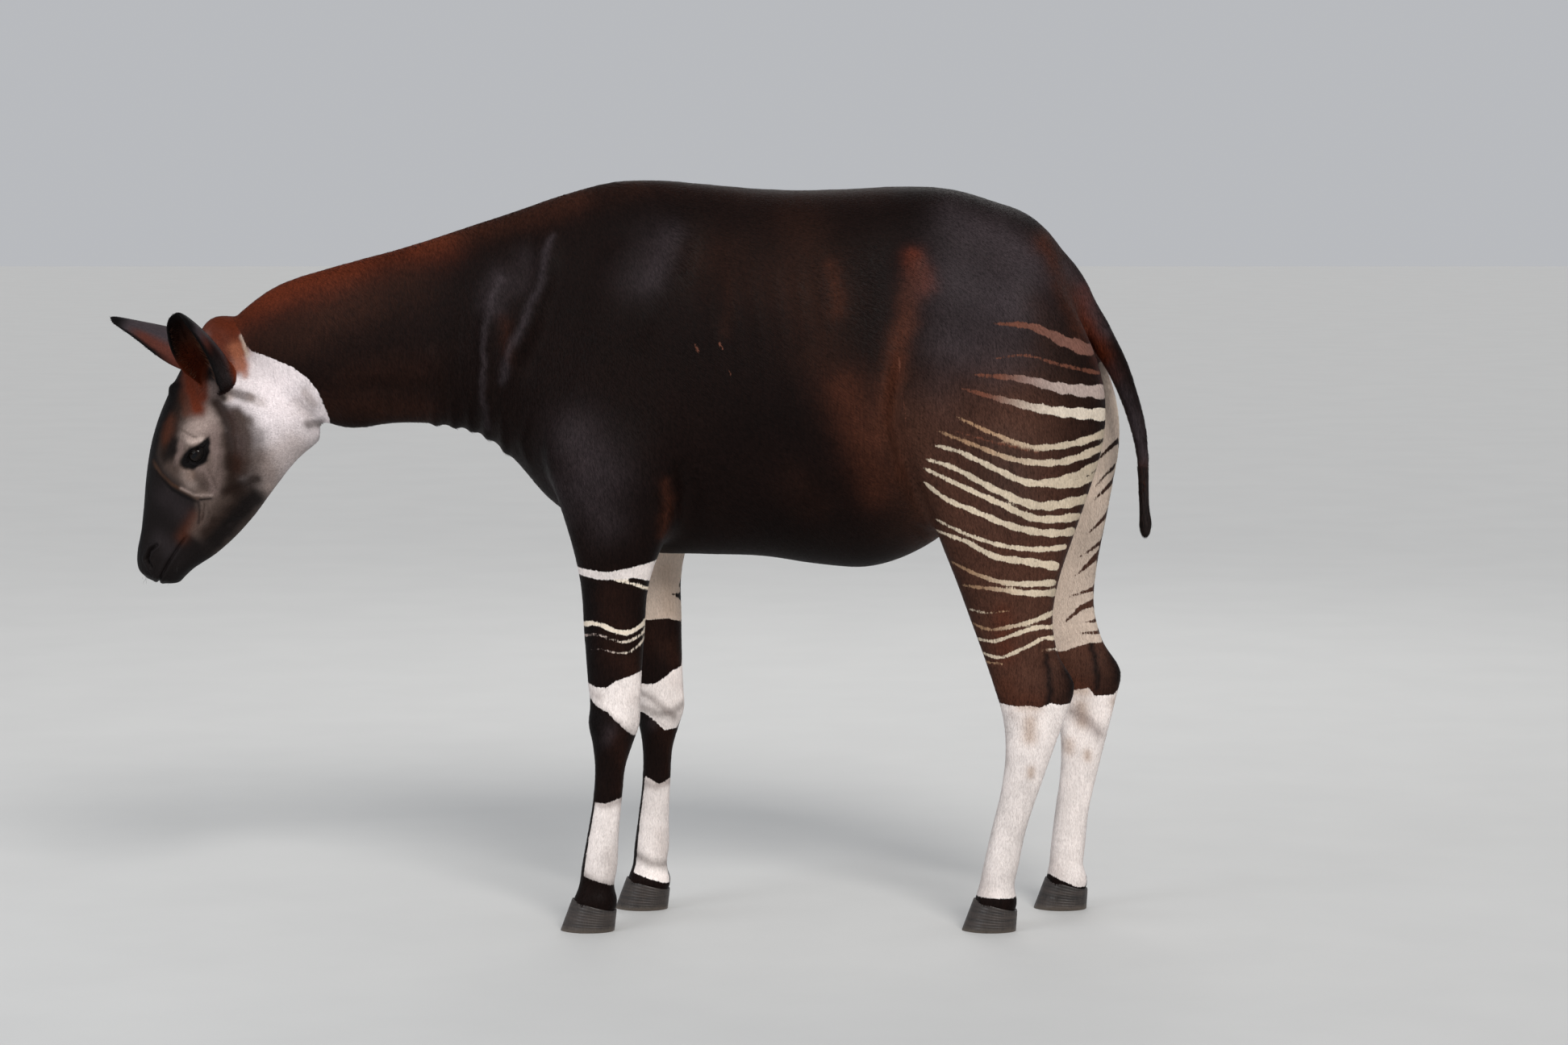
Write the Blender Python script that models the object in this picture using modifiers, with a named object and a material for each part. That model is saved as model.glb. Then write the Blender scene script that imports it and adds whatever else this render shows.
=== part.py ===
"""A life-size okapi, standing with its neck level and its head lowered to feed, as a museum would show it.

Metres, +Z up. The animal faces -X and its left side faces -Y. The origin is on the floor, under the
middle of the model's box. The body is lofted from named sections, fused, smoothed and sculpted as one
form, then parted with thin cuts into the pieces that a person would name.
"""

import math

import bmesh
import bpy
import numpy as np
from mathutils import Matrix, Vector

# Sections across the neck and trunk, from the head to the rump: upper point (x, z), lower point (x, z),
# half width, level of the widest line (0 at the lower point, 1 at the upper), fullness of the upper and
# of the lower half, where 2 is an ellipse and less is a sharper ridge.
TRUNK = (
    ("in_head", (-1.150, 1.165), (-1.020, 1.035), 0.048, 0.50, 2.0, 2.0),
    ("nape", (-1.095, 1.225), (-0.945, 1.015), 0.060, 0.50, 2.0, 2.0),
    ("throat_latch", (-1.020, 1.282), (-0.875, 0.993), 0.066, 0.45, 1.9, 2.0),
    ("upper_neck", (-0.900, 1.328), (-0.790, 1.003), 0.070, 0.42, 1.8, 2.0),
    ("middle_neck", (-0.765, 1.366), (-0.695, 1.002), 0.080, 0.40, 1.7, 2.0),
    ("lower_neck", (-0.645, 1.404), (-0.605, 0.982), 0.096, 0.38, 1.7, 2.0),
    ("neck_root", (-0.540, 1.438), (-0.540, 0.930), 0.125, 0.36, 1.7, 2.0),
    ("breast", (-0.445, 1.470), (-0.475, 0.855), 0.150, 0.36, 1.7, 2.0),
    ("withers_front", (-0.350, 1.495), (-0.395, 0.800), 0.165, 0.40, 1.7, 2.1),
    ("withers", (-0.270, 1.500), (-0.300, 0.752), 0.180, 0.42, 1.7, 2.1),
    ("girth", (-0.150, 1.490), (-0.170, 0.742), 0.196, 0.44, 1.8, 2.1),
    ("ribs", (-0.020, 1.479), (-0.040, 0.738), 0.212, 0.44, 1.9, 2.1),
    ("belly", (0.100, 1.479), (0.070, 0.722), 0.222, 0.44, 1.9, 2.1),
    ("loin", (0.220, 1.485), (0.180, 0.718), 0.218, 0.46, 1.9, 2.1),
    ("flank", (0.330, 1.481), (0.290, 0.760), 0.195, 0.50, 1.9, 2.0),
    ("croup", (0.420, 1.455), (0.395, 0.840), 0.180, 0.55, 2.0, 2.0),
    ("rump", (0.495, 1.425), (0.490, 0.900), 0.155, 0.58, 2.0, 2.0),
    ("buttock", (0.548, 1.372), (0.560, 0.980), 0.115, 0.58, 2.0, 2.0),
    ("tail_root", (0.590, 1.295), (0.600, 1.100), 0.060, 0.50, 2.0, 2.0),
)

# Sections across the head, from the crown to the lips. The upper point lies on the forehead and nose, the
# lower one on the jaw.
HEAD = (
    ("in_neck", (-1.080, 1.222), (-0.960, 1.105), 0.044, 0.55, 2.0, 2.0),
    ("crown", (-1.140, 1.222), (-0.955, 1.065), 0.052, 0.55, 2.0, 2.0),
    ("ears", (-1.190, 1.150), (-0.950, 1.030), 0.066, 0.55, 2.2, 2.0),
    ("forehead", (-1.225, 1.085), (-0.924, 0.982), 0.078, 0.60, 2.3, 1.9),
    ("brow", (-1.250, 1.030), (-0.974, 0.934), 0.088, 0.62, 2.4, 1.8),
    ("eyes", (-1.270, 0.965), (-1.024, 0.875), 0.089, 0.62, 2.4, 1.8),
    ("cheek", (-1.282, 0.895), (-1.068, 0.817), 0.074, 0.58, 2.2, 1.8),
    ("nose_bridge", (-1.288, 0.835), (-1.108, 0.774), 0.058, 0.55, 2.1, 1.9),
    ("muzzle", (-1.294, 0.788), (-1.148, 0.740), 0.049, 0.54, 2.1, 2.0),
    ("nostrils", (-1.301, 0.752), (-1.188, 0.714), 0.046, 0.55, 2.2, 2.1),
    ("lips", (-1.302, 0.726), (-1.208, 0.696), 0.043, 0.52, 2.2, 2.2),
    ("lip_edge", (-1.295, 0.706), (-1.222, 0.684), 0.034, 0.50, 2.1, 2.1),
    ("lip_end", (-1.282, 0.694), (-1.240, 0.683), 0.018, 0.50, 2.0, 2.0),
)

# Level sections of the left legs: height, front x, rear x, distance from the middle plane, half width.
FORELEG = (
    ("scapula_top", 1.370, -0.380, -0.235, 0.070, 0.050),
    ("scapula", 1.220, -0.430, -0.180, 0.100, 0.070),
    ("shoulder", 1.060, -0.468, -0.155, 0.118, 0.076),
    ("shoulder_point", 0.940, -0.478, -0.165, 0.124, 0.078),
    ("upper_arm", 0.850, -0.447, -0.195, 0.128, 0.073),
    ("elbow", 0.770, -0.423, -0.238, 0.128, 0.063),
    ("forearm_top", 0.700, -0.407, -0.264, 0.126, 0.056),
    ("forearm", 0.600, -0.399, -0.275, 0.123, 0.049),
    ("forearm_end", 0.500, -0.392, -0.282, 0.120, 0.043),
    ("above_knee", 0.455, -0.388, -0.284, 0.120, 0.043),
    ("knee", 0.415, -0.391, -0.286, 0.120, 0.047),
    ("under_knee", 0.380, -0.384, -0.298, 0.120, 0.040),
    ("cannon_top", 0.335, -0.379, -0.313, 0.120, 0.032),
    ("cannon", 0.270, -0.382, -0.321, 0.120, 0.027),
    ("cannon_end", 0.190, -0.394, -0.329, 0.120, 0.027),
    ("fetlock", 0.125, -0.405, -0.333, 0.120, 0.036),
    ("pastern", 0.090, -0.410, -0.339, 0.120, 0.033),
    ("coronet", 0.055, -0.422, -0.333, 0.120, 0.041),
    ("in_hoof", 0.015, -0.426, -0.333, 0.120, 0.039),
)
HINDLEG = (
    ("hip", 1.340, 0.300, 0.520, 0.085, 0.062),
    ("thigh_top", 1.220, 0.262, 0.590, 0.108, 0.082),
    ("thigh", 1.090, 0.248, 0.636, 0.120, 0.090),
    ("middle_thigh", 0.970, 0.252, 0.634, 0.126, 0.088),
    ("stifle", 0.870, 0.276, 0.604, 0.130, 0.080),
    ("gaskin_top", 0.780, 0.306, 0.574, 0.128, 0.068),
    ("gaskin", 0.700, 0.339, 0.548, 0.122, 0.056),
    ("gaskin_end", 0.620, 0.370, 0.536, 0.117, 0.046),
    ("above_hock", 0.555, 0.394, 0.548, 0.113, 0.040),
    ("hock", 0.490, 0.416, 0.580, 0.112, 0.038),
    ("under_hock", 0.430, 0.434, 0.563, 0.112, 0.038),
    ("cannon_top", 0.370, 0.440, 0.542, 0.113, 0.034),
    ("cannon", 0.290, 0.433, 0.514, 0.115, 0.029),
    ("cannon_end", 0.200, 0.413, 0.484, 0.118, 0.029),
    ("fetlock", 0.125, 0.397, 0.468, 0.120, 0.035),
    ("pastern", 0.090, 0.390, 0.461, 0.120, 0.034),
    ("coronet", 0.055, 0.381, 0.466, 0.120, 0.041),
    ("in_hoof", 0.015, 0.376, 0.466, 0.120, 0.039),
)
# How far the right legs stand behind the left ones: (height, distance).
FORE_STEP = ((1.10, 0.0), (0.74, 0.055), (0.42, 0.083), (0.06, 0.100))
HIND_STEP = ((1.25, 0.0), (1.03, 0.045), (0.74, 0.090), (0.47, 0.112), (0.06, 0.158))

# A leg's level sections: where the widest line lies, and how full the oval is.
LEG_WIDEST = 0.5
LEG_FULLNESS = 2.2

RING_POINTS = 40
RING_SPACING = 0.014
VOXEL = 0.008
# How far a round of smoothing draws each point to its neighbours, and back out where the volume is kept.
PULL_IN = 0.5
PULL_OUT = -0.52
# The trunk is smoothed most: its front end and its lower end, each from none to all.
TRUNK_ROUNDS = 24
TRUNK_FRONT = (-0.98, -0.85)
TRUNK_FOOT = (0.60, 0.80)
# Then the join of head and neck, then the whole.
JAW_ROUNDS = 8
JAW_PULL = 0.4
JAW_JOINT = -0.95
JAW_JOINT_REACH = 0.06
EVEN_ROUNDS = 10
# In front of this the mesh is divided finer, and smoothed from a little behind it.
FINE_FRONT = -0.93
FINE_BORDER = 0.03
FINE_FADE = 0.02
FINE_ROUNDS = 1
HEAD_ROUNDS = 4
FEATURE_ROUNDS = 3

# The left eye, in the head: centre, radius, the way it looks, the way its corners lie, and the gap between
# the lids.
EYE_CENTRE = (-1.166, -0.0720, 0.953)
EYE_RADIUS = 0.0225
EYE_SIDES = 16
EYE_OUTWARD = (-0.22, -0.95, -0.14)
EYE_CORNERS = (0.72, 0.0, 0.69)
LID_HALF_LENGTH = 0.0205
LID_HALF_HEIGHT = 0.0120
LID_THICKNESS = 0.0028
LID_POINTEDNESS = 1.4
LID_SOFTNESS = 0.0012
# Which part of the skin round the eye is drawn into lids: how far it faces outward, and how near it lies.
LID_FACING = (0.10, 0.50)
LID_REACH = 0.046
LID_FADE = 0.020
LID_SPARE = 0.004
SOCKET_DEPTH = 0.0045
# How far round the eyes, and round the mouth and nostrils, the mesh is divided finer.
EYE_MARGIN = 0.016
LINE_MARGIN = 0.013

# Swellings, alike on both sides: place (x, z) in the side view, reach (x, z), height.
SWELLINGS = (
    ("hip_bone", (0.262, 1.338), (0.034, 0.036), 0.011),
    ("hip_bone_foot", (0.283, 1.270), (0.034, 0.040), 0.005),
    ("hollow_before_hip", (0.200, 1.270), (0.050, 0.090), -0.012),
    ("hollow_behind_hip", (0.390, 1.330), (0.070, 0.060), -0.006),
    ("rump_muscle", (0.470, 1.300), (0.070, 0.090), 0.010),
    ("thigh_muscle", (0.470, 1.020), (0.090, 0.130), 0.010),
    ("stifle_muscle", (0.305, 0.900), (0.040, 0.070), 0.008),
    ("triceps", (-0.335, 0.930), (0.085, 0.080), 0.014),
    ("shoulder_point", (-0.445, 0.960), (0.040, 0.060), 0.010),
    ("elbow", (-0.245, 0.820), (0.022, 0.040), 0.008),
    ("forearm_muscle", (-0.345, 0.770), (0.050, 0.060), 0.006),
    ("scapula_corner", (-0.220, 1.375), (0.035, 0.050), 0.010),
    ("hollow_behind_scapula", (-0.160, 1.330), (0.040, 0.080), -0.007),
    ("belly_side", (0.170, 0.950), (0.090, 0.140), 0.012),
    ("cheek_muscle", (-1.035, 0.965), (0.050, 0.070), 0.007),
    ("brow_bone", (-1.188, 0.992), (0.020, 0.026), 0.006),
    ("temple", (-1.120, 1.010), (0.026, 0.030), -0.004),
    ("under_eye", (-1.165, 0.905), (0.030, 0.022), 0.003),
    ("nose_side", (-1.215, 0.830), (0.035, 0.040), -0.004),
    ("nostril_wing", (-1.272, 0.745), (0.018, 0.018), 0.005),
    ("chin", (-1.205, 0.720), (0.020, 0.018), 0.003),
    ("hock_side", (0.500, 0.460), (0.040, 0.030), 0.003),
    ("knee_side", (-0.338, 0.415), (0.035, 0.030), 0.002),
)
# How far the surface must face sideways to be raised: from none to all.
SIDE_FACING = (0.15, 0.75)
# Ridges (height over 0) and grooves (under 0) along lines of the side view: points (x, z), half breadth,
# height. Each fades to a share of its height over a share of its length at both ends.
LINE_FADE = 0.30
LINE_END_SHARE = 0.10
LINES = (
    ("scapula_edge", ((-0.237, 1.435), (-0.212, 1.375), (-0.249, 1.296), (-0.300, 1.150)), 0.034, 0.007),
    ("shoulder_groove", ((-0.455, 1.330), (-0.480, 1.200), (-0.520, 1.080)), 0.026, -0.008),
    (
        "neck_fold_rear",
        ((-0.458, 1.410), (-0.464, 1.340), (-0.493, 1.226), (-0.538, 1.138), (-0.556, 1.060)),
        0.018,
        0.010,
    ),
    (
        "neck_fold_front",
        (
            (-0.515, 1.310),
            (-0.570, 1.290),
            (-0.592, 1.226),
            (-0.595, 1.150),
            (-0.599, 1.066),
            (-0.585, 0.985),
        ),
        0.016,
        0.008,
    ),
    ("neck_fold_inner", ((-0.520, 1.248), (-0.543, 1.182), (-0.556, 1.120)), 0.010, 0.005),
    ("neck_fold_upper", ((-0.708, 1.182), (-0.692, 1.121), (-0.684, 1.050), (-0.682, 1.005)), 0.010, 0.005),
    ("throat_groove", ((-0.900, 1.075), (-0.780, 1.080), (-0.660, 1.070)), 0.022, -0.004),
    (
        "flank_groove",
        (
            (0.238, 1.170),
            (0.222, 1.100),
            (0.218, 1.029),
            (0.234, 0.960),
            (0.262, 0.880),
            (0.298, 0.800),
        ),
        0.014,
        -0.013,
    ),
    (
        "flank_fold",
        ((0.205, 1.150), (0.190, 1.080), (0.186, 1.020), (0.200, 0.940), (0.235, 0.850)),
        0.018,
        0.008,
    ),
    ("armpit_groove", ((-0.206, 0.965), (-0.190, 0.890), (-0.196, 0.800)), 0.016, -0.010),
    ("hamstring_groove", ((0.560, 1.120), (0.570, 1.000), (0.535, 0.860), (0.490, 0.740)), 0.018, -0.004),
    ("tendon_groove", ((0.505, 0.640), (0.519, 0.590), (0.521, 0.540), (0.526, 0.485)), 0.012, -0.006),
    ("forearm_groove", ((-0.315, 0.700), (-0.322, 0.600), (-0.318, 0.500)), 0.012, -0.003),
    (
        "face_ridge",
        ((-1.252, 0.932), (-1.217, 0.892), (-1.189, 0.877), (-1.162, 0.866), (-1.140, 0.868)),
        0.007,
        0.0030,
    ),
    ("face_step", ((-1.256, 0.918), (-1.222, 0.879), (-1.193, 0.864), (-1.166, 0.854)), 0.007, -0.0025),
    ("cheek_wrinkle", ((-1.166, 0.862), (-1.157, 0.828), (-1.172, 0.798)), 0.004, -0.0020),
    ("jaw_fold", ((-1.125, 0.800), (-1.108, 0.810), (-1.078, 0.816)), 0.006, -0.0040),
    ("jaw_edge", ((-0.960, 1.110), (-0.915, 1.062), (-0.898, 1.024), (-0.905, 0.992)), 0.018, -0.0050),
    ("lid_fold", ((-1.206, 0.952), (-1.188, 0.984), (-1.154, 1.001)), 0.004, -0.0018),
)
# Folds round the underside of the neck: where each lies along the neck, and the level up to which they
# reach.
THROAT_FOLD_TOP = 1.10
THROAT_FOLD_FADE = 0.06
THROAT_FOLD_FACING = (0.0, 0.6)
THROAT_FOLD_SIDE_SHARE = 0.4
THROAT_FOLDS = (-0.700, -0.662, -0.628, -0.596, -0.560)
THROAT_FOLD_HEIGHT = 0.005
THROAT_FOLD_HALF_BREADTH = 0.009
# The ribs that show: where each crosses the level RIB_LEVEL, how they lean, and their size.
RIBS = (-0.150, -0.105, -0.060, -0.015, 0.030, 0.075)
RIB_LEVEL = 1.24
RIB_LEAN = 0.12
RIB_HALF_BREADTH = 0.014
RIB_HALF_LENGTH = 0.10
RIB_HEIGHT = 0.0022
# Low knobs on the forehead, in place of horns.
KNOBS = ((-1.219, 0.030, 1.078), (-1.219, -0.030, 1.078))
KNOB_REACH = 0.014
KNOB_HEIGHT = 0.009
# The line of the mouth and of the nostril in the side view, and how wide and deep they are.
MOUTH = ((-1.262, 0.680), (-1.250, 0.700), (-1.232, 0.732), (-1.212, 0.762), (-1.192, 0.788))
NOSTRIL = ((-1.268, 0.722), (-1.276, 0.738), (-1.270, 0.756), (-1.256, 0.766))
MOUTH_FADE = 0.15
MOUTH_FACING = (0.3, 0.6)
NOSTRIL_FADE = (0.25, 0.30)
NOSTRIL_FACING = (0.2, 0.6)
NOSTRIL_END_SHARE = 0.3
MOUTH_DEPTH = 0.0040
MOUTH_HALF_WIDTH = 0.0028
LIP_RISE = 0.0016
LIP_OFFSET = 0.007
LIP_HALF_WIDTH = 0.005
NOSTRIL_DEPTH = 0.0080
NOSTRIL_HALF_WIDTH = 0.0032
NOSTRIL_RIM_RISE = 0.0020
NOSTRIL_RIM_OFFSET = 0.0065
NOSTRIL_RIM_HALF_WIDTH = 0.004


def between(value, low, high):
    """0 below low, 1 above high, and a smooth rise between them."""
    t = np.clip((value - low) / (high - low), 0.0, 1.0)
    return t * t * (3.0 - 2.0 * t)


def through(rows, spacing):
    """Rows of numbers read from a smooth curve through the given rows, whose first three are the place."""
    rows = np.array(rows, float)
    steps = np.linalg.norm(np.diff(rows[:, :3], axis=0), axis=1)
    knots = np.concatenate([[0.0], np.cumsum(steps)])
    slopes = np.gradient(rows, knots, axis=0)
    count = max(4, int(round(knots[-1] / spacing)))
    found = []
    for at in np.linspace(0.0, knots[-1], count + 1):
        i = min(len(knots) - 2, int(np.searchsorted(knots, at, side="right")) - 1)
        gap = knots[i + 1] - knots[i]
        t = (at - knots[i]) / gap
        found.append(
            (2 * t**3 - 3 * t**2 + 1) * rows[i]
            + (t**3 - 2 * t**2 + t) * gap * slopes[i]
            + (3 * t**2 - 2 * t**3) * rows[i + 1]
            + (t**3 - t**2) * gap * slopes[i + 1]
        )
    return np.array(found)


def object_of(name, mesh):
    found = bpy.data.objects.new(name, mesh)
    bpy.context.scene.collection.objects.link(found)
    return found


def loft(name, rings):
    """A closed mesh through rings of points, each ring an array of the same number of rows."""
    form = bmesh.new()
    rows = [[form.verts.new(point) for point in ring] for ring in rings]
    count = len(rows[0])
    for near, far in zip(rows, rows[1:]):
        for i in range(count):
            j = (i + 1) % count
            form.faces.new((near[i], near[j], far[j], far[i]))
    form.faces.new(rows[0][::-1])
    form.faces.new(rows[-1])
    bmesh.ops.recalc_face_normals(form, faces=form.faces)
    mesh = bpy.data.meshes.new(name)
    form.to_mesh(mesh)
    form.free()
    return object_of(name, mesh)


def oval(upper, lower, middle_y, half_width, widest, full_upper, full_lower):
    """One section: an oval between an upper and a lower point of the side view."""
    angles = np.arange(RING_POINTS) * 2 * math.pi / RING_POINTS
    across, along = np.cos(angles), np.sin(angles)
    full = np.where(along > 0, full_upper, full_lower)
    across = np.sign(across) * np.abs(across) ** (2 / full)
    rise = np.abs(along) ** (2 / full)
    upper, lower = np.array(upper, float), np.array(lower, float)
    centre = lower + widest * (upper - lower)
    reach = np.where(along[:, None] > 0, upper - centre, lower - centre)
    side = centre + rise[:, None] * reach
    return np.column_stack([side[:, 0], middle_y + half_width * across, side[:, 1]])


def body_loft(name, table):
    """Trunk or head: the sections lie on the middle plane."""
    rows = [
        ((u[0] + l[0]) / 2, 0, (u[1] + l[1]) / 2, *u, *l, *shape)
        for _, u, l, *shape in table
    ]
    return loft(
        name,
        [oval(r[3:5], r[5:7], 0.0, *r[7:11]) for r in through(rows, RING_SPACING)],
    )


def step_at(height, steps):
    heights, distances = zip(*sorted(steps))
    return float(np.interp(height, heights, distances))


def leg_loft(name, table, side, steps):
    """A leg from its level sections. side is -1 on the animal's left and 1 on its right."""
    rows = []
    for _, z, front, rear, middle, half in table:
        move = step_at(z, steps) if side > 0 else 0.0
        rows.append(((front + rear) / 2 + move, 0, z, front + move, rear + move, middle, half))
    return loft(
        name,
        [
            oval((r[3], r[2]), (r[4], r[2]), side * r[5], r[6], LEG_WIDEST, LEG_FULLNESS, LEG_FULLNESS)
            for r in through(rows, RING_SPACING)
        ],
    )


def evaluated_copy(found, name):
    """A plain mesh object with the modifiers applied, in place of the given object."""
    graph = bpy.context.evaluated_depsgraph_get()
    mesh = bpy.data.meshes.new_from_object(found.evaluated_get(graph))
    mesh.transform(found.matrix_world)
    bpy.data.objects.remove(found)
    mesh.name = name
    return object_of(name, mesh)


def joined(name, objects):
    """The meshes of several objects in one object, still overlapping."""
    form = bmesh.new()
    for found in objects:
        form.from_mesh(found.data)
        bpy.data.objects.remove(found)
    mesh = bpy.data.meshes.new(name)
    form.to_mesh(mesh)
    form.free()
    return object_of(name, mesh)


def remeshed(found, voxel):
    modifier = found.modifiers.new("Remesh", "REMESH")
    modifier.mode = "VOXEL"
    modifier.voxel_size = voxel
    return evaluated_copy(found, found.name)


def points_of(mesh):
    points = np.empty(len(mesh.vertices) * 3, np.float32)
    mesh.vertices.foreach_get("co", points)
    return points.reshape(-1, 3).astype(float)


def set_points(mesh, points):
    mesh.vertices.foreach_set("co", points.astype(np.float32).ravel())
    mesh.update()


def normals_of(mesh):
    normals = np.empty(len(mesh.vertices) * 3, np.float32)
    mesh.vertex_normals.foreach_get("vector", normals)
    return normals.reshape(-1, 3).astype(float)


def smoothed(mesh, points, weight, rounds):
    """Points drawn towards the mean of their neighbours, as far as their weight says."""
    edges = np.empty(len(mesh.edges) * 2, np.int32)
    mesh.edges.foreach_get("vertices", edges)
    a, b = edges.reshape(-1, 2).T
    count = len(points)
    degree = np.bincount(a, minlength=count) + np.bincount(b, minlength=count)
    share = (np.asarray(weight) / np.maximum(degree, 1))[:, None]
    whole = np.asarray(weight)[:, None]
    for _ in range(rounds):
        sums = np.column_stack(
            [
                np.bincount(a, points[b, k], count) + np.bincount(b, points[a, k], count)
                for k in range(3)
            ]
        )
        points = points + share * sums - whole * points
    return points


def evened(mesh, points, weight, rounds):
    """Smoothing that keeps the volume of thin forms."""
    for _ in range(rounds):
        points = smoothed(mesh, points, PULL_IN * weight, 1)
        points = smoothed(mesh, points, PULL_OUT * weight, 1)
    return points


def finer(mesh, inside, cuts=1):
    """Divides the faces whose corners all lie inside."""
    form = bmesh.new()
    form.from_mesh(mesh)
    form.verts.ensure_lookup_table()
    chosen = [e for e in form.edges if inside[e.verts[0].index] and inside[e.verts[1].index]]
    bmesh.ops.subdivide_edges(form, edges=chosen, cuts=cuts, use_grid_fill=True)
    form.to_mesh(mesh)
    form.free()
    mesh.update()


def bell(distance, half_breadth):
    """A smooth hump: 1 in the middle, about a third at its half breadth."""
    return np.exp(-((distance / half_breadth) ** 2))


def distance_to_line(places, line):
    """Distance of each place of the side view to a broken line, and how far along it lies, 0 to 1."""
    line = np.array(line, float)
    lengths = np.linalg.norm(np.diff(line, axis=0), axis=1)
    starts = np.concatenate([[0.0], np.cumsum(lengths)])
    best = np.full(len(places), np.inf)
    along = np.zeros(len(places))
    for i, length in enumerate(lengths):
        way = (line[i + 1] - line[i]) / length
        t = np.clip((places - line[i]) @ way, 0.0, length)
        gap = np.linalg.norm(places - line[i] - t[:, None] * way, axis=1)
        near = gap < best
        best[near] = gap[near]
        along[near] = (starts[i] + t[near]) / starts[-1]
    return best, along


def unit(vector):
    vector = np.array(vector, float)
    return vector / np.linalg.norm(vector)


def home_of(points):
    """The side view of each point, with the right legs brought back to where the left ones stand."""
    places = points[:, [0, 2]].copy()
    right = points[:, 1] > 0
    for steps, legs in (
        (FORE_STEP, (places[:, 0] > -0.6) & (places[:, 0] < 0.0)),
        (HIND_STEP, places[:, 0] >= 0.0),
    ):
        heights, distances = zip(*sorted(steps))
        chosen = right & legs
        places[chosen, 0] -= np.interp(places[chosen, 1], heights, distances)
    return places


def sculpted(mesh, points):
    """The muscles, bones and folds, raised and sunk along the surface's own direction."""
    set_points(mesh, points)
    normals = normals_of(mesh)
    places = home_of(points)
    sideways = between(np.abs(normals[:, 1]), *SIDE_FACING)
    rise = np.zeros(len(points))
    for _, place, reach, height in SWELLINGS:
        far = ((places - place) / reach) ** 2
        rise += height * np.exp(-far.sum(axis=1)) * sideways
    for _, line, breadth, height in LINES:
        gap, along = distance_to_line(places, line)
        ends = between(along, 0.0, LINE_FADE) * between(1 - along, 0.0, LINE_FADE)
        rise += height * bell(gap, breadth) * sideways * (LINE_END_SHARE + (1 - LINE_END_SHARE) * ends)
    below = between(THROAT_FOLD_TOP - points[:, 2], 0.0, THROAT_FOLD_FADE)
    under = between(-normals[:, 2], *THROAT_FOLD_FACING)
    for at in THROAT_FOLDS:
        near = bell(points[:, 0] - at, THROAT_FOLD_HALF_BREADTH)
        rise += THROAT_FOLD_HEIGHT * near * below * np.maximum(under, THROAT_FOLD_SIDE_SHARE * sideways)
    for at in RIBS:
        near = bell(points[:, 0] - at + RIB_LEAN * (points[:, 2] - RIB_LEVEL), RIB_HALF_BREADTH)
        rise += RIB_HEIGHT * near * bell(points[:, 2] - RIB_LEVEL, RIB_HALF_LENGTH) * sideways
    for knob in KNOBS:
        rise += KNOB_HEIGHT * bell(np.linalg.norm(points - knob, axis=1), KNOB_REACH)
    return points + rise[:, None] * normals


def carved_mouth(mesh, points):
    """The line of the mouth with its lips, and the nostrils."""
    set_points(mesh, points)
    normals = normals_of(mesh)
    places = points[:, [0, 2]]
    gap, along = distance_to_line(places, MOUTH)
    fade = between(1 - along, 0.0, MOUTH_FADE)
    rise = LIP_RISE * bell(gap - LIP_OFFSET, LIP_HALF_WIDTH) - MOUTH_DEPTH * bell(gap, MOUTH_HALF_WIDTH)
    rise *= fade * between(np.abs(normals[:, 1]) + np.abs(normals[:, 2]), *MOUTH_FACING)
    gap, along = distance_to_line(places, NOSTRIL)
    sideways = between(np.abs(normals[:, 1]), *NOSTRIL_FACING)
    ends = between(along, 0.0, NOSTRIL_FADE[0]) * between(1 - along, 0.0, NOSTRIL_FADE[1])
    ends = NOSTRIL_END_SHARE + (1 - NOSTRIL_END_SHARE) * ends
    rise += NOSTRIL_RIM_RISE * bell(gap - NOSTRIL_RIM_OFFSET, NOSTRIL_RIM_HALF_WIDTH) * sideways
    rise -= NOSTRIL_DEPTH * bell(gap, NOSTRIL_HALF_WIDTH) * sideways * ends
    return points + rise[:, None] * normals


def eye_frame(side):
    """Centre of an eye and its axes: outward, along the gap between the lids, and across it."""
    mirror = np.array([1.0, -side, 1.0])
    outward = unit(np.array(EYE_OUTWARD) * mirror)
    corners = np.array(EYE_CORNERS)
    corners = unit(corners - (corners @ outward) * outward)
    return np.array(EYE_CENTRE) * mirror, outward, corners, np.cross(outward, corners)


def with_lids(points):
    """The skin drawn over the eyeballs as lids, and sunk behind them between the lids."""
    for side in (-1, 1):
        centre, outward, corners, across = eye_frame(side)
        away = points - centre
        far = np.linalg.norm(away, axis=1)
        front = (away @ outward) / np.maximum(far, 1e-9)
        along, over = away @ corners, away @ across
        half_gap = np.clip(1 - (along / LID_HALF_LENGTH) ** 2, 0.0, 1.0) ** (LID_POINTEDNESS / 2)
        outside = between(np.abs(over) - LID_HALF_HEIGHT * half_gap, -LID_SOFTNESS, LID_SOFTNESS)
        target = EYE_RADIUS - SOCKET_DEPTH + outside * (SOCKET_DEPTH + LID_THICKNESS)
        near = between(front, *LID_FACING) * between(LID_REACH - far, 0.0, LID_FADE)
        lid = np.maximum(target, np.where(outside > 0.99, np.minimum(far, target + LID_SPARE), 0.0))
        length = far + near * (lid - far)
        points = centre + away * (length / np.maximum(far, 1e-9))[:, None]
    return points


def near_features(points):
    """Which points lie about the eyes, the nostrils and the mouth."""
    places = points[:, [0, 2]]
    found = np.zeros(len(points), bool)
    for side in (-1, 1):
        found |= np.linalg.norm(points - eye_frame(side)[0], axis=1) < EYE_RADIUS + EYE_MARGIN
    for line in (MOUTH, NOSTRIL):
        found |= distance_to_line(places, line)[0] < LINE_MARGIN
    return found


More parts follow.
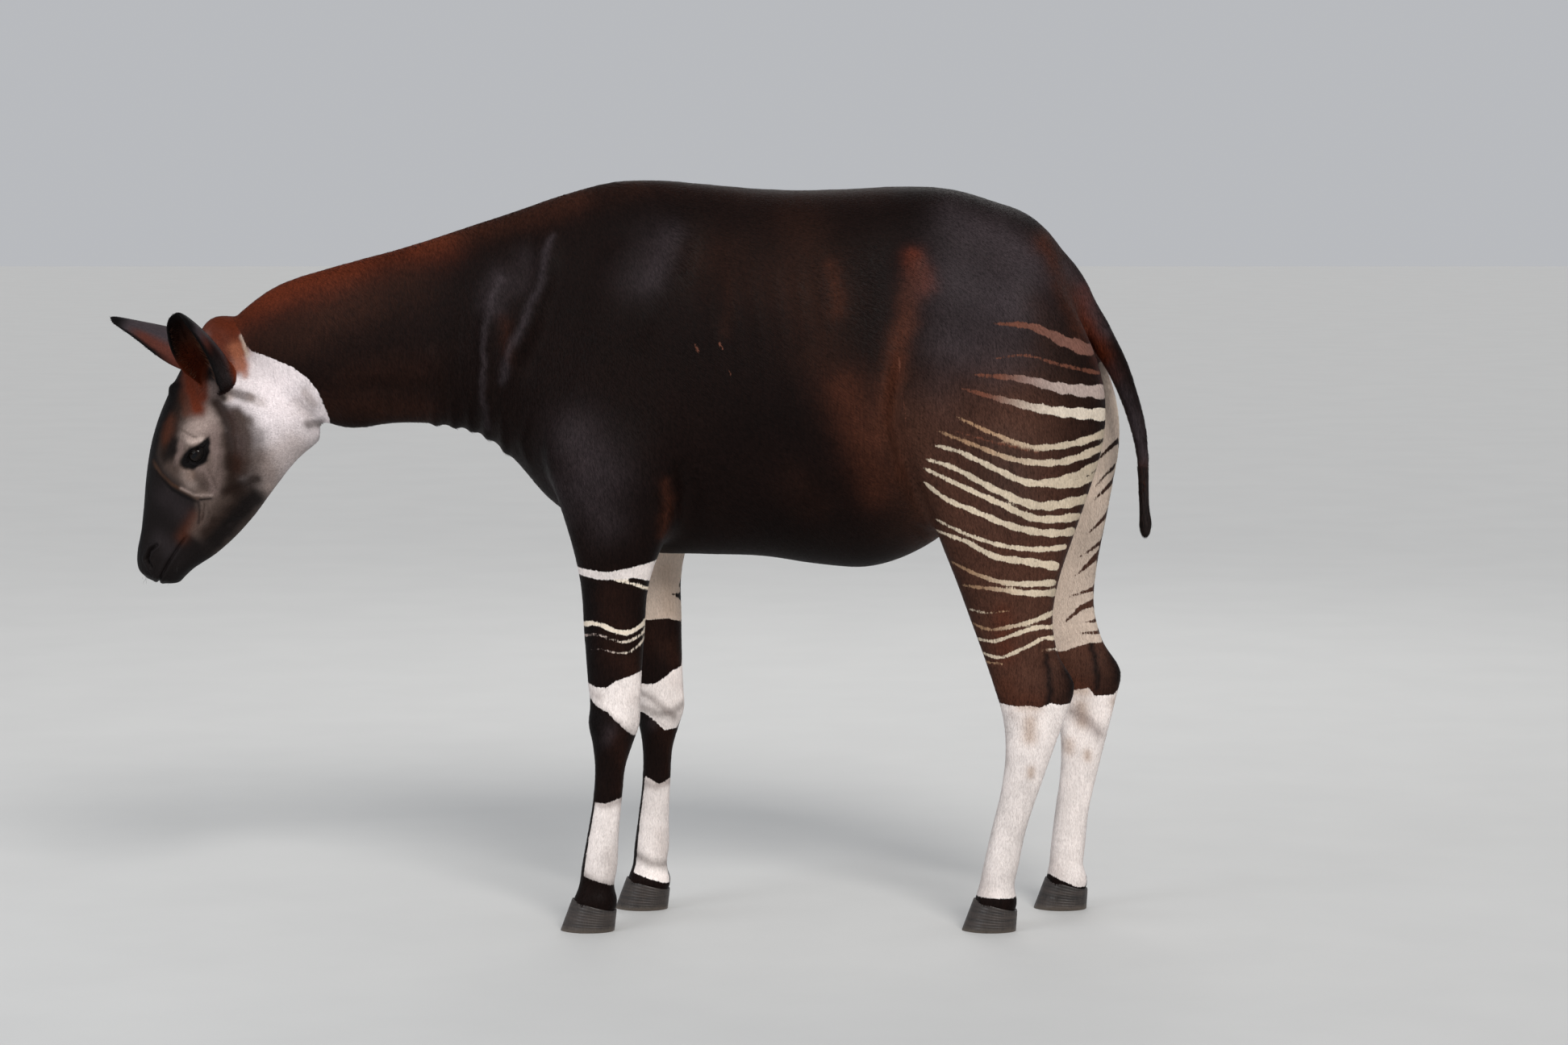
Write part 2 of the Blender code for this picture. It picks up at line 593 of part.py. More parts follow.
def whole_animal():
    """The body as one closed mesh: lofts fused, smoothed, and sculpted, with the head divided finer."""
    pieces = [
        body_loft("trunk", TRUNK),
        body_loft("head", HEAD),
    ]
    for side in (-1, 1):
        pieces.append(leg_loft("foreleg", FORELEG, side, FORE_STEP))
        pieces.append(leg_loft("hindleg", HINDLEG, side, HIND_STEP))
    whole = remeshed(joined("whole", pieces), VOXEL)
    mesh = whole.data
    points = points_of(mesh)
    trunk = between(points[:, 0], *TRUNK_FRONT) * between(points[:, 2], *TRUNK_FOOT)
    points = smoothed(mesh, points, PULL_IN * trunk, TRUNK_ROUNDS)
    jaw = bell(points[:, 0] - JAW_JOINT, JAW_JOINT_REACH)
    points = smoothed(mesh, points, JAW_PULL * jaw, JAW_ROUNDS)
    points = evened(mesh, points, np.ones(len(points)), EVEN_ROUNDS)
    set_points(mesh, points)
    finer(mesh, points[:, 0] < FINE_FRONT)
    points = points_of(mesh)
    head = between(FINE_FRONT + FINE_BORDER - points[:, 0], 0.0, FINE_FADE)
    points = evened(mesh, points, head, HEAD_ROUNDS)
    set_points(mesh, points)
    for _ in range(FINE_ROUNDS):
        finer(mesh, near_features(points_of(mesh)))
    points = points_of(mesh)
    points = evened(mesh, points, 1.0 * near_features(points), FEATURE_ROUNDS)
    points = sculpted(mesh, points)
    points = carved_mouth(mesh, points)
    points = with_lids(points)
    set_points(mesh, points)
    return whole


# Gaps kept between touching pieces: at the cuts, round the roots of ears and tail, and round the eyes.
GAP = 0.0003
ROOT_GAP = 0.00039
EYE_GAP = 0.00036

# The ears: root and tip of the axis, the way the cup opens, and the share by which its tip is rolled
# closer.
EARS = {
    "ear_left": ((-1.124, -0.046, 1.098), (-1.186, -0.262, 1.219), (-0.45, -0.55, -0.70), 0.00),
    "ear_right": ((-1.116, 0.046, 1.125), (-1.372, 0.130, 1.192), (-0.10, 0.10, -0.98), 0.35),
}
# Between which places along an ear it comes to be rolled closer.
EAR_ROLL = (0.35, 0.95)
# Along each ear, from root to tip: place, radius of the cup, half of its opening angle in degrees,
# thickness.
EAR_SHAPE = (
    (0.00, 0.034, 152, 0.0060),
    (0.12, 0.040, 140, 0.0055),
    (0.25, 0.045, 124, 0.0045),
    (0.42, 0.048, 108, 0.0040),
    (0.60, 0.046, 97, 0.0036),
    (0.76, 0.039, 90, 0.0034),
    (0.88, 0.030, 86, 0.0032),
    (0.96, 0.019, 84, 0.0030),
    (1.00, 0.009, 80, 0.0028),
)
# How far a wider part of an ear is moved into the cup, so that its back stays straight.
EAR_BACK = 0.7
EAR_POINTS = 13
EAR_RINGS = 13

# The tail's middle line in the side view and its radius, from the root to the end of the flesh.
TAIL = (
    (0.500, 1.352, 0.040),
    (0.540, 1.322, 0.040),
    (0.574, 1.284, 0.037),
    (0.602, 1.234, 0.033),
    (0.636, 1.178, 0.028),
    (0.668, 1.121, 0.024),
    (0.690, 1.067, 0.0205),
    (0.708, 1.010, 0.0180),
    (0.718, 0.960, 0.0150),
    (0.722, 0.900, 0.0122),
    (0.724, 0.840, 0.0104),
    (0.727, 0.815, 0.0080),
)
TAIL_SIDES = 12
TAIL_SPACING = 0.030
# The tuft's locks: each is turned on from the last, and starts and ends at a level of its own.
TUFT_LOCKS = 11
LOCK_TURN = 2.4
TUFT_TOP = 0.868
TUFT_TOP_SPREAD = 0.022
TUFT_TOP_STRIDE = 0.618
TUFT_END = 0.772
TUFT_END_SPREAD = 0.030
TUFT_END_STRIDE = 0.381
LOCK_STEPS = (0.0, 0.25, 0.5, 0.75, 0.92, 1.0)
LOCK_BULGE = 0.55
LOCK_BULGE_END = 1.25
LOCK_BEND = 0.012
LOCK_TAPER = 2.2
LOCK_LEAST = 0.03
LOCK_HALF_WIDTH = 0.0062
LOCK_HALF_THICKNESS = 0.0022

# Each hoof, front to rear in the side view: sole, then crown of the hoof with its height at both ends.
FORE_HOOF = {"sole": (-0.447, -0.339), "crown": (-0.4235, -0.3345), "crown_height": (0.064, 0.040)}
HIND_HOOF = {"sole": (0.356, 0.464), "crown": (0.3795, 0.4665), "crown_height": (0.064, 0.040)}
HOOF_MIDDLE = 0.120
CLAW_WIDTH = 0.0400
CLEFT = 0.0030
CLAW_SIDES = 16
# A claw's wall, from the sole to the crown: share of the height, share of the width.
CLAW_WALL = ((0.0, 1.0), (0.12, 1.03), (0.5, 1.0), (0.85, 0.985), (1.0, 0.97))
# How full a claw's outline is lengthwise and sideways, and how much narrower its toe and heel are.
CLAW_FULL_LENGTH = 0.85
CLAW_FULL_WIDTH = 0.8
TOE_NARROWING = 0.42
HEEL_NARROWING = 0.12
HOOF_CUT_SPARE = 0.04
HOOF_CUT_HALF_WIDTH = 0.075

# How many triangles the flesh has before it is parted: the head, and all the rest.
HEAD_TRIANGLES = 4800
BODY_TRIANGLES = 5800

# Thin cuts through the flesh, in the side view: two ends of the cut.
CUTS = {
    "head": ((-1.104, 1.289), (-0.886, 0.955)),
    "neck": ((-0.420, 1.533), (-0.530, 0.862)),
    "forelegs": ((-0.600, 0.732), (-0.060, 0.732)),
    "hindlegs": ((0.285, 0.737), (0.720, 0.824)),
}
CUT_HALF_WIDTH = 0.40
# Which piece is which, once the flesh is cut: a leg reaches below this level, the head and the neck lie in
# front of these places.
FOOT_LEVEL = 0.10
HEAD_REAR = -1.0
NECK_REAR = -0.55

# Colour, roughness and metallic value of each material.
MATERIALS = {
    "dark_coat": ((0.030, 0.012, 0.008), 0.55, 0.0),
    "face_coat": ((0.180, 0.110, 0.080), 0.60, 0.0),
    "striped_coat": ((0.160, 0.100, 0.075), 0.60, 0.0),
    "ear_coat": ((0.045, 0.022, 0.018), 0.60, 0.0),
    "eye": ((0.010, 0.006, 0.005), 0.08, 0.0),
    "horn": ((0.060, 0.045, 0.038), 0.45, 0.0),
}


def material(name):
    """The named material, made on its first use."""
    if name in bpy.data.materials:
        return bpy.data.materials[name]
    colour, roughness, metallic = MATERIALS[name]
    made = bpy.data.materials.new(name)
    made.use_nodes = True
    shader = made.node_tree.nodes["Principled BSDF"]
    shader.inputs["Base Color"].default_value = (*colour, 1.0)
    shader.inputs["Roughness"].default_value = roughness
    shader.inputs["Metallic"].default_value = metallic
    made.diffuse_color = (*colour, 1.0)
    return made


def boolean(target, others, operation):
    """The target united with, or cut by, the other objects, which are removed."""
    tools = bpy.data.collections.new("tools")
    for other in others:
        for home in list(other.users_collection):
            home.objects.unlink(other)
        tools.objects.link(other)
    bpy.context.scene.collection.children.link(tools)
    modifier = target.modifiers.new("Boolean", "BOOLEAN")
    modifier.operation = operation
    modifier.operand_type = "COLLECTION"
    modifier.collection = tools
    modifier.solver = "EXACT"
    made = evaluated_copy(target, target.name)
    for other in others:
        bpy.data.objects.remove(other)
    bpy.data.collections.remove(tools)
    return made


def surfaces(found):
    """The separate closed surfaces of an object's mesh, each as a list of its face indices."""
    form = bmesh.new()
    form.from_mesh(found.data)
    form.faces.ensure_lookup_table()
    seen = set()
    groups = []
    for first in form.faces:
        if first.index in seen:
            continue
        seen.add(first.index)
        group, front = [], [first]
        while front:
            face = front.pop()
            group.append(face.index)
            for edge in face.edges:
                for other in edge.link_faces:
                    if other.index not in seen:
                        seen.add(other.index)
                        front.append(other)
        groups.append(group)
    form.free()
    return groups


def only_faces(found, name, group):
    """A new object with only the given faces."""
    form = bmesh.new()
    form.from_mesh(found.data)
    form.faces.ensure_lookup_table()
    kept = set(group)
    bmesh.ops.delete(form, geom=[f for f in form.faces if f.index not in kept], context="FACES")
    mesh = bpy.data.meshes.new(name)
    form.to_mesh(mesh)
    form.free()
    return object_of(name, mesh)


def largest_surface(found):
    """The object with only its largest closed surface."""
    groups = sorted(surfaces(found), key=len)
    made = only_faces(found, found.name + "_largest", groups[-1])
    name = found.name
    bpy.data.objects.remove(found)
    made.name = name
    return made


def reduced(found):
    """The flesh with few triangles, closest together on the head."""
    form = bmesh.new()
    form.from_mesh(found.data)
    bmesh.ops.triangulate(form, faces=form.faces)
    form.to_mesh(found.data)
    form.free()
    for kept_first, triangles in ((True, BODY_TRIANGLES), (False, HEAD_TRIANGLES)):
        points = points_of(found.data)
        corners = np.empty(len(found.data.polygons) * 3, np.int32)
        found.data.polygons.foreach_get("vertices", corners)
        in_head = points[:, 0] < FINE_FRONT
        head_faces = in_head[corners.reshape(-1, 3)].any(axis=1).sum()
        body_faces = len(found.data.polygons) - head_faces
        group = found.vertex_groups.new(name="free")
        free = np.nonzero(~in_head if kept_first else in_head)[0]
        group.add(free.tolist(), 1.0, "REPLACE")
        left = triangles + (head_faces if kept_first else body_faces)
        modifier = found.modifiers.new("Decimate", "DECIMATE")
        modifier.ratio = left / len(found.data.polygons)
        modifier.vertex_group = group.name
        found = evaluated_copy(found, found.name)
    return found


def slab(name, first, second, half_width, middle_y=0.0):
    """A box as thin as the gap, which stands across the side view from one point to another."""
    first, second = Vector((first[0], 0, first[1])), Vector((second[0], 0, second[1]))
    way = (second - first).normalized()
    across = Vector((0, 1, 0))
    turn = Matrix((way, across, way.cross(across))).transposed().to_4x4()
    size = Matrix.Diagonal(((second - first).length, 2 * half_width, GAP, 1))
    place = (first + second) / 2 + Vector((0, middle_y, 0))
    form = bmesh.new()
    bmesh.ops.create_cube(form, size=1.0)
    form.transform(Matrix.Translation(place) @ turn @ size)
    mesh = bpy.data.meshes.new(name)
    form.to_mesh(mesh)
    form.free()
    return object_of(name, mesh)


def swollen(found, name, distance):
    """A copy of an object with its surface moved out."""
    mesh = found.data.copy()
    made = object_of(name, mesh)
    set_points(mesh, points_of(mesh) + distance * normals_of(mesh))
    return made


def ball(name, centre, outward, radius):
    """A sphere with its pole turned outward."""
    form = bmesh.new()
    bmesh.ops.create_uvsphere(form, u_segments=EYE_SIDES, v_segments=EYE_SIDES // 2, radius=radius)
    turn = Vector(outward).to_track_quat("Z", "X").to_matrix().to_4x4()
    form.transform(Matrix.Translation(centre) @ turn)
    mesh = bpy.data.meshes.new(name)
    form.to_mesh(mesh)
    form.free()
    mesh.shade_smooth()
    return object_of(name, mesh)


def ear(name):
    """An ear as a leaf rolled into a cup at its root, flatter towards its tip."""
    root, tip, cup, slender = EARS[name]
    root, tip = np.array(root), np.array(tip)
    way = unit(tip - root)
    cup = unit(np.array(cup) - (np.array(cup) @ way) * way)
    across = np.cross(way, cup)
    length = np.linalg.norm(tip - root)
    places, radii, openings, depths = np.array(EAR_SHAPE).T
    rings = []
    for along in np.linspace(0.0, 1.0, EAR_RINGS):
        radius = np.interp(along, places, radii) * (1 - slender * between(along, *EAR_ROLL))
        depth = np.interp(along, places, depths)
        opening = math.radians(np.interp(along, places, openings))
        centre = root + along * length * way + EAR_BACK * (radius - radii[0]) * cup
        angles = np.linspace(-opening, opening, EAR_POINTS)[:, None]
        lie = -np.cos(angles) * cup + np.sin(angles) * across
        outer = centre + radius * lie
        inner = centre + (radius - depth) * lie
        rings.append(np.vstack([outer, inner[::-1]]))
    return loft(name, rings)


def round_rings(rows, sides):
    """Rings about a line of the side view, from rows of x, z and radius."""
    line = np.array(through([(r[0], 0.0, r[1], r[2]) for r in rows], TAIL_SPACING))
    centres, radii = line[:, [0, 2]], line[:, 3]
    ways = np.gradient(centres, axis=0)
    angles = np.arange(sides) * 2 * math.pi / sides
    rings = []
    for centre, radius, way in zip(centres, radii, ways):
        way = way / np.linalg.norm(way)
        over = np.array([-way[1], way[0]])
        side = centre + radius * np.sin(angles)[:, None] * over
        rings.append(np.column_stack([side[:, 0], radius * np.cos(angles), side[:, 1]]))
    return rings


def tuft_lock(index):
    """One flat tapered lock of the tuft, rooted in the tail's end."""
    angle = index * LOCK_TURN
    heights, xs, radii = zip(*sorted((z, x, r) for x, z, r in TAIL))
    top = TUFT_TOP - TUFT_TOP_SPREAD * ((index * TUFT_TOP_STRIDE) % 1.0)
    end = TUFT_END + TUFT_END_SPREAD * ((index * TUFT_END_STRIDE) % 1.0) ** 1.5
    out = np.array([math.cos(angle), math.sin(angle), 0.0])
    flat = np.array([-math.sin(angle), math.cos(angle), 0.0])
    rings = []
    for along in LOCK_STEPS:
        z = top + along * (end - top)
        bulge = LOCK_BULGE * (1 + math.sin(math.pi * min(along * LOCK_BULGE_END, 1.0)))
        away = np.interp(z, heights, radii) * bulge
        centre = np.array([np.interp(z, heights, xs) + LOCK_BEND * along**2, 0.0, z]) + away * out
        taper = math.sqrt(max(1.0 - along**LOCK_TAPER, LOCK_LEAST))
        wide = LOCK_HALF_WIDTH * taper * flat
        thick = LOCK_HALF_THICKNESS * taper * out
        rings.append(np.array([centre + wide, centre + thick, centre - wide, centre - thick]))
    return loft("lock", rings)


def tail():
    """The tail with its small tuft, as one closed body."""
    flesh = loft("tail", round_rings(TAIL, TAIL_SIDES))
    made = boolean(flesh, [tuft_lock(i) for i in range(TUFT_LOCKS)], "UNION")
    return largest_surface(made)


def claw(name, hoof, side, inner, move):
    """One half of a cloven hoof, from its flat sole up to the slanted crown."""
    angles = np.arange(CLAW_SIDES) * 2 * math.pi / CLAW_SIDES
    toe, outer = np.cos(angles), np.sin(angles)
    toward = side * (-1 if inner else 1)
    rings = []
    for rise, swell in CLAW_WALL:
        front = hoof["sole"][0] + rise * (hoof["crown"][0] - hoof["sole"][0]) + move
        rear = hoof["sole"][1] + rise * (hoof["crown"][1] - hoof["sole"][1]) + move
        x = (front + rear) / 2 - np.sign(toe) * np.abs(toe) ** CLAW_FULL_LENGTH * (rear - front) / 2
        narrow = 1 - TOE_NARROWING * np.clip(toe, 0, 1) ** 2 - HEEL_NARROWING * np.clip(-toe, 0, 1) ** 2
        wide = np.where(outer > 0, np.abs(outer) ** CLAW_FULL_WIDTH * CLAW_WIDTH * swell * narrow, 0.0)
        y = side * HOOF_MIDDLE + toward * (CLEFT / 2 + wide)
        low, high = hoof["crown_height"]
        crown = low + (x - front) / (rear - front) * (high - low)
        rings.append(np.column_stack([x, y, crown * rise]))
    return loft(name, rings)


def legs():
    """Name, side and hoof of each leg, and how far back it stands."""
    for side, side_name in ((-1, "left"), (1, "right")):
        kinds = (("foreleg", FORE_HOOF, FORE_STEP), ("hindleg", HIND_HOOF, HIND_STEP))
        for kind, hoof, steps in kinds:
            move = step_at(0.0, steps) if side > 0 else 0.0
            yield kind + "_" + side_name, side, hoof, move


def hoof_cut(side, hoof, move):
    """The slanted cut between a leg and its hoof."""
    front, rear = hoof["crown"]
    low, high = hoof["crown_height"]
    slope = (high - low) / (rear - front)
    spare = HOOF_CUT_SPARE
    first = (front + move - spare, low - spare * slope + GAP / 2)
    second = (rear + move + spare, high + spare * slope + GAP / 2)
    return slab("hoof_cut", first, second, HOOF_CUT_HALF_WIDTH, side * HOOF_MIDDLE)


def node_of(low, high):
    """Which node a parted piece of flesh is, from the corners of its box; None for a scrap in a hoof."""
    middle = (low + high) / 2
    if high[2] < FOOT_LEVEL:
        return None
    if low[2] < FOOT_LEVEL:
        kind = "foreleg_" if middle[0] < 0 else "hindleg_"
        return kind + ("left" if middle[1] < 0 else "right")
    if middle[0] < HEAD_REAR:
        return "head"
    return "neck" if middle[0] < NECK_REAR else "torso"


FLESH_MATERIALS = {
    "head": "face_coat",
    "neck": "dark_coat",
    "torso": "dark_coat",
    "foreleg_left": "striped_coat",
    "foreleg_right": "striped_coat",
    "hindleg_left": "striped_coat",
    "hindleg_right": "striped_coat",
}


def main():
    for found in list(bpy.data.objects):
        bpy.data.objects.remove(found)
    flesh = reduced(whole_animal())

    pieces = {}
    for name in EARS:
        made = boolean(ear(name), [swollen(flesh, "inside", ROOT_GAP)], "DIFFERENCE")
        pieces[name] = (largest_surface(made), "ear_coat")
    made = boolean(tail(), [swollen(flesh, "inside", ROOT_GAP)], "DIFFERENCE")
    pieces["tail"] = (largest_surface(made), "dark_coat")

    sockets = []
    for side, name in ((-1, "eye_left"), (1, "eye_right")):
        centre, outward, _, _ = eye_frame(side)
        pieces[name] = (ball(name, centre, outward, EYE_RADIUS), "eye")
        sockets.append(ball("socket", centre, outward, EYE_RADIUS + EYE_GAP))
    cuts = [slab(name, *ends, CUT_HALF_WIDTH) for name, ends in CUTS.items()]
    for name, side, hoof, move in legs():
        cuts.append(hoof_cut(side, hoof, move))
        for inner, claw_name in ((False, "outer"), (True, "inner")):
            made = claw("hoof_" + name + "_" + claw_name, hoof, side, inner, move)
            pieces[made.name] = (made, "horn")

    parted = boolean(flesh, cuts + sockets, "DIFFERENCE")
    for group in surfaces(parted):
        piece = only_faces(parted, "piece", group)
        points = points_of(piece.data)
        name = node_of(points.min(axis=0), points.max(axis=0))
        smaller = name in pieces and len(piece.data.polygons) < len(pieces[name][0].data.polygons)
        if name is None or smaller:
            bpy.data.objects.remove(piece)
            continue
        if name in pieces:
            bpy.data.objects.remove(pieces[name][0])
        pieces[name] = (piece, FLESH_MATERIALS[name])
    bpy.data.objects.remove(parted)

    okapi = bpy.data.collections.new("okapi")
    bpy.context.scene.collection.children.link(okapi)
    corners = np.vstack([points_of(found.data) for found, _ in pieces.values()])
    middle = (corners.min(axis=0) + corners.max(axis=0)) / 2
    for name, (found, look) in pieces.items():
        found.name = found.data.name = name
        found.data.transform(Matrix.Translation((-middle[0], -middle[1], 0.0)))
        found.data.materials.clear()
        found.data.materials.append(material(look))
        for home in list(found.users_collection):
            home.objects.unlink(found)
        okapi.objects.link(found)


main()
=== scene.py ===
"""The looks of the okapi: skin, coat in tufts, eyes and hooves, with a floor, light and a camera.

Metres, +Z up. The animal faces -X and its left side faces -Y. The form is made in the place where it was
measured, with the middle plane at y = 0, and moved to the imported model's place at the end.
"""

import math

import bmesh
import bpy
import numpy as np
from mathutils import Matrix, Vector
from mathutils.kdtree import KDTree


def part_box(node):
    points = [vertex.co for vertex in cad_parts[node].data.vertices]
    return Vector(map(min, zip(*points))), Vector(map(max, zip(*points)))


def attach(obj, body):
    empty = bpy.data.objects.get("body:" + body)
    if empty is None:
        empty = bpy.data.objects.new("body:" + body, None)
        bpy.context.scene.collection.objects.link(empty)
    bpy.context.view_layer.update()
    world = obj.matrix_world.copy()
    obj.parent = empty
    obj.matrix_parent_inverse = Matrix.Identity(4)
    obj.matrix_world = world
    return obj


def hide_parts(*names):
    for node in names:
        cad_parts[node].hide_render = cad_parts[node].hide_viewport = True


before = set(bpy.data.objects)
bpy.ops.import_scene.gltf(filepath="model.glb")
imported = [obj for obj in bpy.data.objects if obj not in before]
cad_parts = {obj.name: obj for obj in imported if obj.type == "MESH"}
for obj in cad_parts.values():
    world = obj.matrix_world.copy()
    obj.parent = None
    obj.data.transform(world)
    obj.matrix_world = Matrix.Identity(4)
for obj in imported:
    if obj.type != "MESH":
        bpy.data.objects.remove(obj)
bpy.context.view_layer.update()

# Sections across the neck and trunk, from the head to the rump: upper point (x, z), lower point (x, z), half
# width, level of the widest line (0 at the lower point, 1 at the upper), fullness of the upper and lower
# half.
TRUNK = (
    ("in_head", (-1.15, 1.165), (-1.02, 1.035), 0.048, 0.5, 2.0, 2.0),
    ("nape", (-1.095, 1.225), (-0.945, 1.015), 0.06, 0.5, 2.0, 2.0),
    ("throat_latch", (-1.02, 1.282), (-0.875, 0.993), 0.066, 0.45, 1.9, 2.0),
    ("upper_neck", (-0.9, 1.328), (-0.79, 1.003), 0.07, 0.42, 1.8, 2.0),
    ("middle_neck", (-0.765, 1.366), (-0.695, 1.002), 0.08, 0.4, 1.7, 2.0),
    ("lower_neck", (-0.645, 1.404), (-0.605, 0.982), 0.096, 0.38, 1.7, 2.0),
    ("neck_root", (-0.54, 1.438), (-0.54, 0.93), 0.125, 0.36, 1.7, 2.0),
    ("breast", (-0.445, 1.47), (-0.475, 0.855), 0.15, 0.36, 1.7, 2.0),
    ("withers_front", (-0.35, 1.495), (-0.395, 0.8), 0.165, 0.4, 1.7, 2.1),
    ("withers", (-0.27, 1.5), (-0.3, 0.752), 0.18, 0.42, 1.7, 2.1),
    ("girth", (-0.15, 1.49), (-0.17, 0.742), 0.196, 0.44, 1.8, 2.1),
    ("ribs", (-0.02, 1.479), (-0.04, 0.738), 0.212, 0.44, 1.9, 2.1),
    ("belly", (0.1, 1.479), (0.07, 0.722), 0.222, 0.44, 1.9, 2.1),
    ("loin", (0.22, 1.485), (0.18, 0.718), 0.218, 0.46, 1.9, 2.1),
    ("flank", (0.33, 1.481), (0.29, 0.76), 0.195, 0.5, 1.9, 2.0),
    ("croup", (0.42, 1.455), (0.395, 0.84), 0.18, 0.55, 2.0, 2.0),
    ("rump", (0.495, 1.425), (0.49, 0.9), 0.155, 0.58, 2.0, 2.0),
    ("buttock", (0.548, 1.372), (0.56, 0.98), 0.115, 0.58, 2.0, 2.0),
    ("tail_root", (0.59, 1.295), (0.6, 1.1), 0.06, 0.5, 2.0, 2.0),
)
# Sections across the head, from the crown to the lips. The upper point lies on the forehead and nose, the
# lower one on the jaw.
HEAD = (
    ("in_neck", (-1.08, 1.222), (-0.96, 1.105), 0.044, 0.55, 2.0, 2.0),
    ("crown", (-1.14, 1.222), (-0.955, 1.065), 0.052, 0.55, 2.0, 2.0),
    ("ears", (-1.19, 1.15), (-0.95, 1.03), 0.066, 0.55, 2.2, 2.0),
    ("forehead", (-1.225, 1.085), (-0.924, 0.982), 0.078, 0.6, 2.3, 1.9),
    ("brow", (-1.25, 1.03), (-0.974, 0.934), 0.088, 0.62, 2.4, 1.8),
    ("eyes", (-1.27, 0.965), (-1.024, 0.875), 0.089, 0.62, 2.4, 1.8),
    ("cheek", (-1.282, 0.895), (-1.068, 0.817), 0.074, 0.58, 2.2, 1.8),
    ("nose_bridge", (-1.288, 0.835), (-1.108, 0.774), 0.058, 0.55, 2.1, 1.9),
    ("muzzle", (-1.294, 0.788), (-1.148, 0.74), 0.049, 0.54, 2.1, 2.0),
    ("nostrils", (-1.301, 0.752), (-1.188, 0.714), 0.046, 0.55, 2.2, 2.1),
    ("lips", (-1.302, 0.726), (-1.208, 0.696), 0.043, 0.52, 2.2, 2.2),
    ("lip_edge", (-1.295, 0.706), (-1.222, 0.684), 0.034, 0.5, 2.1, 2.1),
    ("lip_end", (-1.282, 0.694), (-1.24, 0.683), 0.018, 0.5, 2.0, 2.0),
)
# Level sections of the left legs: height, front x, rear x, distance from the middle plane, half width.
FORELEG = (
    ("scapula_top", 1.37, -0.38, -0.235, 0.07, 0.05),
    ("scapula", 1.22, -0.43, -0.18, 0.1, 0.07),
    ("shoulder", 1.06, -0.468, -0.155, 0.118, 0.076),
    ("shoulder_point", 0.94, -0.478, -0.165, 0.124, 0.078),
    ("upper_arm", 0.85, -0.447, -0.195, 0.128, 0.073),
    ("elbow", 0.77, -0.423, -0.238, 0.128, 0.063),
    ("forearm_top", 0.7, -0.407, -0.264, 0.126, 0.056),
    ("forearm", 0.6, -0.399, -0.275, 0.123, 0.049),
    ("forearm_end", 0.5, -0.392, -0.282, 0.12, 0.043),
    ("above_knee", 0.455, -0.388, -0.284, 0.12, 0.043),
    ("knee", 0.415, -0.391, -0.286, 0.12, 0.047),
    ("under_knee", 0.38, -0.384, -0.298, 0.12, 0.04),
    ("cannon_top", 0.335, -0.379, -0.313, 0.12, 0.032),
    ("cannon", 0.27, -0.382, -0.321, 0.12, 0.027),
    ("cannon_end", 0.19, -0.394, -0.329, 0.12, 0.027),
    ("fetlock", 0.125, -0.405, -0.333, 0.12, 0.036),
    ("pastern", 0.09, -0.41, -0.339, 0.12, 0.033),
    ("coronet", 0.055, -0.422, -0.333, 0.12, 0.041),
    ("in_hoof", 0.032, -0.42, -0.34, 0.12, 0.036),
)
HINDLEG = (
    ("hip", 1.34, 0.3, 0.52, 0.085, 0.062),
    ("thigh_top", 1.22, 0.262, 0.59, 0.108, 0.082),
    ("thigh", 1.09, 0.248, 0.636, 0.12, 0.09),
    ("middle_thigh", 0.97, 0.252, 0.634, 0.126, 0.088),
    ("stifle", 0.87, 0.276, 0.604, 0.13, 0.08),
    ("gaskin_top", 0.78, 0.306, 0.574, 0.128, 0.068),
    ("gaskin", 0.7, 0.339, 0.548, 0.122, 0.056),
    ("gaskin_end", 0.62, 0.37, 0.536, 0.117, 0.046),
    ("above_hock", 0.555, 0.394, 0.548, 0.113, 0.04),
    ("hock", 0.49, 0.416, 0.58, 0.112, 0.038),
    ("under_hock", 0.43, 0.434, 0.563, 0.112, 0.038),
    ("cannon_top", 0.37, 0.44, 0.542, 0.113, 0.034),
    ("cannon", 0.29, 0.433, 0.514, 0.115, 0.029),
    ("cannon_end", 0.2, 0.413, 0.484, 0.118, 0.029),
    ("fetlock", 0.125, 0.397, 0.468, 0.12, 0.035),
    ("pastern", 0.09, 0.39, 0.461, 0.12, 0.034),
    ("coronet", 0.055, 0.381, 0.466, 0.12, 0.041),
    ("in_hoof", 0.032, 0.383, 0.46, 0.12, 0.036),
)
# How far the right legs stand behind the left ones: (height, distance).
FORE_STEP = ((1.1, 0.0), (0.74, 0.055), (0.42, 0.083), (0.06, 0.1))
HIND_STEP = ((1.25, 0.0), (1.03, 0.045), (0.74, 0.09), (0.47, 0.112), (0.06, 0.158))

# The sign of y on each side, with its name.
SIDES = (-1, 1)
SIDE_NAMES = ("left", "right")
# Between these two x the legs are the forelegs, and behind them the hind legs.
FORELEGS_FRONT = -0.6
FORELEGS_REAR = 0.0
LEG_FULLNESS = 2.2
TAIL_SIDES = 32
RING_POINTS = 64
RING_SPACING = 0.010
VOXEL = 0.0056
# How many rounds of smoothing the trunk, the join of head and neck, the whole, the head and its features get.
TRUNK_ROUNDS = 49
JAW_ROUNDS = 16
EVEN_ROUNDS = 20
HEAD_ROUNDS = 4
FEATURE_ROUNDS = 6
TRUNK_FRONT = (-0.98, -0.85)
TRUNK_FOOT = (0.6, 0.8)
JAW_JOINT = -0.95
JAW_JOINT_REACH = 0.06
FINE_FRONT = -0.86
# How far round the eyes, the mouth and nostrils, and the lids the mesh is finer.
EYE_REACH = 0.016
FEATURE_REACH = 0.013
LID_FINE_REACH = 0.008
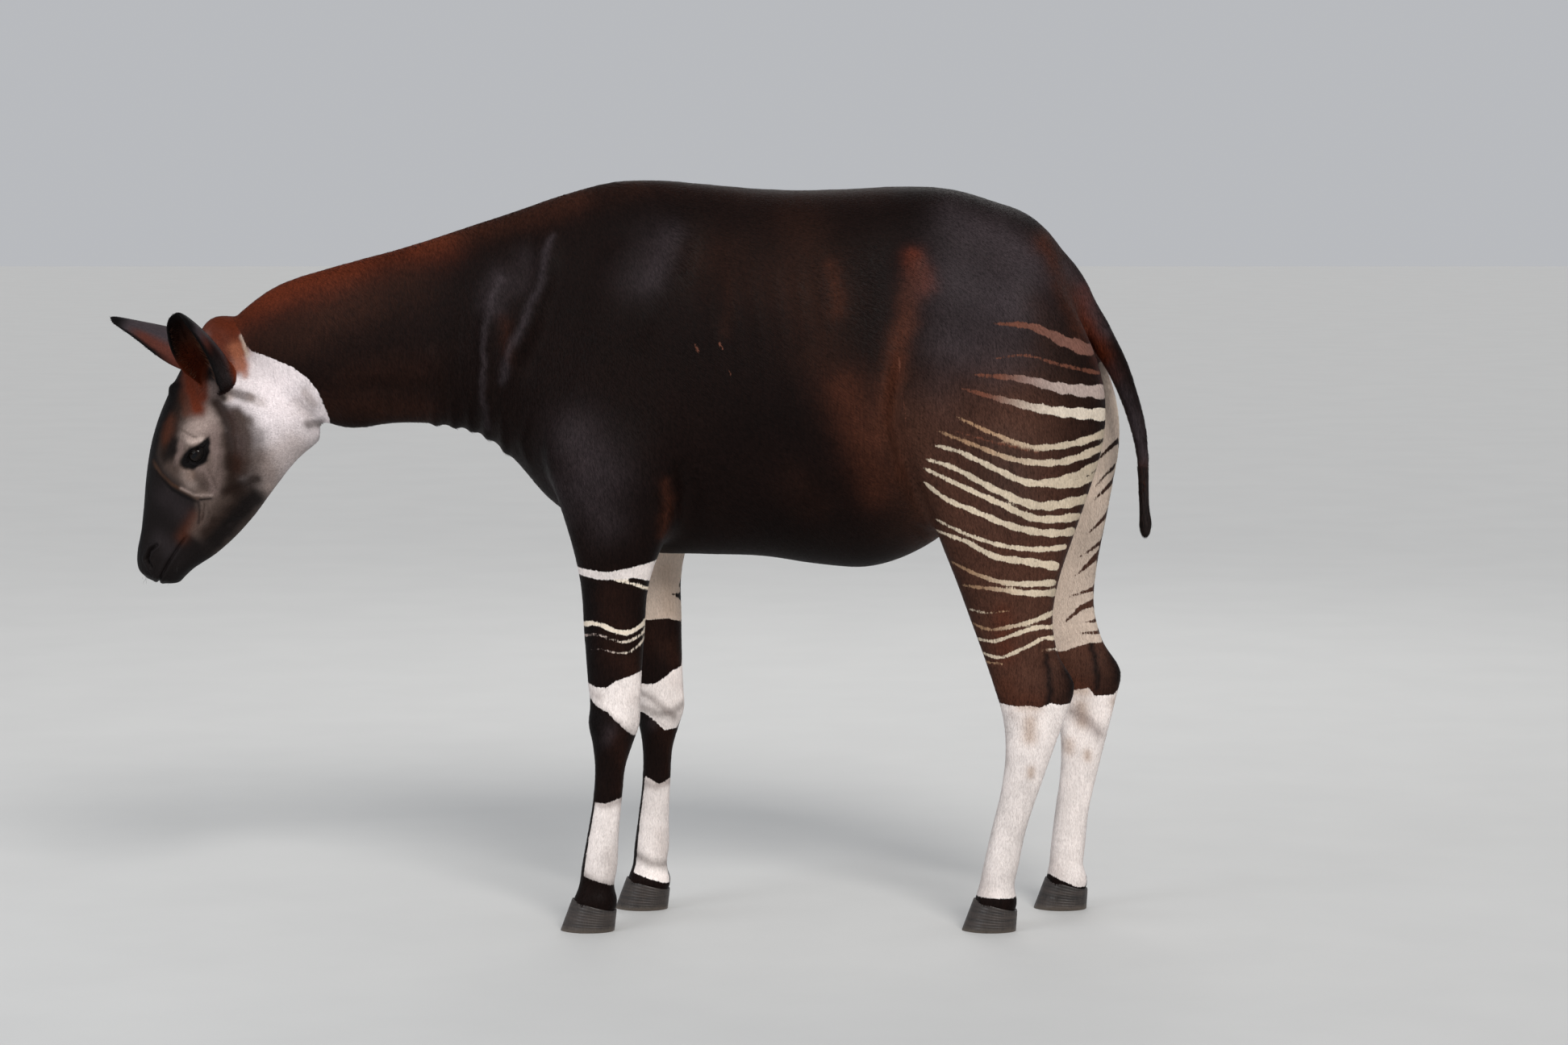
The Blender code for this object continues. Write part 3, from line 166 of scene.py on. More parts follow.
# How far the skin lies under the coat's outer surface: on the body, and on the head and the feet.
COAT_DEPTH = 0.0022
HEAD_COAT_DEPTH = 0.0008
THIN_COAT_FRONT = -0.98
THIN_COAT_TOP = 0.3

EYE_CENTRE = (-1.166, -0.072, 0.953)
EYE_RADIUS = 0.0225
EYE_OUTWARD = (-0.22, -0.95, -0.14)
EYE_CORNERS = (0.72, 0.0, 0.69)
LID_HALF_LENGTH = 0.0205
LID_HALF_HEIGHT = 0.0120
LID_THICKNESS = 0.0028
SOCKET_DEPTH = 0.0045
LID_EDGE = 0.0008
LID_REACH = 0.046
LID_FADE = 0.02
LID_SLACK = 0.004
# The eyeball: how far the cornea stands out and how loosely it sits, as shares of the radius, and the pupil's
# half length and half height.
CORNEA_RISE = 0.055
EYE_PLAY = 0.995
PUPIL = (0.34, 0.17)
# Of each eye's lashes: 1 for the upper and -1 for the lower lid, how many, how long.
LASHES = ((1, 90, 0.019), (-1, 40, 0.007))

# Swellings, alike on both sides: place (x, z) in the side view, reach (x, z), height.
SWELLINGS = (
    ("hip_bone", (0.262, 1.338), (0.034, 0.036), 0.011),
    ("hip_bone_foot", (0.283, 1.27), (0.034, 0.04), 0.005),
    ("hollow_before_hip", (0.2, 1.27), (0.05, 0.09), -0.012),
    ("hollow_behind_hip", (0.39, 1.33), (0.07, 0.06), -0.006),
    ("rump_muscle", (0.47, 1.3), (0.07, 0.09), 0.01),
    ("thigh_muscle", (0.47, 1.02), (0.09, 0.13), 0.01),
    ("stifle_muscle", (0.305, 0.9), (0.04, 0.07), 0.008),
    ("triceps", (-0.335, 0.93), (0.085, 0.08), 0.014),
    ("shoulder_point", (-0.445, 0.96), (0.04, 0.06), 0.01),
    ("elbow", (-0.245, 0.82), (0.022, 0.04), 0.008),
    ("forearm_muscle", (-0.345, 0.77), (0.05, 0.06), 0.006),
    ("scapula_corner", (-0.22, 1.375), (0.035, 0.05), 0.01),
    ("hollow_behind_scapula", (-0.16, 1.33), (0.04, 0.08), -0.007),
    ("belly_side", (0.17, 0.95), (0.09, 0.14), 0.012),
    ("cheek_muscle", (-1.035, 0.965), (0.05, 0.07), 0.007),
    ("brow_bone", (-1.188, 0.992), (0.02, 0.026), 0.006),
    ("temple", (-1.12, 1.01), (0.026, 0.03), -0.004),
    ("under_eye", (-1.165, 0.905), (0.03, 0.022), 0.003),
    ("nose_side", (-1.215, 0.83), (0.035, 0.04), -0.004),
    ("nostril_wing", (-1.272, 0.745), (0.018, 0.018), 0.005),
    ("chin", (-1.205, 0.72), (0.02, 0.018), 0.003),
    ("hock_side", (0.5, 0.46), (0.04, 0.03), 0.003),
    ("knee_side", (-0.338, 0.415), (0.035, 0.03), 0.002),
)
# Ridges (height over 0) and grooves (under 0) along lines of the side view: points (x, z), half breadth,
# height.
LINES = (
    ("scapula_edge", ((-0.237, 1.435), (-0.212, 1.375), (-0.249, 1.296), (-0.3, 1.15)), 0.034, 0.007),
    ("shoulder_groove", ((-0.455, 1.33), (-0.48, 1.2), (-0.52, 1.08)), 0.026, -0.008),
    (
        "neck_fold_rear",
        ((-0.458, 1.41), (-0.464, 1.34), (-0.493, 1.226), (-0.538, 1.138), (-0.556, 1.06)), 0.018, 0.01,
    ),
    (
        "neck_fold_front",
        ((-0.515, 1.31), (-0.57, 1.29), (-0.592, 1.226), (-0.595, 1.15), (-0.599, 1.066), (-0.585, 0.985)),
        0.016, 0.008,
    ),
    ("neck_fold_inner", ((-0.52, 1.248), (-0.543, 1.182), (-0.556, 1.12)), 0.01, 0.005),
    ("neck_fold_upper", ((-0.708, 1.182), (-0.692, 1.121), (-0.684, 1.05), (-0.682, 1.005)), 0.01, 0.005),
    ("throat_groove", ((-0.9, 1.075), (-0.78, 1.08), (-0.66, 1.07)), 0.022, -0.004),
    (
        "flank_groove",
        ((0.238, 1.17), (0.222, 1.1), (0.218, 1.029), (0.234, 0.96), (0.262, 0.88), (0.298, 0.8)), 0.014,
        -0.013,
    ),
    ("flank_fold", ((0.205, 1.15), (0.19, 1.08), (0.186, 1.02), (0.2, 0.94), (0.235, 0.85)), 0.018, 0.008),
    ("armpit_groove", ((-0.206, 0.965), (-0.19, 0.89), (-0.196, 0.8)), 0.016, -0.01),
    ("hamstring_groove", ((0.56, 1.12), (0.57, 1.0), (0.535, 0.86), (0.49, 0.74)), 0.018, -0.004),
    ("tendon_groove", ((0.505, 0.64), (0.519, 0.59), (0.521, 0.54), (0.526, 0.485)), 0.012, -0.006),
    ("forearm_groove", ((-0.315, 0.7), (-0.322, 0.6), (-0.318, 0.5)), 0.012, -0.003),
    (
        "face_ridge", ((-1.252, 0.932), (-1.217, 0.892), (-1.189, 0.877), (-1.162, 0.866), (-1.14, 0.868)),
        0.006, 0.0036,
    ),
    ("face_step", ((-1.256, 0.918), (-1.222, 0.879), (-1.193, 0.864), (-1.166, 0.854)), 0.006, -0.003),
    ("cheek_wrinkle", ((-1.166, 0.862), (-1.157, 0.828), (-1.172, 0.798)), 0.0035, -0.0024),
    ("jaw_fold", ((-1.125, 0.8), (-1.108, 0.81), (-1.078, 0.816)), 0.006, -0.004),
    ("jaw_edge", ((-0.96, 1.11), (-0.915, 1.062), (-0.898, 1.024), (-0.905, 0.992)), 0.018, -0.005),
    ("lid_fold", ((-1.206, 0.952), (-1.188, 0.984), (-1.154, 1.001)), 0.0034, -0.002),
)
# Finer folds that only the skin has.
FINE_LINES = (
    ("upper_lid_fold", ((-1.203, 0.962), (-1.19, 0.992), (-1.158, 1.01), (-1.132, 1.0)), 0.003, -0.0016),
    ("lower_lid_fold", ((-1.186, 0.931), (-1.16, 0.94), (-1.138, 0.962)), 0.0026, -0.0012),
    ("under_lid_fold", ((-1.19, 0.92), (-1.162, 0.926), (-1.134, 0.944)), 0.0026, -0.0009),
    ("brow_wrinkle", ((-1.196, 1.01), (-1.176, 1.024), (-1.15, 1.028)), 0.003, -0.001),
    ("cheek_wrinkle_rear", ((-1.15, 0.856), (-1.146, 0.83), (-1.158, 0.806)), 0.003, -0.0012),
    ("cheek_vein", ((-1.12, 0.99), (-1.128, 0.93), (-1.142, 0.88)), 0.004, 0.0012),
    ("neck_crease_a", ((-0.64, 1.27), (-0.648, 1.18), (-0.65, 1.09), (-0.64, 1.01)), 0.007, -0.0022),
    ("neck_crease_b", ((-0.745, 1.15), (-0.74, 1.09), (-0.735, 1.02)), 0.006, -0.0018),
    ("neck_crease_c", ((-0.818, 1.11), (-0.806, 1.06), (-0.8, 1.015)), 0.006, -0.0016),
    ("neck_crease_d", ((-0.54, 1.4), (-0.55, 1.33), (-0.566, 1.3)), 0.005, 0.0022),
    ("neck_crease_e", ((-0.5, 1.42), (-0.505, 1.35), (-0.525, 1.27)), 0.006, -0.0022),
    ("breast_fold_a", ((-0.5, 1.06), (-0.52, 0.98), (-0.505, 0.905)), 0.01, 0.004),
    ("breast_fold_b", ((-0.47, 1.03), (-0.478, 0.95), (-0.46, 0.88)), 0.008, -0.003),
    ("elbow_fold", ((-0.25, 0.9), (-0.236, 0.85), (-0.246, 0.79)), 0.006, -0.0036),
    ("elbow_fold_rear", ((-0.222, 0.88), (-0.214, 0.83), (-0.222, 0.79)), 0.005, -0.0026),
    ("knee_fold", ((-0.3, 0.44), (-0.292, 0.425), (-0.296, 0.405)), 0.004, -0.0014),
    ("shin_tendon", ((-0.33, 0.36), (-0.338, 0.28), (-0.35, 0.18)), 0.006, -0.0018),
    ("heel_tendon", ((0.515, 0.42), (0.5, 0.32), (0.472, 0.19)), 0.006, -0.002),
    ("hock_point_fold", ((0.528, 0.56), (0.54, 0.52), (0.548, 0.47)), 0.006, -0.0016),
    ("stifle_fold", ((0.25, 0.82), (0.29, 0.79), (0.32, 0.745)), 0.008, -0.003),
    ("rump_line", ((0.5, 1.38), (0.52, 1.3), (0.54, 1.22)), 0.014, -0.003),
)
# Over how much of a line's length its rise fades at each end, and the share left there.
LINE_FADE = 0.3
LINE_END = 0.1
THROAT_FOLD_TOP = 1.1
THROAT_FOLDS = (-0.7, -0.662, -0.628, -0.596, -0.56)
THROAT_FOLD_HEIGHT = 0.005
THROAT_FOLD_HALF_BREADTH = 0.009
RIBS = (-0.15, -0.105, -0.06, -0.015, 0.03, 0.075)
RIB_LEVEL = 1.24
RIB_LEAN = 0.12
RIB_HALF_BREADTH = 0.014
RIB_HALF_LENGTH = 0.10
RIB_HEIGHT = 0.0022
KNOBS = ((-1.219, 0.03, 1.078), (-1.219, -0.03, 1.078))
KNOB_REACH = 0.014
KNOB_HEIGHT = 0.009
MOUTH = ((-1.262, 0.68), (-1.25, 0.7), (-1.232, 0.732), (-1.212, 0.762), (-1.192, 0.788))
NOSTRIL = ((-1.268, 0.722), (-1.276, 0.738), (-1.27, 0.756), (-1.256, 0.766))
MOUTH_DEPTH = 0.0046
MOUTH_HALF_WIDTH = 0.0024
LIP_RISE = 0.0018
LIP_OFFSET = 0.0065
LIP_HALF_WIDTH = 0.005
NOSTRIL_DEPTH = 0.0095
NOSTRIL_HALF_WIDTH = 0.0030
NOSTRIL_RIM_RISE = 0.0022
NOSTRIL_RIM_OFFSET = 0.0062
NOSTRIL_RIM_HALF_WIDTH = 0.0035

# Each ear: root, tip, the way its cup opens, and how much more tightly its outer part is rolled.
EARS = {
    "ear_left": ((-1.124, -0.046, 1.098), (-1.186, -0.262, 1.219), (-0.45, -0.55, -0.7), 0.0),
    "ear_right": ((-1.116, 0.046, 1.125), (-1.372, 0.13, 1.192), (-0.1, 0.1, -0.98), 0.35),
}
# Along each ear, from root to tip: place, radius of the cup, half of its opening angle in degrees, thickness.
EAR_SHAPE = (
    (0.0, 0.034, 152, 0.006), (0.12, 0.04, 140, 0.0055), (0.25, 0.045, 124, 0.0045),
    (0.42, 0.048, 108, 0.004), (0.6, 0.046, 97, 0.0036), (0.76, 0.039, 90, 0.0034),
    (0.88, 0.03, 86, 0.0032), (0.96, 0.019, 84, 0.003), (1.0, 0.009, 80, 0.0028),
)
# Which way round the left ear its front edge lies.
EAR_FRONT = 1.0
EAR_POINTS = 35
EAR_TIP_START = 0.97
EAR_TIP_REACH = 0.031
EAR_SLENDER = (0.35, 0.95)
EAR_LEAST_RADIUS = 0.003
EAR_LIFT = 0.7
EAR_WAVE = 0.0006
EAR_STRANDS = 900
# Within these distances of an ear's own form, a point of the united skin is on the ear, or at its join.
EAR_TOUCH = 0.0032
EAR_JOIN = 0.012
EAR_JOIN_ROUNDS = 12
EAR_EVEN_ROUNDS = 2
EAR_RINGS = 60

# The tail's middle line in the side view and its radius, from the root to the end of the flesh.
TAIL = (
    (0.5, 1.352, 0.04), (0.54, 1.322, 0.04), (0.574, 1.284, 0.037), (0.602, 1.234, 0.033),
    (0.636, 1.178, 0.028), (0.668, 1.121, 0.024), (0.69, 1.067, 0.0205), (0.708, 1.01, 0.018),
    (0.718, 0.96, 0.015), (0.722, 0.9, 0.0122), (0.724, 0.84, 0.0104), (0.727, 0.815, 0.008),
)

# The tuft at its end: height and radius, from the lowest hairs up.
TAIL_TUFT = ((0.774, 0.004), (0.785, 0.01), (0.8, 0.0134), (0.814, 0.0126), (0.836, 0.0106), (0.93, 0.0136))

TAIL_STRANDS = 2600
TAIL_STRAND_TOP = 0.812
TAIL_STRAND_SPREAD = 0.11
TAIL_STRAND_END = 0.798
WHISKERS_ON_SIDE = 46
WHISKER_HEIGHTS = (0.692, 0.775)
WHISKER_LENGTHS = (0.01, 0.026)
# The muzzle's middle x and its half width, each after the heights that they are read at.
WHISKER_MIDDLES = ((0.69, 0.74, 0.79), (-1.262, -1.246, -1.226))
WHISKER_HALF_WIDTHS = ((0.69, 0.72, 0.79), (0.03, 0.04, 0.048))

# Each hoof, front to rear in the side view: sole, then crown of the hoof with its height at both ends.
FORE_HOOF = {"sole": (-0.447, -0.339), "crown": (-0.4235, -0.3345), "crown_height": (0.064, 0.04)}
HIND_HOOF = {"sole": (0.356, 0.464), "crown": (0.3795, 0.4665), "crown_height": (0.064, 0.04)}
HOOF_MIDDLE = 0.120
CLAW_WIDTH = 0.0400
CLEFT = 0.003
CLAW_POINTS = 72
CLAW_RING_RISE = 0.008
# Levels of the rings of the rounded lower edge, and levels with how wide the claw is there.
CLAW_FOOT = (0.0, 0.0, 0.012, 0.035, 0.07, 0.12)
CLAW_SWELLS = ((0.0, 0.12, 0.5, 0.85, 1.0), (1.0, 1.03, 1.0, 0.985, 0.97))
# The lowest x and y of the left fore hoof's outer half, where it was measured.
HOOF_CORNER = (-0.447, -0.1627)

# Colours of the coat, linear.
COLOURS = {
    "chocolate": (0.0062, 0.0027, 0.0021),
    "black": (0.0036, 0.0027, 0.0028),
    "soot": (0.0074, 0.0055, 0.0054),
    "umber": (0.015, 0.0078, 0.0056),
    "brown": (0.026, 0.0095, 0.0056),
    "warm_brown": (0.064, 0.0185, 0.009),
    "thigh": (0.078, 0.033, 0.0215),
    "rust": (0.105, 0.02, 0.0072),
    "orange": (0.105, 0.019, 0.0065),
    "apricot": (0.34, 0.115, 0.06),
    # The blue-grey sheen of glossy dark hair, painted into the coat's colour as a painted highlight.
    "slate_sheen": (0.048, 0.037, 0.041),
    "cream": (0.64, 0.535, 0.405),
    "ivory": (0.8, 0.7, 0.58),
    "white": (0.8, 0.73, 0.7),
    "cheek": (0.74, 0.67, 0.68),
    "pink_grey": (0.48, 0.38, 0.34),
    "thigh_inside": (0.58, 0.47, 0.39),
    "grey": (0.31, 0.24, 0.215),
    "mole": (0.18, 0.13, 0.118),
    "taupe": (0.105, 0.076, 0.065),
    "mouse": (0.06, 0.041, 0.034),
    "tan": (0.34, 0.205, 0.12),
    "dull_tan": (0.07, 0.034, 0.02),
    "faint": (0.13, 0.048, 0.03),
    "rosy": (0.175, 0.082, 0.062),
}

# Soft colours of the dark coat: line in the side view, half breadth, how strong, colour. Next to the
# coat's own brown and reddish tones, the blue-grey marks are painted sheen, and some lines are painted
# highlights and shade of folds and grooves.
COAT_MARKS = (
    (((-1.14, 1.21), (-1.02, 1.262), (-0.94, 1.3), (-0.86, 1.33)), 0.052, 0.97, "rust"),
    (((-0.9, 1.318), (-0.78, 1.352), (-0.7, 1.378)), 0.046, 0.75, "rust"),
    (((-0.7, 1.38), (-0.56, 1.42), (-0.42, 1.462)), 0.034, 0.45, "warm_brown"),
    (((-1.05, 1.17), (-0.96, 1.2), (-0.86, 1.25), (-0.76, 1.29)), 0.06, 0.7, "brown"),
    (((-0.56, 1.425), (-0.44, 1.462), (-0.3, 1.495)), 0.034, 0.5, "brown"),
    (((-0.3, 1.495), (-0.2, 1.49), (0.0, 1.48), (0.2, 1.482)), 0.028, 0.45, "brown"),
    (((-0.93, 1.05), (-0.82, 1.04), (-0.72, 1.03)), 0.034, 0.6, "brown"),
    (((-0.86, 1.11), (-0.72, 1.12)), 0.04, 0.35, "brown"),
    (((-0.555, 1.22), (-0.542, 1.15)), 0.014, 0.22, "warm_brown"),
    # Painted sheen, blue-grey, on the neck's folds.
    (((-0.562, 1.3), (-0.59, 1.222), (-0.597, 1.11), (-0.594, 1.006)), 0.0065, 0.42, "slate_sheen"),
    (((-0.562, 1.296), (-0.578, 1.25)), 0.028, 0.38, "slate_sheen"),
    (
        ((-0.464, 1.382), (-0.478, 1.302), (-0.503, 1.238), (-0.539, 1.166), (-0.559, 1.102)), 0.0085, 0.5,
        "slate_sheen",
    ),
    (((-0.51, 1.34), (-0.52, 1.29)), 0.026, 0.2, "slate_sheen"),
    # Painted sheen on the point of the shoulder and on the upper arm.
    (((-0.405, 0.985), (-0.36, 0.925)), 0.062, 0.4, "slate_sheen"),
    (((-0.4, 0.88), (-0.35, 0.83)), 0.046, 0.28, "slate_sheen"),
    (((-0.455, 0.9), (-0.43, 0.82)), 0.018, 0.25, "slate_sheen"),
    # Painted sheen along the scapula's edge.
    (((-0.22, 1.39), (-0.228, 1.35), (-0.262, 1.3)), 0.027, 0.42, "slate_sheen"),
    (((-0.255, 1.37), (-0.29, 1.3)), 0.044, 0.22, "slate_sheen"),
    # A painted highlight along the elbow's fold.
    (((-0.236, 0.9), (-0.226, 0.85), (-0.24, 0.8)), 0.012, 0.42, "warm_brown"),
    # Reddish hair on the hip bone and down the flank's fold, partly a painted highlight on both.
    (((0.255, 1.338), (0.276, 1.296)), 0.022, 0.9, "rust"),
    (((0.258, 1.35), (0.262, 1.31)), 0.01, 0.6, "rust"),
    (((0.262, 1.32), (0.232, 1.2), (0.205, 1.08), (0.19, 0.99)), 0.024, 0.75, "warm_brown"),
    (((-0.14, 1.34), (-0.06, 1.3), (0.04, 1.28)), 0.07, 0.4, "brown"),
    (((-0.105, 1.3), (-0.115, 1.2)), 0.012, 0.35, "brown"),
    (((0.03, 1.4), (0.08, 1.28), (0.07, 1.16)), 0.06, 0.5, "brown"),
    (((0.095, 1.33), (0.105, 1.24)), 0.016, 0.4, "warm_brown"),
    (((0.12, 1.08), (0.15, 1.0), (0.19, 0.9)), 0.046, 0.6, "warm_brown"),
    (((0.235, 1.0), (0.225, 0.92)), 0.02, 0.5, "warm_brown"),
    (((0.03, 0.9), (0.06, 0.86)), 0.04, 0.3, "brown"),
    # Painted sheen on the croup, the rump and the front of the thigh.
    (((0.34, 1.41), (0.42, 1.38), (0.5, 1.33)), 0.046, 0.6, "slate_sheen"),
    (((0.34, 1.3), (0.44, 1.26)), 0.08, 0.65, "slate_sheen"),
    (((0.33, 1.17), (0.43, 1.14)), 0.06, 0.55, "slate_sheen"),
    (((0.3, 1.08), (0.31, 1.03)), 0.04, 0.35, "slate_sheen"),
    (((0.52, 1.37), (0.56, 1.29), (0.59, 1.21)), 0.026, 0.7, "warm_brown"),
    (((0.5, 1.25), (0.52, 1.18)), 0.03, 0.4, "brown"),
    (((0.29, 1.0), (0.33, 0.88), (0.38, 0.76), (0.43, 0.64)), 0.095, 0.8, "thigh"),
    (((0.47, 1.02), (0.5, 0.86), (0.5, 0.7), (0.49, 0.56)), 0.105, 0.85, "thigh"),
    (((0.44, 0.96), (0.45, 0.88)), 0.06, 0.35, "mouse"),
    (((0.47, 0.54), (0.465, 0.5)), 0.05, 0.6, "thigh"),
    (((0.44, 0.5), (0.45, 0.468), (0.5, 0.464)), 0.022, 0.5, "warm_brown"),
    (((0.43, 0.64), (0.44, 0.56)), 0.022, 0.35, "rust"),
    (((0.57, 0.54), (0.576, 0.48)), 0.018, 0.85, "black"),
    # Painted shade in the groove beside the heel's tendon, at the hock.
    (((0.524, 0.552), (0.526, 0.465)), 0.007, 0.85, "black"),
    (((-0.34, 0.68), (-0.33, 0.56)), 0.04, 0.4, "brown"),
    (((-0.385, 0.7), (-0.385, 0.52)), 0.018, 0.6, "black"),
    (((-0.3, 0.54), (-0.295, 0.52)), 0.022, 0.6, "brown"),
    (((-0.38, 0.44), (-0.378, 0.38)), 0.022, 0.7, "black"),
    # Painted sheen on the knee.
    (((-0.345, 0.41), (-0.35, 0.39)), 0.014, 0.4, "slate_sheen"),
    (((-0.33, 0.395), (-0.31, 0.33), (-0.315, 0.29)), 0.02, 0.5, "brown"),
    (((0.596, 1.27), (0.61, 1.215), (0.632, 1.15), (0.652, 1.1)), 0.018, 0.8, "rust"),
    # Painted sheen down the tail.
    (((0.56, 1.32), (0.6, 1.27), (0.64, 1.19)), 0.02, 0.5, "slate_sheen"),
    (((0.65, 1.11), (0.676, 1.06), (0.7, 1.0)), 0.02, 0.55, "slate_sheen"),
    (((0.7, 1.01), (0.716, 0.96), (0.722, 0.925)), 0.018, 0.7, "slate_sheen"),
    (((0.722, 0.91), (0.724, 0.885)), 0.02, 0.45, "warm_brown"),
    (((0.727, 0.84), (0.728, 0.79)), 0.024, 0.85, "black"),
)

# Soft colours of the face, painted one over the other on a pale ground.
FACE_MARKS = (
    (((-1.02, 0.93), (-0.98, 0.96)), 0.034, 0.45, "pink_grey"),
    (((-1.046, 0.93), (-1.036, 0.9), (-1.052, 0.872)), 0.034, 0.85, "grey"),
    (((-1.03, 0.878), (-1.056, 0.856)), 0.012, 0.55, "pink_grey"),
    (((-1.192, 0.992), (-1.168, 1.006), (-1.14, 1.016)), 0.022, 0.98, "grey"),
    (((-1.18, 0.979), (-1.158, 0.982)), 0.007, 0.75, "pink_grey"),
    (((-1.15, 1.062), (-1.138, 1.04), (-1.136, 1.01)), 0.015, 0.8, "grey"),
    (((-1.132, 1.0), (-1.127, 0.96)), 0.014, 0.75, "mole"),
    (((-1.126, 0.95), (-1.128, 0.915), (-1.134, 0.88)), 0.014, 0.55, "mole"),
    (((-1.152, 1.078), (-1.13, 1.084), (-1.112, 1.072)), 0.015, 0.95, "grey"),
    (((-1.12, 1.068), (-1.104, 1.062)), 0.01, 0.6, "pink_grey"),
    (((-1.212, 1.075), (-1.218, 1.022), (-1.222, 0.984), (-1.226, 0.954)), 0.03, 0.97, "umber"),
    (((-1.226, 1.014), (-1.232, 0.984)), 0.016, 0.7, "warm_brown"),
    (((-1.211, 0.976), (-1.219, 0.957), (-1.23, 0.94)), 0.012, 0.85, "black"),
    (((-1.197, 0.975), (-1.205, 0.952), (-1.211, 0.934)), 0.0062, 0.7, "mole"),
    (
        ((-1.2, 1.13), (-1.236, 1.037), (-1.258, 0.984), (-1.268, 0.939), (-1.272, 0.9)), 0.018, 0.97,
        "black",
    ),
    (((-1.19, 1.15), (-1.183, 1.11), (-1.176, 1.072), (-1.168, 1.046)), 0.018, 0.98, "orange"),
    (((-1.16, 1.14), (-1.156, 1.1), (-1.156, 1.066)), 0.016, 0.95, "orange"),
    (((-1.196, 1.06), (-1.188, 1.035)), 0.01, 0.6, "warm_brown"),
    # Painted shade on the head within the foot of the ear's cup.
    (((-1.138, 1.112), (-1.124, 1.094), (-1.116, 1.078)), 0.015, 0.97, "black"),
    (((-1.119, 1.07), (-1.112, 1.062)), 0.006, 0.8, "black"),
    (((-1.136, 1.09), (-1.129, 1.07)), 0.009, 0.75, "mole"),
    (((-1.222, 0.925), (-1.2, 0.905), (-1.172, 0.895), (-1.152, 0.9)), 0.017, 0.85, "mouse"),
    (((-1.188, 0.922), (-1.18, 0.905)), 0.011, 0.85, "dull_tan"),
    (
        ((-1.125, 1.052), (-1.111, 1.03), (-1.101, 0.999), (-1.096, 0.965), (-1.094, 0.931)), 0.019, 0.97,
        "umber",
    ),
    (((-1.094, 0.931), (-1.096, 0.9), (-1.1, 0.88)), 0.022, 0.9, "umber"),
    (((-1.088, 1.03), (-1.076, 0.992), (-1.072, 0.965), (-1.078, 0.92)), 0.02, 0.92, "brown"),
    (((-1.07, 1.012), (-1.052, 0.988), (-1.052, 0.95), (-1.062, 0.91)), 0.022, 0.66, "mouse"),
    (((-1.114, 0.874), (-1.085, 0.888), (-1.054, 0.899)), 0.009, 0.75, "umber"),
    (((-1.083, 1.028), (-1.062, 1.018)), 0.01, 0.65, "mouse"),
    (((-1.102, 1.078), (-1.084, 1.068), (-1.06, 1.062)), 0.01, 0.8, "mouse"),
    (((-1.06, 1.062), (-1.04, 1.056)), 0.01, 0.35, "grey"),
    (((-1.072, 0.872), (-1.1, 0.845), (-1.125, 0.82), (-1.15, 0.79)), 0.027, 0.92, "umber"),
    (
        ((-1.057, 0.858), (-1.08, 0.835), (-1.111, 0.805), (-1.149, 0.76), (-1.19, 0.715)), 0.02, 0.95,
        "soot",
    ),
    (((-1.11, 0.858), (-1.136, 0.836)), 0.012, 0.55, "mouse"),
    (((-1.19, 1.222), (-1.151, 1.212), (-1.121, 1.195), (-1.094, 1.165)), 0.036, 0.98, "rust"),
    (((-1.13, 1.225), (-1.1, 1.205), (-1.085, 1.24)), 0.026, 0.98, "rust"),
    (((-1.134, 1.176), (-1.116, 1.148), (-1.1, 1.12)), 0.017, 0.92, "orange"),
    (((-1.102, 1.206), (-1.088, 1.18), (-1.078, 1.158)), 0.014, 0.92, "orange"),
    (((-1.09, 1.16), (-1.082, 1.14), (-1.083, 1.126)), 0.015, 0.85, "apricot"),
    (((-1.076, 1.136), (-1.074, 1.108)), 0.008, 0.6, "apricot"),
    (((-1.08, 1.186), (-1.073, 1.164), (-1.066, 1.146)), 0.004, 0.4, "ivory"),
    (((-0.955, 1.07), (-0.942, 1.052)), 0.01, 0.45, "grey"),
    (((-0.97, 1.05), (-0.95, 1.03)), 0.014, 0.3, "grey"),
    (((-0.948, 1.008), (-0.93, 1.012)), 0.01, 0.7, "mouse"),
    (((-1.161, 0.925), (-1.147, 0.909), (-1.134, 0.886)), 0.011, 0.6, "mole"),
    (((-1.156, 0.912), (-1.145, 0.882)), 0.0028, 0.6, "mouse"),
    (((-1.168, 0.902), (-1.15, 0.882)), 0.0026, 0.5, "mouse"),
    (((-1.145, 0.92), (-1.129, 0.886)), 0.0026, 0.5, "mouse"),
    (((-1.19, 0.914), (-1.184, 0.902), (-1.179, 0.892)), 0.013, 0.3, "pink_grey"),
    (((-1.201, 1.004), (-1.183, 0.997), (-1.165, 0.987)), 0.0024, 0.55, "mouse"),
)
# The duller front of the face, before the dark band on the cheek.
FACE_FRONT = (
    (-1.15, 1.15), (-1.125, 1.058), (-1.106, 1.0), (-1.096, 0.94), (-1.085, 0.89), (-1.05, 0.86),
    (-1.0, 0.8), (-1.0, 0.6), (-1.4, 0.6), (-1.4, 1.25), (-1.17, 1.25),
)
FACE_FRONT_SOFTNESS = 0.009
# The black muzzle: everything in front of and below this line of the side view.
MUZZLE = (
    (-1.33, 0.968), (-1.262, 0.955), (-1.248, 0.946), (-1.232, 0.92), (-1.213, 0.902), (-1.192, 0.886),
    (-1.174, 0.872), (-1.169, 0.855), (-1.171, 0.836), (-1.182, 0.815), (-1.19, 0.795), (-1.16, 0.77),
    (-1.16, 0.66), (-1.33, 0.66),
)
MUZZLE_SOFTNESS = 0.012
# How far the edges of soft marks wander, and the share of their breadth that is even.
COAT_WOBBLE = 0.005
FACE_WOBBLE = 0.0034
COAT_CORE = 0.0
FACE_CORE = 0.28
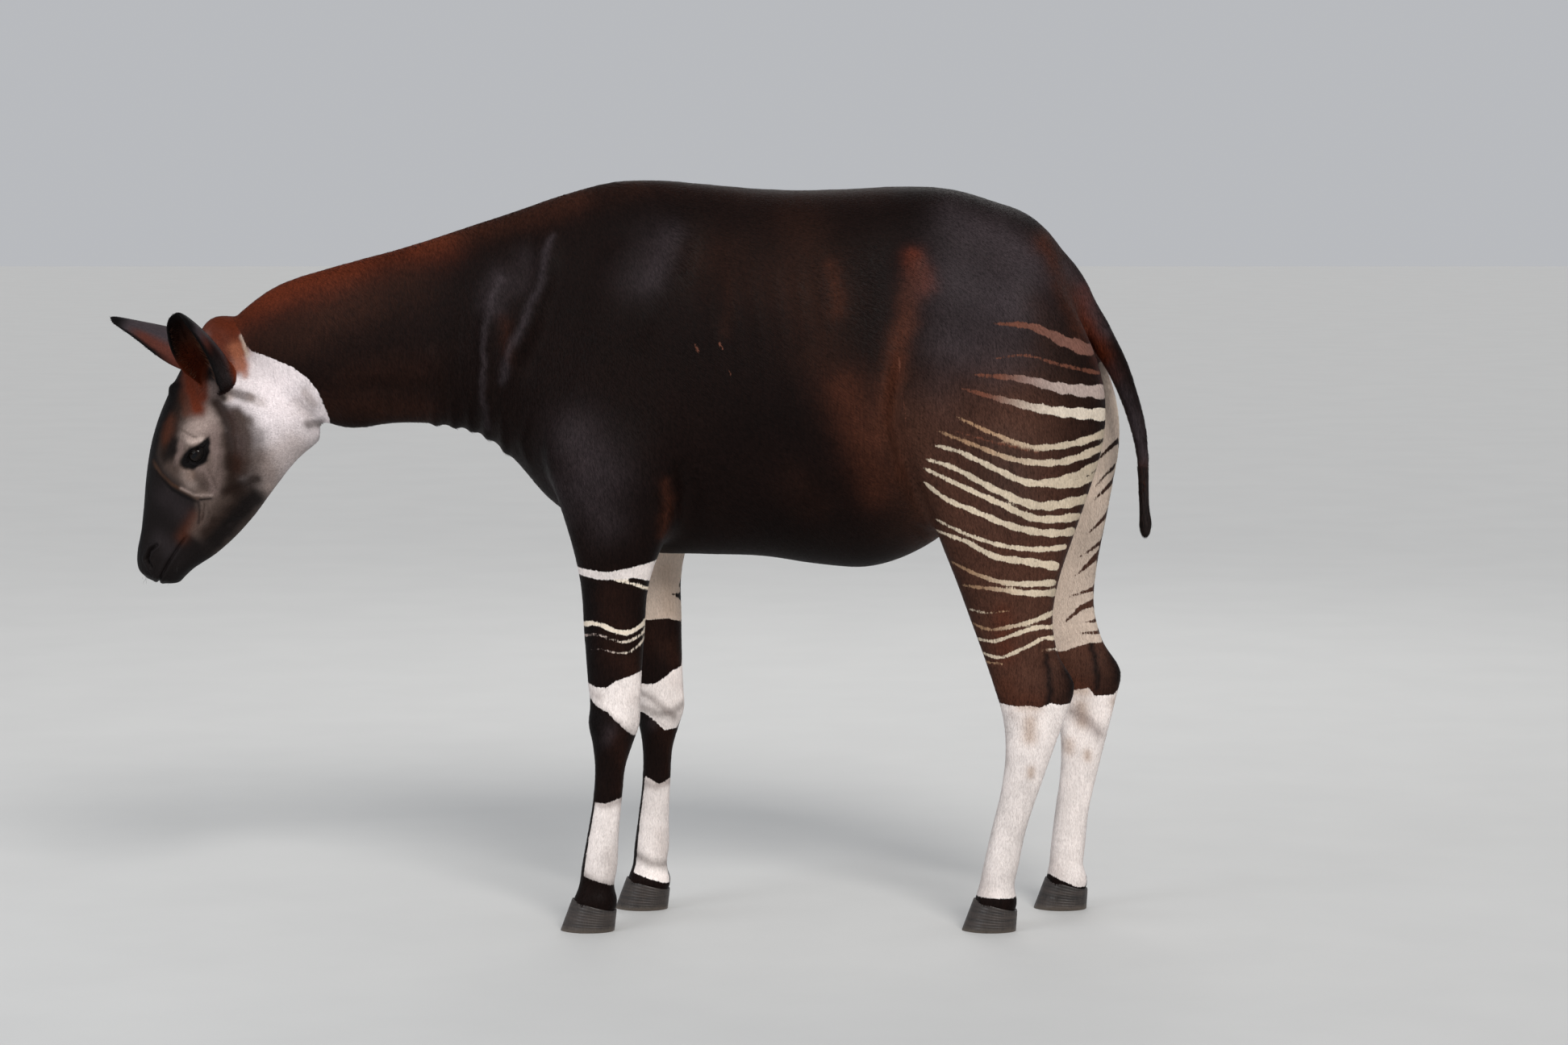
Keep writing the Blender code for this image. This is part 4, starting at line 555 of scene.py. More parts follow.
# The black skin round the eye, as a closed line of the side view.
EYE_SURROUND = (
    (-1.203, 0.937), (-1.193, 0.956), (-1.178, 0.966), (-1.163, 0.971), (-1.153, 0.98), (-1.142, 0.985),
    (-1.137, 0.97), (-1.14, 0.953), (-1.149, 0.938), (-1.161, 0.927), (-1.177, 0.92), (-1.192, 0.921),
    (-1.201, 0.929),
)
EYE_SOFTNESS = 0.0036
MUZZLE_MARKS = (
    (((-1.178, 0.826), (-1.19, 0.805), (-1.204, 0.782)), 0.014, 0.55, "warm_brown"),
    # Painted sheen on the black muzzle.
    (((-1.232, 0.862), (-1.204, 0.842)), 0.026, 0.28, "slate_sheen"),
    (((-1.25, 0.78), (-1.23, 0.76)), 0.02, 0.22, "slate_sheen"),
    # Along the top of the black muzzle: a painted highlight on the ridge, and painted shade in the step under
    # it.
    (
        ((-1.259, 0.935), (-1.242, 0.911), (-1.22, 0.891), (-1.192, 0.876), (-1.168, 0.864)), 0.0042, 0.75,
        "dull_tan",
    ),
    (((-1.252, 0.916), (-1.22, 0.88), (-1.193, 0.864), (-1.173, 0.857)), 0.0032, 0.75, "black"),
    (((-1.2, 0.883), (-1.173, 0.869), (-1.141, 0.869)), 0.0036, 0.6, "grey"),
    (((-1.164, 0.86), (-1.142, 0.862)), 0.0026, 0.85, "black"),
    # Painted shade in the cheek's wrinkle.
    (((-1.168, 0.856), (-1.166, 0.836), (-1.17, 0.812)), 0.0026, 0.75, "soot"),
    (((-1.156, 0.852), (-1.158, 0.836), (-1.162, 0.818)), 0.0022, 0.6, "umber"),
)

# Where the face's pale ground ends against the neck, as a closed line of the side view.
FACE_EDGE = (
    (-1.12, 1.33), (-1.105, 1.225), (-1.084, 1.193), (-1.072, 1.168), (-1.06, 1.155), (-1.031, 1.146),
    (-0.978, 1.124), (-0.948, 1.101), (-0.928, 1.073), (-0.917, 1.045), (-0.909, 1.018), (-0.912, 1.0),
    (-0.93, 0.95), (-1.1, 0.6), (-1.5, 0.6), (-1.5, 1.33),
)

# Pale stripes of the hind legs' outer side, from the front: line, half width in front and at the rear,
# colour in front and at the rear.
STRIPES = (
    (((0.408, 1.217), (0.483, 1.211), (0.553, 1.18), (0.599, 1.163)), 0.001, 0.013, "faint", "rosy"),
    (((0.413, 1.149), (0.473, 1.155), (0.534, 1.138), (0.62, 1.117)), 0.001, 0.004, "faint", "faint"),
    (((0.372, 1.117), (0.473, 1.108), (0.535, 1.092), (0.633, 1.079)), 0.0015, 0.013, "faint", "pink_grey"),
    (((0.348, 1.09), (0.423, 1.07), (0.524, 1.047), (0.635, 1.035)), 0.002, 0.012, "faint", "ivory"),
    (
        ((0.337, 1.035), (0.413, 1.001), (0.485, 0.976), (0.554, 0.979), (0.633, 0.998)), 0.002, 0.0075,
        "tan", "cream",
    ),
    (((0.328, 1.009), (0.398, 0.989), (0.494, 0.967)), 0.001, 0.003, "faint", "faint"),
    (
        ((0.302, 1.006), (0.374, 0.979), (0.455, 0.951), (0.545, 0.946), (0.629, 0.971)), 0.002, 0.008,
        "tan", "cream",
    ),
    (
        ((0.29, 0.979), (0.337, 0.968), (0.414, 0.933), (0.485, 0.905), (0.555, 0.912), (0.623, 0.938)),
        0.0025, 0.009, "cream", "cream",
    ),
    (((0.5, 0.902), (0.568, 0.9), (0.617, 0.913)), 0.004, 0.008, "cream", "cream"),
    (
        ((0.277, 0.951), (0.323, 0.938), (0.414, 0.892), (0.495, 0.86), (0.592, 0.868)), 0.0025, 0.01,
        "cream", "cream",
    ),
    (
        ((0.273, 0.933), (0.349, 0.898), (0.423, 0.865), (0.495, 0.834), (0.581, 0.834)), 0.0025, 0.008,
        "cream", "cream",
    ),
    (
        ((0.274, 0.905), (0.317, 0.873), (0.374, 0.849), (0.455, 0.817), (0.521, 0.804), (0.568, 0.804)),
        0.003, 0.008, "cream", "cream",
    ),
    (
        ((0.298, 0.83), (0.338, 0.811), (0.435, 0.779), (0.495, 0.772), (0.554, 0.774)), 0.002, 0.0055,
        "cream", "cream",
    ),
    (
        ((0.3, 0.806), (0.359, 0.787), (0.414, 0.758), (0.475, 0.748), (0.537, 0.736)), 0.002, 0.0085,
        "cream", "cream",
    ),
    (((0.329, 0.745), (0.375, 0.723), (0.424, 0.707), (0.534, 0.702)), 0.002, 0.0065, "tan", "cream"),
    (((0.351, 0.697), (0.415, 0.692), (0.475, 0.684), (0.534, 0.681)), 0.0018, 0.007, "tan", "cream"),
    (((0.367, 0.648), (0.399, 0.643), (0.445, 0.648)), 0.0025, 0.001, "cream", "tan"),
    (((0.374, 0.62), (0.394, 0.611), (0.456, 0.617), (0.537, 0.641)), 0.002, 0.0055, "tan", "cream"),
    (
        ((0.38, 0.588), (0.415, 0.585), (0.457, 0.6), (0.496, 0.612), (0.542, 0.611)), 0.0025, 0.005,
        "cream", "cream",
    ),
    (
        ((0.388, 0.562), (0.42, 0.552), (0.476, 0.572), (0.517, 0.59), (0.544, 0.588)), 0.0025, 0.0042,
        "cream", "cream",
    ),
    (((0.509, 0.566), (0.551, 0.566)), 0.001, 0.0036, "tan", "ivory"),
    (((0.398, 0.541), (0.436, 0.539)), 0.0028, 0.001, "tan", "tan"),
    # A thin pale line along the flank's groove: a line of hair, with a painted highlight.
    (((0.224, 1.153), (0.236, 1.05), (0.253, 0.94)), 0.0014, 0.0008, "faint", "faint"),
)
# Three faint scars on the ribs, as stripes.
SCARS = (
    (((-0.174, 1.176), (-0.168, 1.158)), 0.003, 0.0015, "faint", "faint"),
    (((-0.127, 1.18), (-0.121, 1.166)), 0.0026, 0.0015, "faint", "faint"),
    (((-0.108, 1.126), (-0.104, 1.116)), 0.0026, 0.0015, "faint", "faint"),
)
STRIPE_SPACING = 0.012
STRIPE_REACH = 0.05
# Pale stripes of the forelegs' outer side, given in the same way.
FORE_STRIPES = (
    (
        (
            (-0.44, 0.612), (-0.397, 0.618), (-0.384, 0.622), (-0.359, 0.619), (-0.328, 0.606),
            (-0.308, 0.604), (-0.287, 0.614), (-0.272, 0.626), (-0.262, 0.652),
        ),
        0.0042, 0.0046, "ivory", "ivory",
    ),
    (
        (
            (-0.4, 0.594), (-0.374, 0.601), (-0.348, 0.594), (-0.318, 0.585), (-0.292, 0.593),
            (-0.275, 0.606), (-0.262, 0.632),
        ),
        0.0014, 0.0032, "pink_grey", "ivory",
    ),
    (
        (
            (-0.384, 0.569), (-0.364, 0.572), (-0.338, 0.565), (-0.313, 0.563), (-0.287, 0.578),
            (-0.265, 0.608),
        ),
        0.0006, 0.0024, "grey", "ivory",
    ),
    (
        ((-0.34, 0.713), (-0.32, 0.709), (-0.297, 0.702), (-0.262, 0.686), (-0.23, 0.675)), 0.003, 0.0026,
        "ivory", "ivory",
    ),
)
# Pale fields of the legs, as closed lines of the side view, with the left leg's places.
FORE_OUTER = (
    (
        (-0.47, 0.736), (-0.41, 0.733), (-0.348, 0.726), (-0.297, 0.736), (-0.254, 0.746), (-0.234, 0.738),
        (-0.234, 0.7), (-0.261, 0.703), (-0.297, 0.715), (-0.325, 0.711), (-0.363, 0.711), (-0.409, 0.719),
        (-0.47, 0.722),
    ),
    (
        (-0.45, 0.506), (-0.391, 0.501), (-0.374, 0.494), (-0.354, 0.493), (-0.334, 0.506),
        (-0.318, 0.512), (-0.28, 0.525), (-0.2, 0.535), (-0.2, 0.38), (-0.293, 0.393), (-0.308, 0.403),
        (-0.329, 0.424), (-0.349, 0.444), (-0.374, 0.457), (-0.389, 0.475), (-0.45, 0.482),
    ),
    (
        (-0.45, 0.262), (-0.383, 0.261), (-0.355, 0.259), (-0.324, 0.269), (-0.25, 0.268), (-0.25, 0.088),
        (-0.333, 0.09), (-0.402, 0.114), (-0.45, 0.12),
    ),
)
FORE_INNER = (
    (
        (-0.47, 0.745), (-0.285, 0.752), (-0.25, 0.728), (-0.24, 0.705), (-0.24, 0.59), (-0.271, 0.593),
        (-0.305, 0.604), (-0.339, 0.601), (-0.47, 0.606),
    ),
    (
        (-0.45, 0.468), (-0.365, 0.469), (-0.343, 0.469), (-0.32, 0.483), (-0.304, 0.496), (-0.283, 0.504),
        (-0.2, 0.515), (-0.2, 0.388), (-0.291, 0.388), (-0.302, 0.377), (-0.329, 0.374), (-0.354, 0.4),
        (-0.371, 0.411), (-0.45, 0.416),
    ),
    (
        (-0.45, 0.284), (-0.383, 0.282), (-0.345, 0.26), (-0.321, 0.273), (-0.25, 0.275), (-0.25, 0.052),
        (-0.339, 0.055), (-0.407, 0.077), (-0.45, 0.085),
    ),
)
# Dark wedges at the rear of the forelegs' inner side: line, half width at the rear and in front.
FORE_WEDGES = (
    (((-0.24, 0.683), (-0.256, 0.681), (-0.277, 0.666)), 0.007, 0.001),
    (((-0.235, 0.645), (-0.262, 0.642), (-0.29, 0.653)), 0.02, 0.001),
)
HIND_OUTER = (
    (
        (0.33, 0.461), (0.424, 0.459), (0.461, 0.454), (0.488, 0.456), (0.507, 0.452), (0.527, 0.461),
        (0.55, 0.456), (0.573, 0.458), (0.64, 0.47), (0.64, 0.068), (0.471, 0.069), (0.389, 0.071),
        (0.33, 0.074),
    ),
)
HIND_INNER = (
    (
        (0.33, 1.0), (0.52, 1.05), (0.59, 1.085), (0.612, 1.125), (0.64, 1.135), (0.7, 1.12), (0.7, 0.556),
        (0.515, 0.552), (0.49, 0.547), (0.467, 0.538), (0.4, 0.53), (0.33, 0.6), (0.28, 0.8),
    ),
    (
        (0.33, 0.452), (0.484, 0.458), (0.508, 0.462), (0.518, 0.446), (0.558, 0.446), (0.572, 0.458),
        (0.64, 0.466), (0.64, 0.046), (0.446, 0.048), (0.384, 0.075), (0.33, 0.08),
    ),
)
# Dark streaks of the hind legs' inner side, from the rear edge forward: line, half width at the rear and in
# front.
INNER_STREAKS = (
    (((0.64, 0.975), (0.6, 0.95), (0.56, 0.915)), 0.006, 0.001),
    (((0.64, 0.935), (0.586, 0.896), (0.56, 0.872)), 0.005, 0.001),
    (((0.63, 0.898), (0.6, 0.88), (0.554, 0.845)), 0.007, 0.001),
    (((0.61, 0.84), (0.57, 0.805), (0.531, 0.776)), 0.007, 0.001),
    (((0.59, 0.782), (0.56, 0.758), (0.506, 0.728)), 0.006, 0.001),
    (((0.575, 0.748), (0.545, 0.728), (0.497, 0.69)), 0.01, 0.001),
    (((0.575, 0.684), (0.533, 0.662), (0.481, 0.649)), 0.008, 0.001),
    (((0.575, 0.645), (0.506, 0.626), (0.468, 0.596)), 0.012, 0.001),
    (((0.57, 0.604), (0.528, 0.596), (0.51, 0.594)), 0.007, 0.001),
    (((0.575, 0.574), (0.526, 0.573), (0.494, 0.573)), 0.006, 0.001),
    (((0.575, 0.555), (0.524, 0.546)), 0.005, 0.001),
)
# Soft shades within the pale fields of the legs: line, half breadth, how strong, colour.
PALE_MARKS = (
    (((0.488, 0.424), (0.488, 0.392)), 0.016, 0.55, "tan"),
    (((0.491, 0.326), (0.491, 0.316)), 0.009, 0.55, "tan"),
    (((0.45, 0.44), (0.458, 0.43)), 0.008, 0.35, "grey"),
    (((0.47, 0.458), (0.5, 0.456)), 0.014, 0.55, "tan"),
    (((0.43, 0.4), (0.44, 0.34)), 0.01, 0.2, "grey"),
    (((0.39, 0.1), (0.4, 0.082)), 0.022, 0.3, "grey"),
    (((-0.375, 0.478), (-0.366, 0.474)), 0.009, 0.35, "grey"),
    (((-0.374, 0.452), (-0.35, 0.44), (-0.328, 0.42), (-0.308, 0.4)), 0.008, 0.55, "taupe"),
    (((-0.3, 0.47), (-0.288, 0.462)), 0.014, 0.2, "grey"),
    (((-0.383, 0.262), (-0.355, 0.256), (-0.322, 0.264)), 0.008, 0.55, "mole"),
    (((-0.404, 0.116), (-0.37, 0.098), (-0.335, 0.092)), 0.01, 0.6, "taupe"),
    (((-0.35, 0.16), (-0.345, 0.12)), 0.014, 0.25, "grey"),
)
# The same on the legs' inner sides only.
INNER_MARKS = (
    (((0.56, 1.125), (0.7, 1.125)), 0.05, 0.9, "mouse"),
    (((0.47, 0.414), (0.5, 0.393), (0.52, 0.367)), 0.014, 0.6, "mole"),
    (((0.456, 0.346), (0.455, 0.332)), 0.013, 0.45, "tan"),
    (((0.56, 0.43), (0.565, 0.41)), 0.012, 0.45, "tan"),
    (((-0.371, 0.42), (-0.338, 0.408), (-0.31, 0.412), (-0.29, 0.424)), 0.009, 0.55, "taupe"),
    (((-0.3, 0.62), (-0.3, 0.7)), 0.02, 0.2, "tan"),
    (((-0.302, 0.58), (-0.272, 0.578)), 0.004, 0.5, "mole"),
    (((-0.383, 0.284), (-0.345, 0.264), (-0.321, 0.273)), 0.008, 0.5, "grey"),
)

LEG_PATTERNS = {
    "hind": {
        "stripes": STRIPES,
        "outer": HIND_OUTER,
        "inner": HIND_INNER,
        "streaks": INNER_STREAKS,
        "turn": (0.05, 0.45),
    },
    "fore": {
        "stripes": FORE_STRIPES,
        "outer": FORE_OUTER,
        "inner": FORE_INNER,
        "streaks": FORE_WEDGES,
        "turn": (-0.05, 0.35),
    },
}
# The depth kept where no pale mark is near, and on the ears, which carry their own colours.
NO_MARK = -0.05
EAR_MARK = 0.02
MILLIMETRES = 1000
HEAD_REAR = -0.85
HIND_MARKS_FRONT = 0.15
HIND_MARKS_TOP = 1.26
# Above these heights the pale inside of the hind legs and of the forelegs is duller.
HOCK_TOP = 0.47
ELBOW_INSIDE = 0.56
# Corners of the field of the ribs where the scars lie.
SCARRED_RIBS = ((-0.25, 1.0), (0.0, 1.6))
# The dark front of the shin: its top, how thick it is, and how far round the leg it reaches.
SHIN_TOP = 0.29
SHIN_DEPTH = 0.05
SHIN_TURN = 0.8
# The black line down the forehead: its top, and from which turn of the surface it shows.
BLAZE_TOP = 1.16
BLAZE_TURN = (0.45, 0.8)

# How the hair lies, as samples over the side view: place (x, z) and direction (x, z).
LIE = (
    ((-1.28, 0.72), (0.3, 0.95)), ((-1.2, 0.74), (0.55, 0.6)), ((-1.27, 0.85), (0.25, 0.97)),
    ((-1.19, 0.85), (0.55, 0.8)), ((-1.12, 0.82), (0.9, 0.3)), ((-1.24, 0.98), (0.35, 0.93)),
    ((-1.15, 0.92), (0.8, 0.55)), ((-1.06, 0.9), (0.98, 0.05)), ((-1.18, 1.06), (0.6, 0.8)),
    ((-1.1, 1.0), (0.95, 0.1)), ((-1.0, 1.0), (0.95, -0.3)), ((-1.1, 1.13), (0.85, -0.5)),
    ((-1.0, 1.12), (0.75, -0.65)), ((-1.05, 1.24), (0.8, -0.55)), ((-0.93, 1.04), (0.7, -0.7)),
    ((-0.9, 1.25), (0.55, -0.83)), ((-0.85, 1.05), (0.5, -0.86)), ((-0.7, 1.3), (0.35, -0.93)),
    ((-0.7, 1.05), (0.25, -0.97)), ((-0.5, 1.38), (0.35, -0.93)), ((-0.5, 1.1), (0.2, -0.98)),
    ((-0.35, 1.3), (0.4, -0.9)), ((-0.35, 0.95), (0.3, -0.95)), ((-0.1, 1.4), (0.85, -0.5)),
    ((-0.1, 1.15), (0.75, -0.65)), ((-0.1, 0.85), (0.8, -0.55)), ((0.15, 1.38), (0.9, -0.4)),
    ((0.15, 1.05), (0.75, -0.65)), ((0.15, 0.8), (0.8, -0.5)), ((0.4, 1.35), (0.7, -0.7)),
    ((0.4, 1.1), (0.35, -0.93)), ((0.55, 1.2), (0.3, -0.95)), ((0.45, 0.85), (0.15, -0.98)),
    ((0.45, 0.55), (0.05, -1.0)), ((0.45, 0.2), (-0.1, -1.0)), ((-0.34, 0.6), (0.05, -1.0)),
    ((-0.36, 0.2), (-0.1, -1.0)), ((0.68, 1.05), (0.2, -0.98)), ((0.725, 0.85), (0.02, -1.0)),
)
LIE_REACH = 0.1
LIE_SPREAD = 0.16
# The lie where the hair would stand straight up from the surface.
SPARE_LIE = (0.3, 0.0, -1.0)

# Tufts of each part of the coat: tufts per square metre, length, width, rise of the tip.
COAT_PARTS = {
    "body": (70000, 0.0125, 0.0014, 0.0008),
    "rump": (80000, 0.0095, 0.0013, 0.0007),
    "leg": (90000, 0.008, 0.0012, 0.0006),
    "head": (150000, 0.0062, 0.001, 0.0006),
    "muzzle": (150000, 0.0034, 0.0008, 0.0003),
    "ear": (150000, 0.0055, 0.0009, 0.0005),
    "tail": (90000, 0.011, 0.0013, 0.001),
}
# Where along a tuft the marks are read for its root and its tip, and how much its edge of a mark strays.
TUFT_PAINT = (0.15, 0.8)
EDGE_FUZZ = 0.0005
MOST_TUFTS_IN_PIECE = 60000
TUFT_SUNK = 0.0004
TUFT_TILT = 0.45
UV_PATCH = 0.003
# Where the coat's parts part: below the legs' top, in front of the crown's rear. No hair grows under the hoof
# line, and the mouth's line is bare in front of the face's rear.
LEG_TOP = 0.8
CROWN_REAR = -0.96
FACE_REAR = -1.15
HOOF_LINE = 0.05
# What the unwrap is rolled round: the head's line from crown to lips, and the middles of the legs.
UNWRAP_CROWN = (-1.03, 1.14)
UNWRAP_LIPS = (-1.25, 0.7)
UNWRAP_LEGS = (-0.36, 0.47)
SEED = 7

CAMERA_PLACE = (0.0, -8.4, 1.6)
CAMERA_TILT = 5.39
CAMERA_LENS = 96.3
CAMERA_SENSOR = 36.0
STAGE_MIDDLE = (0.0, 0.0, 0.85)
FLOOR_HALF_WIDTH = 40.0

# The imported nodes that the skin replaces.
FLESH = (
    "head", "neck", "torso", "tail", "ear_left", "ear_right",
    "foreleg_left", "foreleg_right", "hindleg_left", "hindleg_right",
)


def between(value, low, high):
    """0 below low, 1 above high, and a smooth rise between them."""
    t = np.clip((value - low) / (high - low), 0.0, 1.0)
    return t * t * (3.0 - 2.0 * t)


def bell(distance, half_breadth):
    """A smooth hump: 1 in the middle, about a third at its half breadth."""
    return np.exp(-((distance / half_breadth) ** 2))


def unit(vector):
    vector = np.array(vector, float)
    return vector / np.linalg.norm(vector)


def units(vectors):
    return vectors / np.maximum(np.linalg.norm(vectors, axis=1), 1e-9)[:, None]


def through(rows, spacing):
    """Rows read from a smooth curve through the given ones. The first three columns are the place."""
    rows = np.array(rows, float)
    steps = np.linalg.norm(np.diff(rows[:, :3], axis=0), axis=1)
    knots = np.concatenate([[0.0], np.cumsum(steps)])
    slopes = np.gradient(rows, knots, axis=0)
    count = max(4, int(round(knots[-1] / spacing)))
    found = []
    for at in np.linspace(0.0, knots[-1], count + 1):
        i = min(len(knots) - 2, int(np.searchsorted(knots, at, side="right")) - 1)
        gap = knots[i + 1] - knots[i]
        t = (at - knots[i]) / gap
        found.append(
            (2 * t**3 - 3 * t**2 + 1) * rows[i]
            + (t**3 - 2 * t**2 + t) * gap * slopes[i]
            + (3 * t**2 - 2 * t**3) * rows[i + 1]
            + (t**3 - t**2) * gap * slopes[i + 1]
        )
    return np.array(found)


def mesh_of(name, form):
    """A new mesh from a bmesh, which is freed."""
    mesh = bpy.data.meshes.new(name)
    form.to_mesh(mesh)
    form.free()
    return mesh


def object_of(name, data):
    """An object of the scene for a mesh, a light or a camera."""
    found = bpy.data.objects.new(name, data)
    bpy.context.scene.collection.objects.link(found)
    return found


def loft(name, rings):
    """A closed mesh through rings of points, each ring an array of the same number of rows."""
    form = bmesh.new()
    rows = [[form.verts.new(point) for point in ring] for ring in rings]
    count = len(rows[0])
    for near, far in zip(rows, rows[1:]):
        for i in range(count):
            j = (i + 1) % count
            form.faces.new((near[i], near[j], far[j], far[i]))
    form.faces.new(rows[0][::-1])
    form.faces.new(rows[-1])
    bmesh.ops.recalc_face_normals(form, faces=form.faces)
    return object_of(name, mesh_of(name, form))


def oval(upper, lower, middle_y, half_width, widest, full_upper, full_lower):
    """One section: an oval between an upper and a lower point of the side view."""
    angles = np.arange(RING_POINTS) * 2 * math.pi / RING_POINTS
    across, along = np.cos(angles), np.sin(angles)
    full = np.where(along > 0, full_upper, full_lower)
    across = np.sign(across) * np.abs(across) ** (2 / full)
    rise = np.abs(along) ** (2 / full)
    upper, lower = np.array(upper, float), np.array(lower, float)
    centre = lower + widest * (upper - lower)
    reach = np.where(along[:, None] > 0, upper - centre, lower - centre)
    side = centre + rise[:, None] * reach
    return np.column_stack([side[:, 0], middle_y + half_width * across, side[:, 1]])


def body_loft(name, table):
    """Trunk or head: the sections lie on the middle plane."""
    rows = [((u[0] + l[0]) / 2, 0, (u[1] + l[1]) / 2, *u, *l, *shape) for _, u, l, *shape in table]
    return loft(name, [oval(r[3:5], r[5:7], 0.0, *r[7:11]) for r in through(rows, RING_SPACING)])


def step_at(height, steps):
    """How far a right leg stands behind the left one, at a height or at several."""
    heights, distances = zip(*sorted(steps))
    return np.interp(height, heights, distances)


def leg_loft(name, table, side, steps):
    """A leg from its level sections. side is -1 on the animal's left and 1 on its right."""
    rows = []
    for _, z, front, rear, middle, half in table:
        move = step_at(z, steps) if side > 0 else 0.0
        rows.append(((front + rear) / 2 + move, 0, z, front + move, rear + move, middle, half))
    rings = []
    for _, _, z, front, rear, middle, half in through(rows, RING_SPACING):
        rings.append(oval((front, z), (rear, z), side * middle, half, 0.5, LEG_FULLNESS, LEG_FULLNESS))
    return loft(name, rings)


def round_rings(rows, sides, spacing):
    """Rings about a line of the side view, from rows of x, z and radius."""
    line = np.array(through([(r[0], 0.0, r[1], r[2]) for r in rows], spacing))
    centres, radii = line[:, [0, 2]], line[:, 3]
    ways = np.gradient(centres, axis=0)
    angles = np.arange(sides) * 2 * math.pi / sides
    rings = []
    for centre, radius, way in zip(centres, radii, ways):
        way = way / np.linalg.norm(way)
        over = np.array([-way[1], way[0]])
        side = centre + radius * np.sin(angles)[:, None] * over
        rings.append(np.column_stack([side[:, 0], radius * np.cos(angles), side[:, 1]]))
    return rings


def evaluated_copy(found, name):
    """A plain mesh object with the modifiers applied, in place of the given object."""
    graph = bpy.context.evaluated_depsgraph_get()
    mesh = bpy.data.meshes.new_from_object(found.evaluated_get(graph))
    mesh.transform(found.matrix_world)
    bpy.data.objects.remove(found)
    mesh.name = name
    return object_of(name, mesh)


def joined(name, objects):
    """The meshes of several objects in one object, still overlapping."""
    form = bmesh.new()
    for found in objects:
        form.from_mesh(found.data)
        bpy.data.objects.remove(found)
    return object_of(name, mesh_of(name, form))


def remeshed(found, voxel):
    modifier = found.modifiers.new("Remesh", "REMESH")
    modifier.mode = "VOXEL"
    modifier.voxel_size = voxel
    return evaluated_copy(found, found.name)


def united(target, others):
    """The target united with the other objects, which are removed."""
    tools = bpy.data.collections.new("tools")
    for other in others:
        for home in list(other.users_collection):
            home.objects.unlink(other)
        tools.objects.link(other)
    bpy.context.scene.collection.children.link(tools)
    modifier = target.modifiers.new("Boolean", "BOOLEAN")
    modifier.operation = "UNION"
    modifier.operand_type = "COLLECTION"
    modifier.collection = tools
    modifier.solver = "MANIFOLD"
    made = evaluated_copy(target, target.name)
    for other in others:
        bpy.data.objects.remove(other)
    bpy.data.collections.remove(tools)
    return made


def points_of(mesh):
    points = np.empty(len(mesh.vertices) * 3, np.float32)
    mesh.vertices.foreach_get("co", points)
    return points.reshape(-1, 3).astype(float)


def set_points(mesh, points):
    mesh.vertices.foreach_set("co", points.astype(np.float32).ravel())
    mesh.update()


def normals_of(mesh):
    normals = np.empty(len(mesh.vertices) * 3, np.float32)
    mesh.vertex_normals.foreach_get("vector", normals)
    return normals.reshape(-1, 3).astype(float)


def smoothed(mesh, points, weight, rounds):
    """Points drawn towards the mean of their neighbours, as far as their weight says."""
    edges = np.empty(len(mesh.edges) * 2, np.int32)
    mesh.edges.foreach_get("vertices", edges)
    a, b = edges.reshape(-1, 2).T
    weight = np.asarray(weight, float)
    kept = (weight[a] != 0) | (weight[b] != 0)
    a, b = a[kept], b[kept]
    count = len(points)
    degree = np.bincount(a, minlength=count) + np.bincount(b, minlength=count)
    share = (weight / np.maximum(degree, 1))[:, None]
    whole = weight[:, None]
    for _ in range(rounds):
        sums = np.column_stack(
            [
                np.bincount(a, points[b, k], count) + np.bincount(b, points[a, k], count)
                for k in range(3)
            ]
        )
        points = points + share * sums - whole * points
    return points


def evened(mesh, points, weight, rounds):
    """Smoothing that keeps the volume of thin forms."""
    for _ in range(rounds):
        points = smoothed(mesh, points, 0.5 * weight, 1)
        points = smoothed(mesh, points, -0.52 * weight, 1)
    return points


def finer(mesh, inside):
    """Divides the faces whose corners all lie inside."""
    form = bmesh.new()
    form.from_mesh(mesh)
    form.verts.ensure_lookup_table()
    chosen = [e for e in form.edges if inside[e.verts[0].index] and inside[e.verts[1].index]]
    bmesh.ops.subdivide_edges(form, edges=chosen, cuts=1, use_grid_fill=True)
    form.to_mesh(mesh)
    form.free()
    mesh.update()


def distance_to_line(places, line):
    """Of each place: how far it is from a broken line, and how far along it the nearest point is, 0 to 1."""
    line = np.array(line, float)
    lengths = np.linalg.norm(np.diff(line, axis=0), axis=1)
    starts = np.concatenate([[0.0], np.cumsum(lengths)])
    best = np.full(len(places), np.inf)
    along = np.zeros(len(places))
    for i, length in enumerate(lengths):
        way = (line[i + 1] - line[i]) / length
        t = np.clip((places - line[i]) @ way, 0.0, length)
        gap = np.linalg.norm(places - line[i] - t[:, None] * way, axis=1)
        near = gap < best
        best[near] = gap[near]
        along[near] = (starts[i] + t[near]) / starts[-1]
    return best, along


def depth_in(places, outline):
    """How deep each place lies within a closed line of the side view, negative outside it."""
    closed = np.array([*outline, outline[0]], float)
    inside = np.zeros(len(places), bool)
    x, z = places.T
    for (x0, z0), (x1, z1) in zip(closed, closed[1:]):
        if z0 == z1:
            continue
        crossing = (z0 > z) != (z1 > z)
        inside ^= crossing & (x < (x1 - x0) * (z - z0) / (z1 - z0) + x0)
    gap, _ = distance_to_line(places, closed)
    return np.where(inside, gap, -gap)


def home_of(points):
    """The side view of each point, with the right legs brought back to where the left ones stand."""
    places = points[:, [0, 2]].copy()
    right = points[:, 1] > 0
    fore = (places[:, 0] > FORELEGS_FRONT) & (places[:, 0] < FORELEGS_REAR)
    hind = places[:, 0] >= FORELEGS_REAR
    for steps, legs in ((FORE_STEP, fore), (HIND_STEP, hind)):
        chosen = right & legs
        places[chosen, 0] -= step_at(places[chosen, 1], steps)
    return places


def beside(places, line, reach):
    """Which places lie in the box round a line of the side view, widened by a reach."""
    corners = np.array(line)
    return np.all((places > corners.min(axis=0) - reach) & (places < corners.max(axis=0) + reach), axis=1)


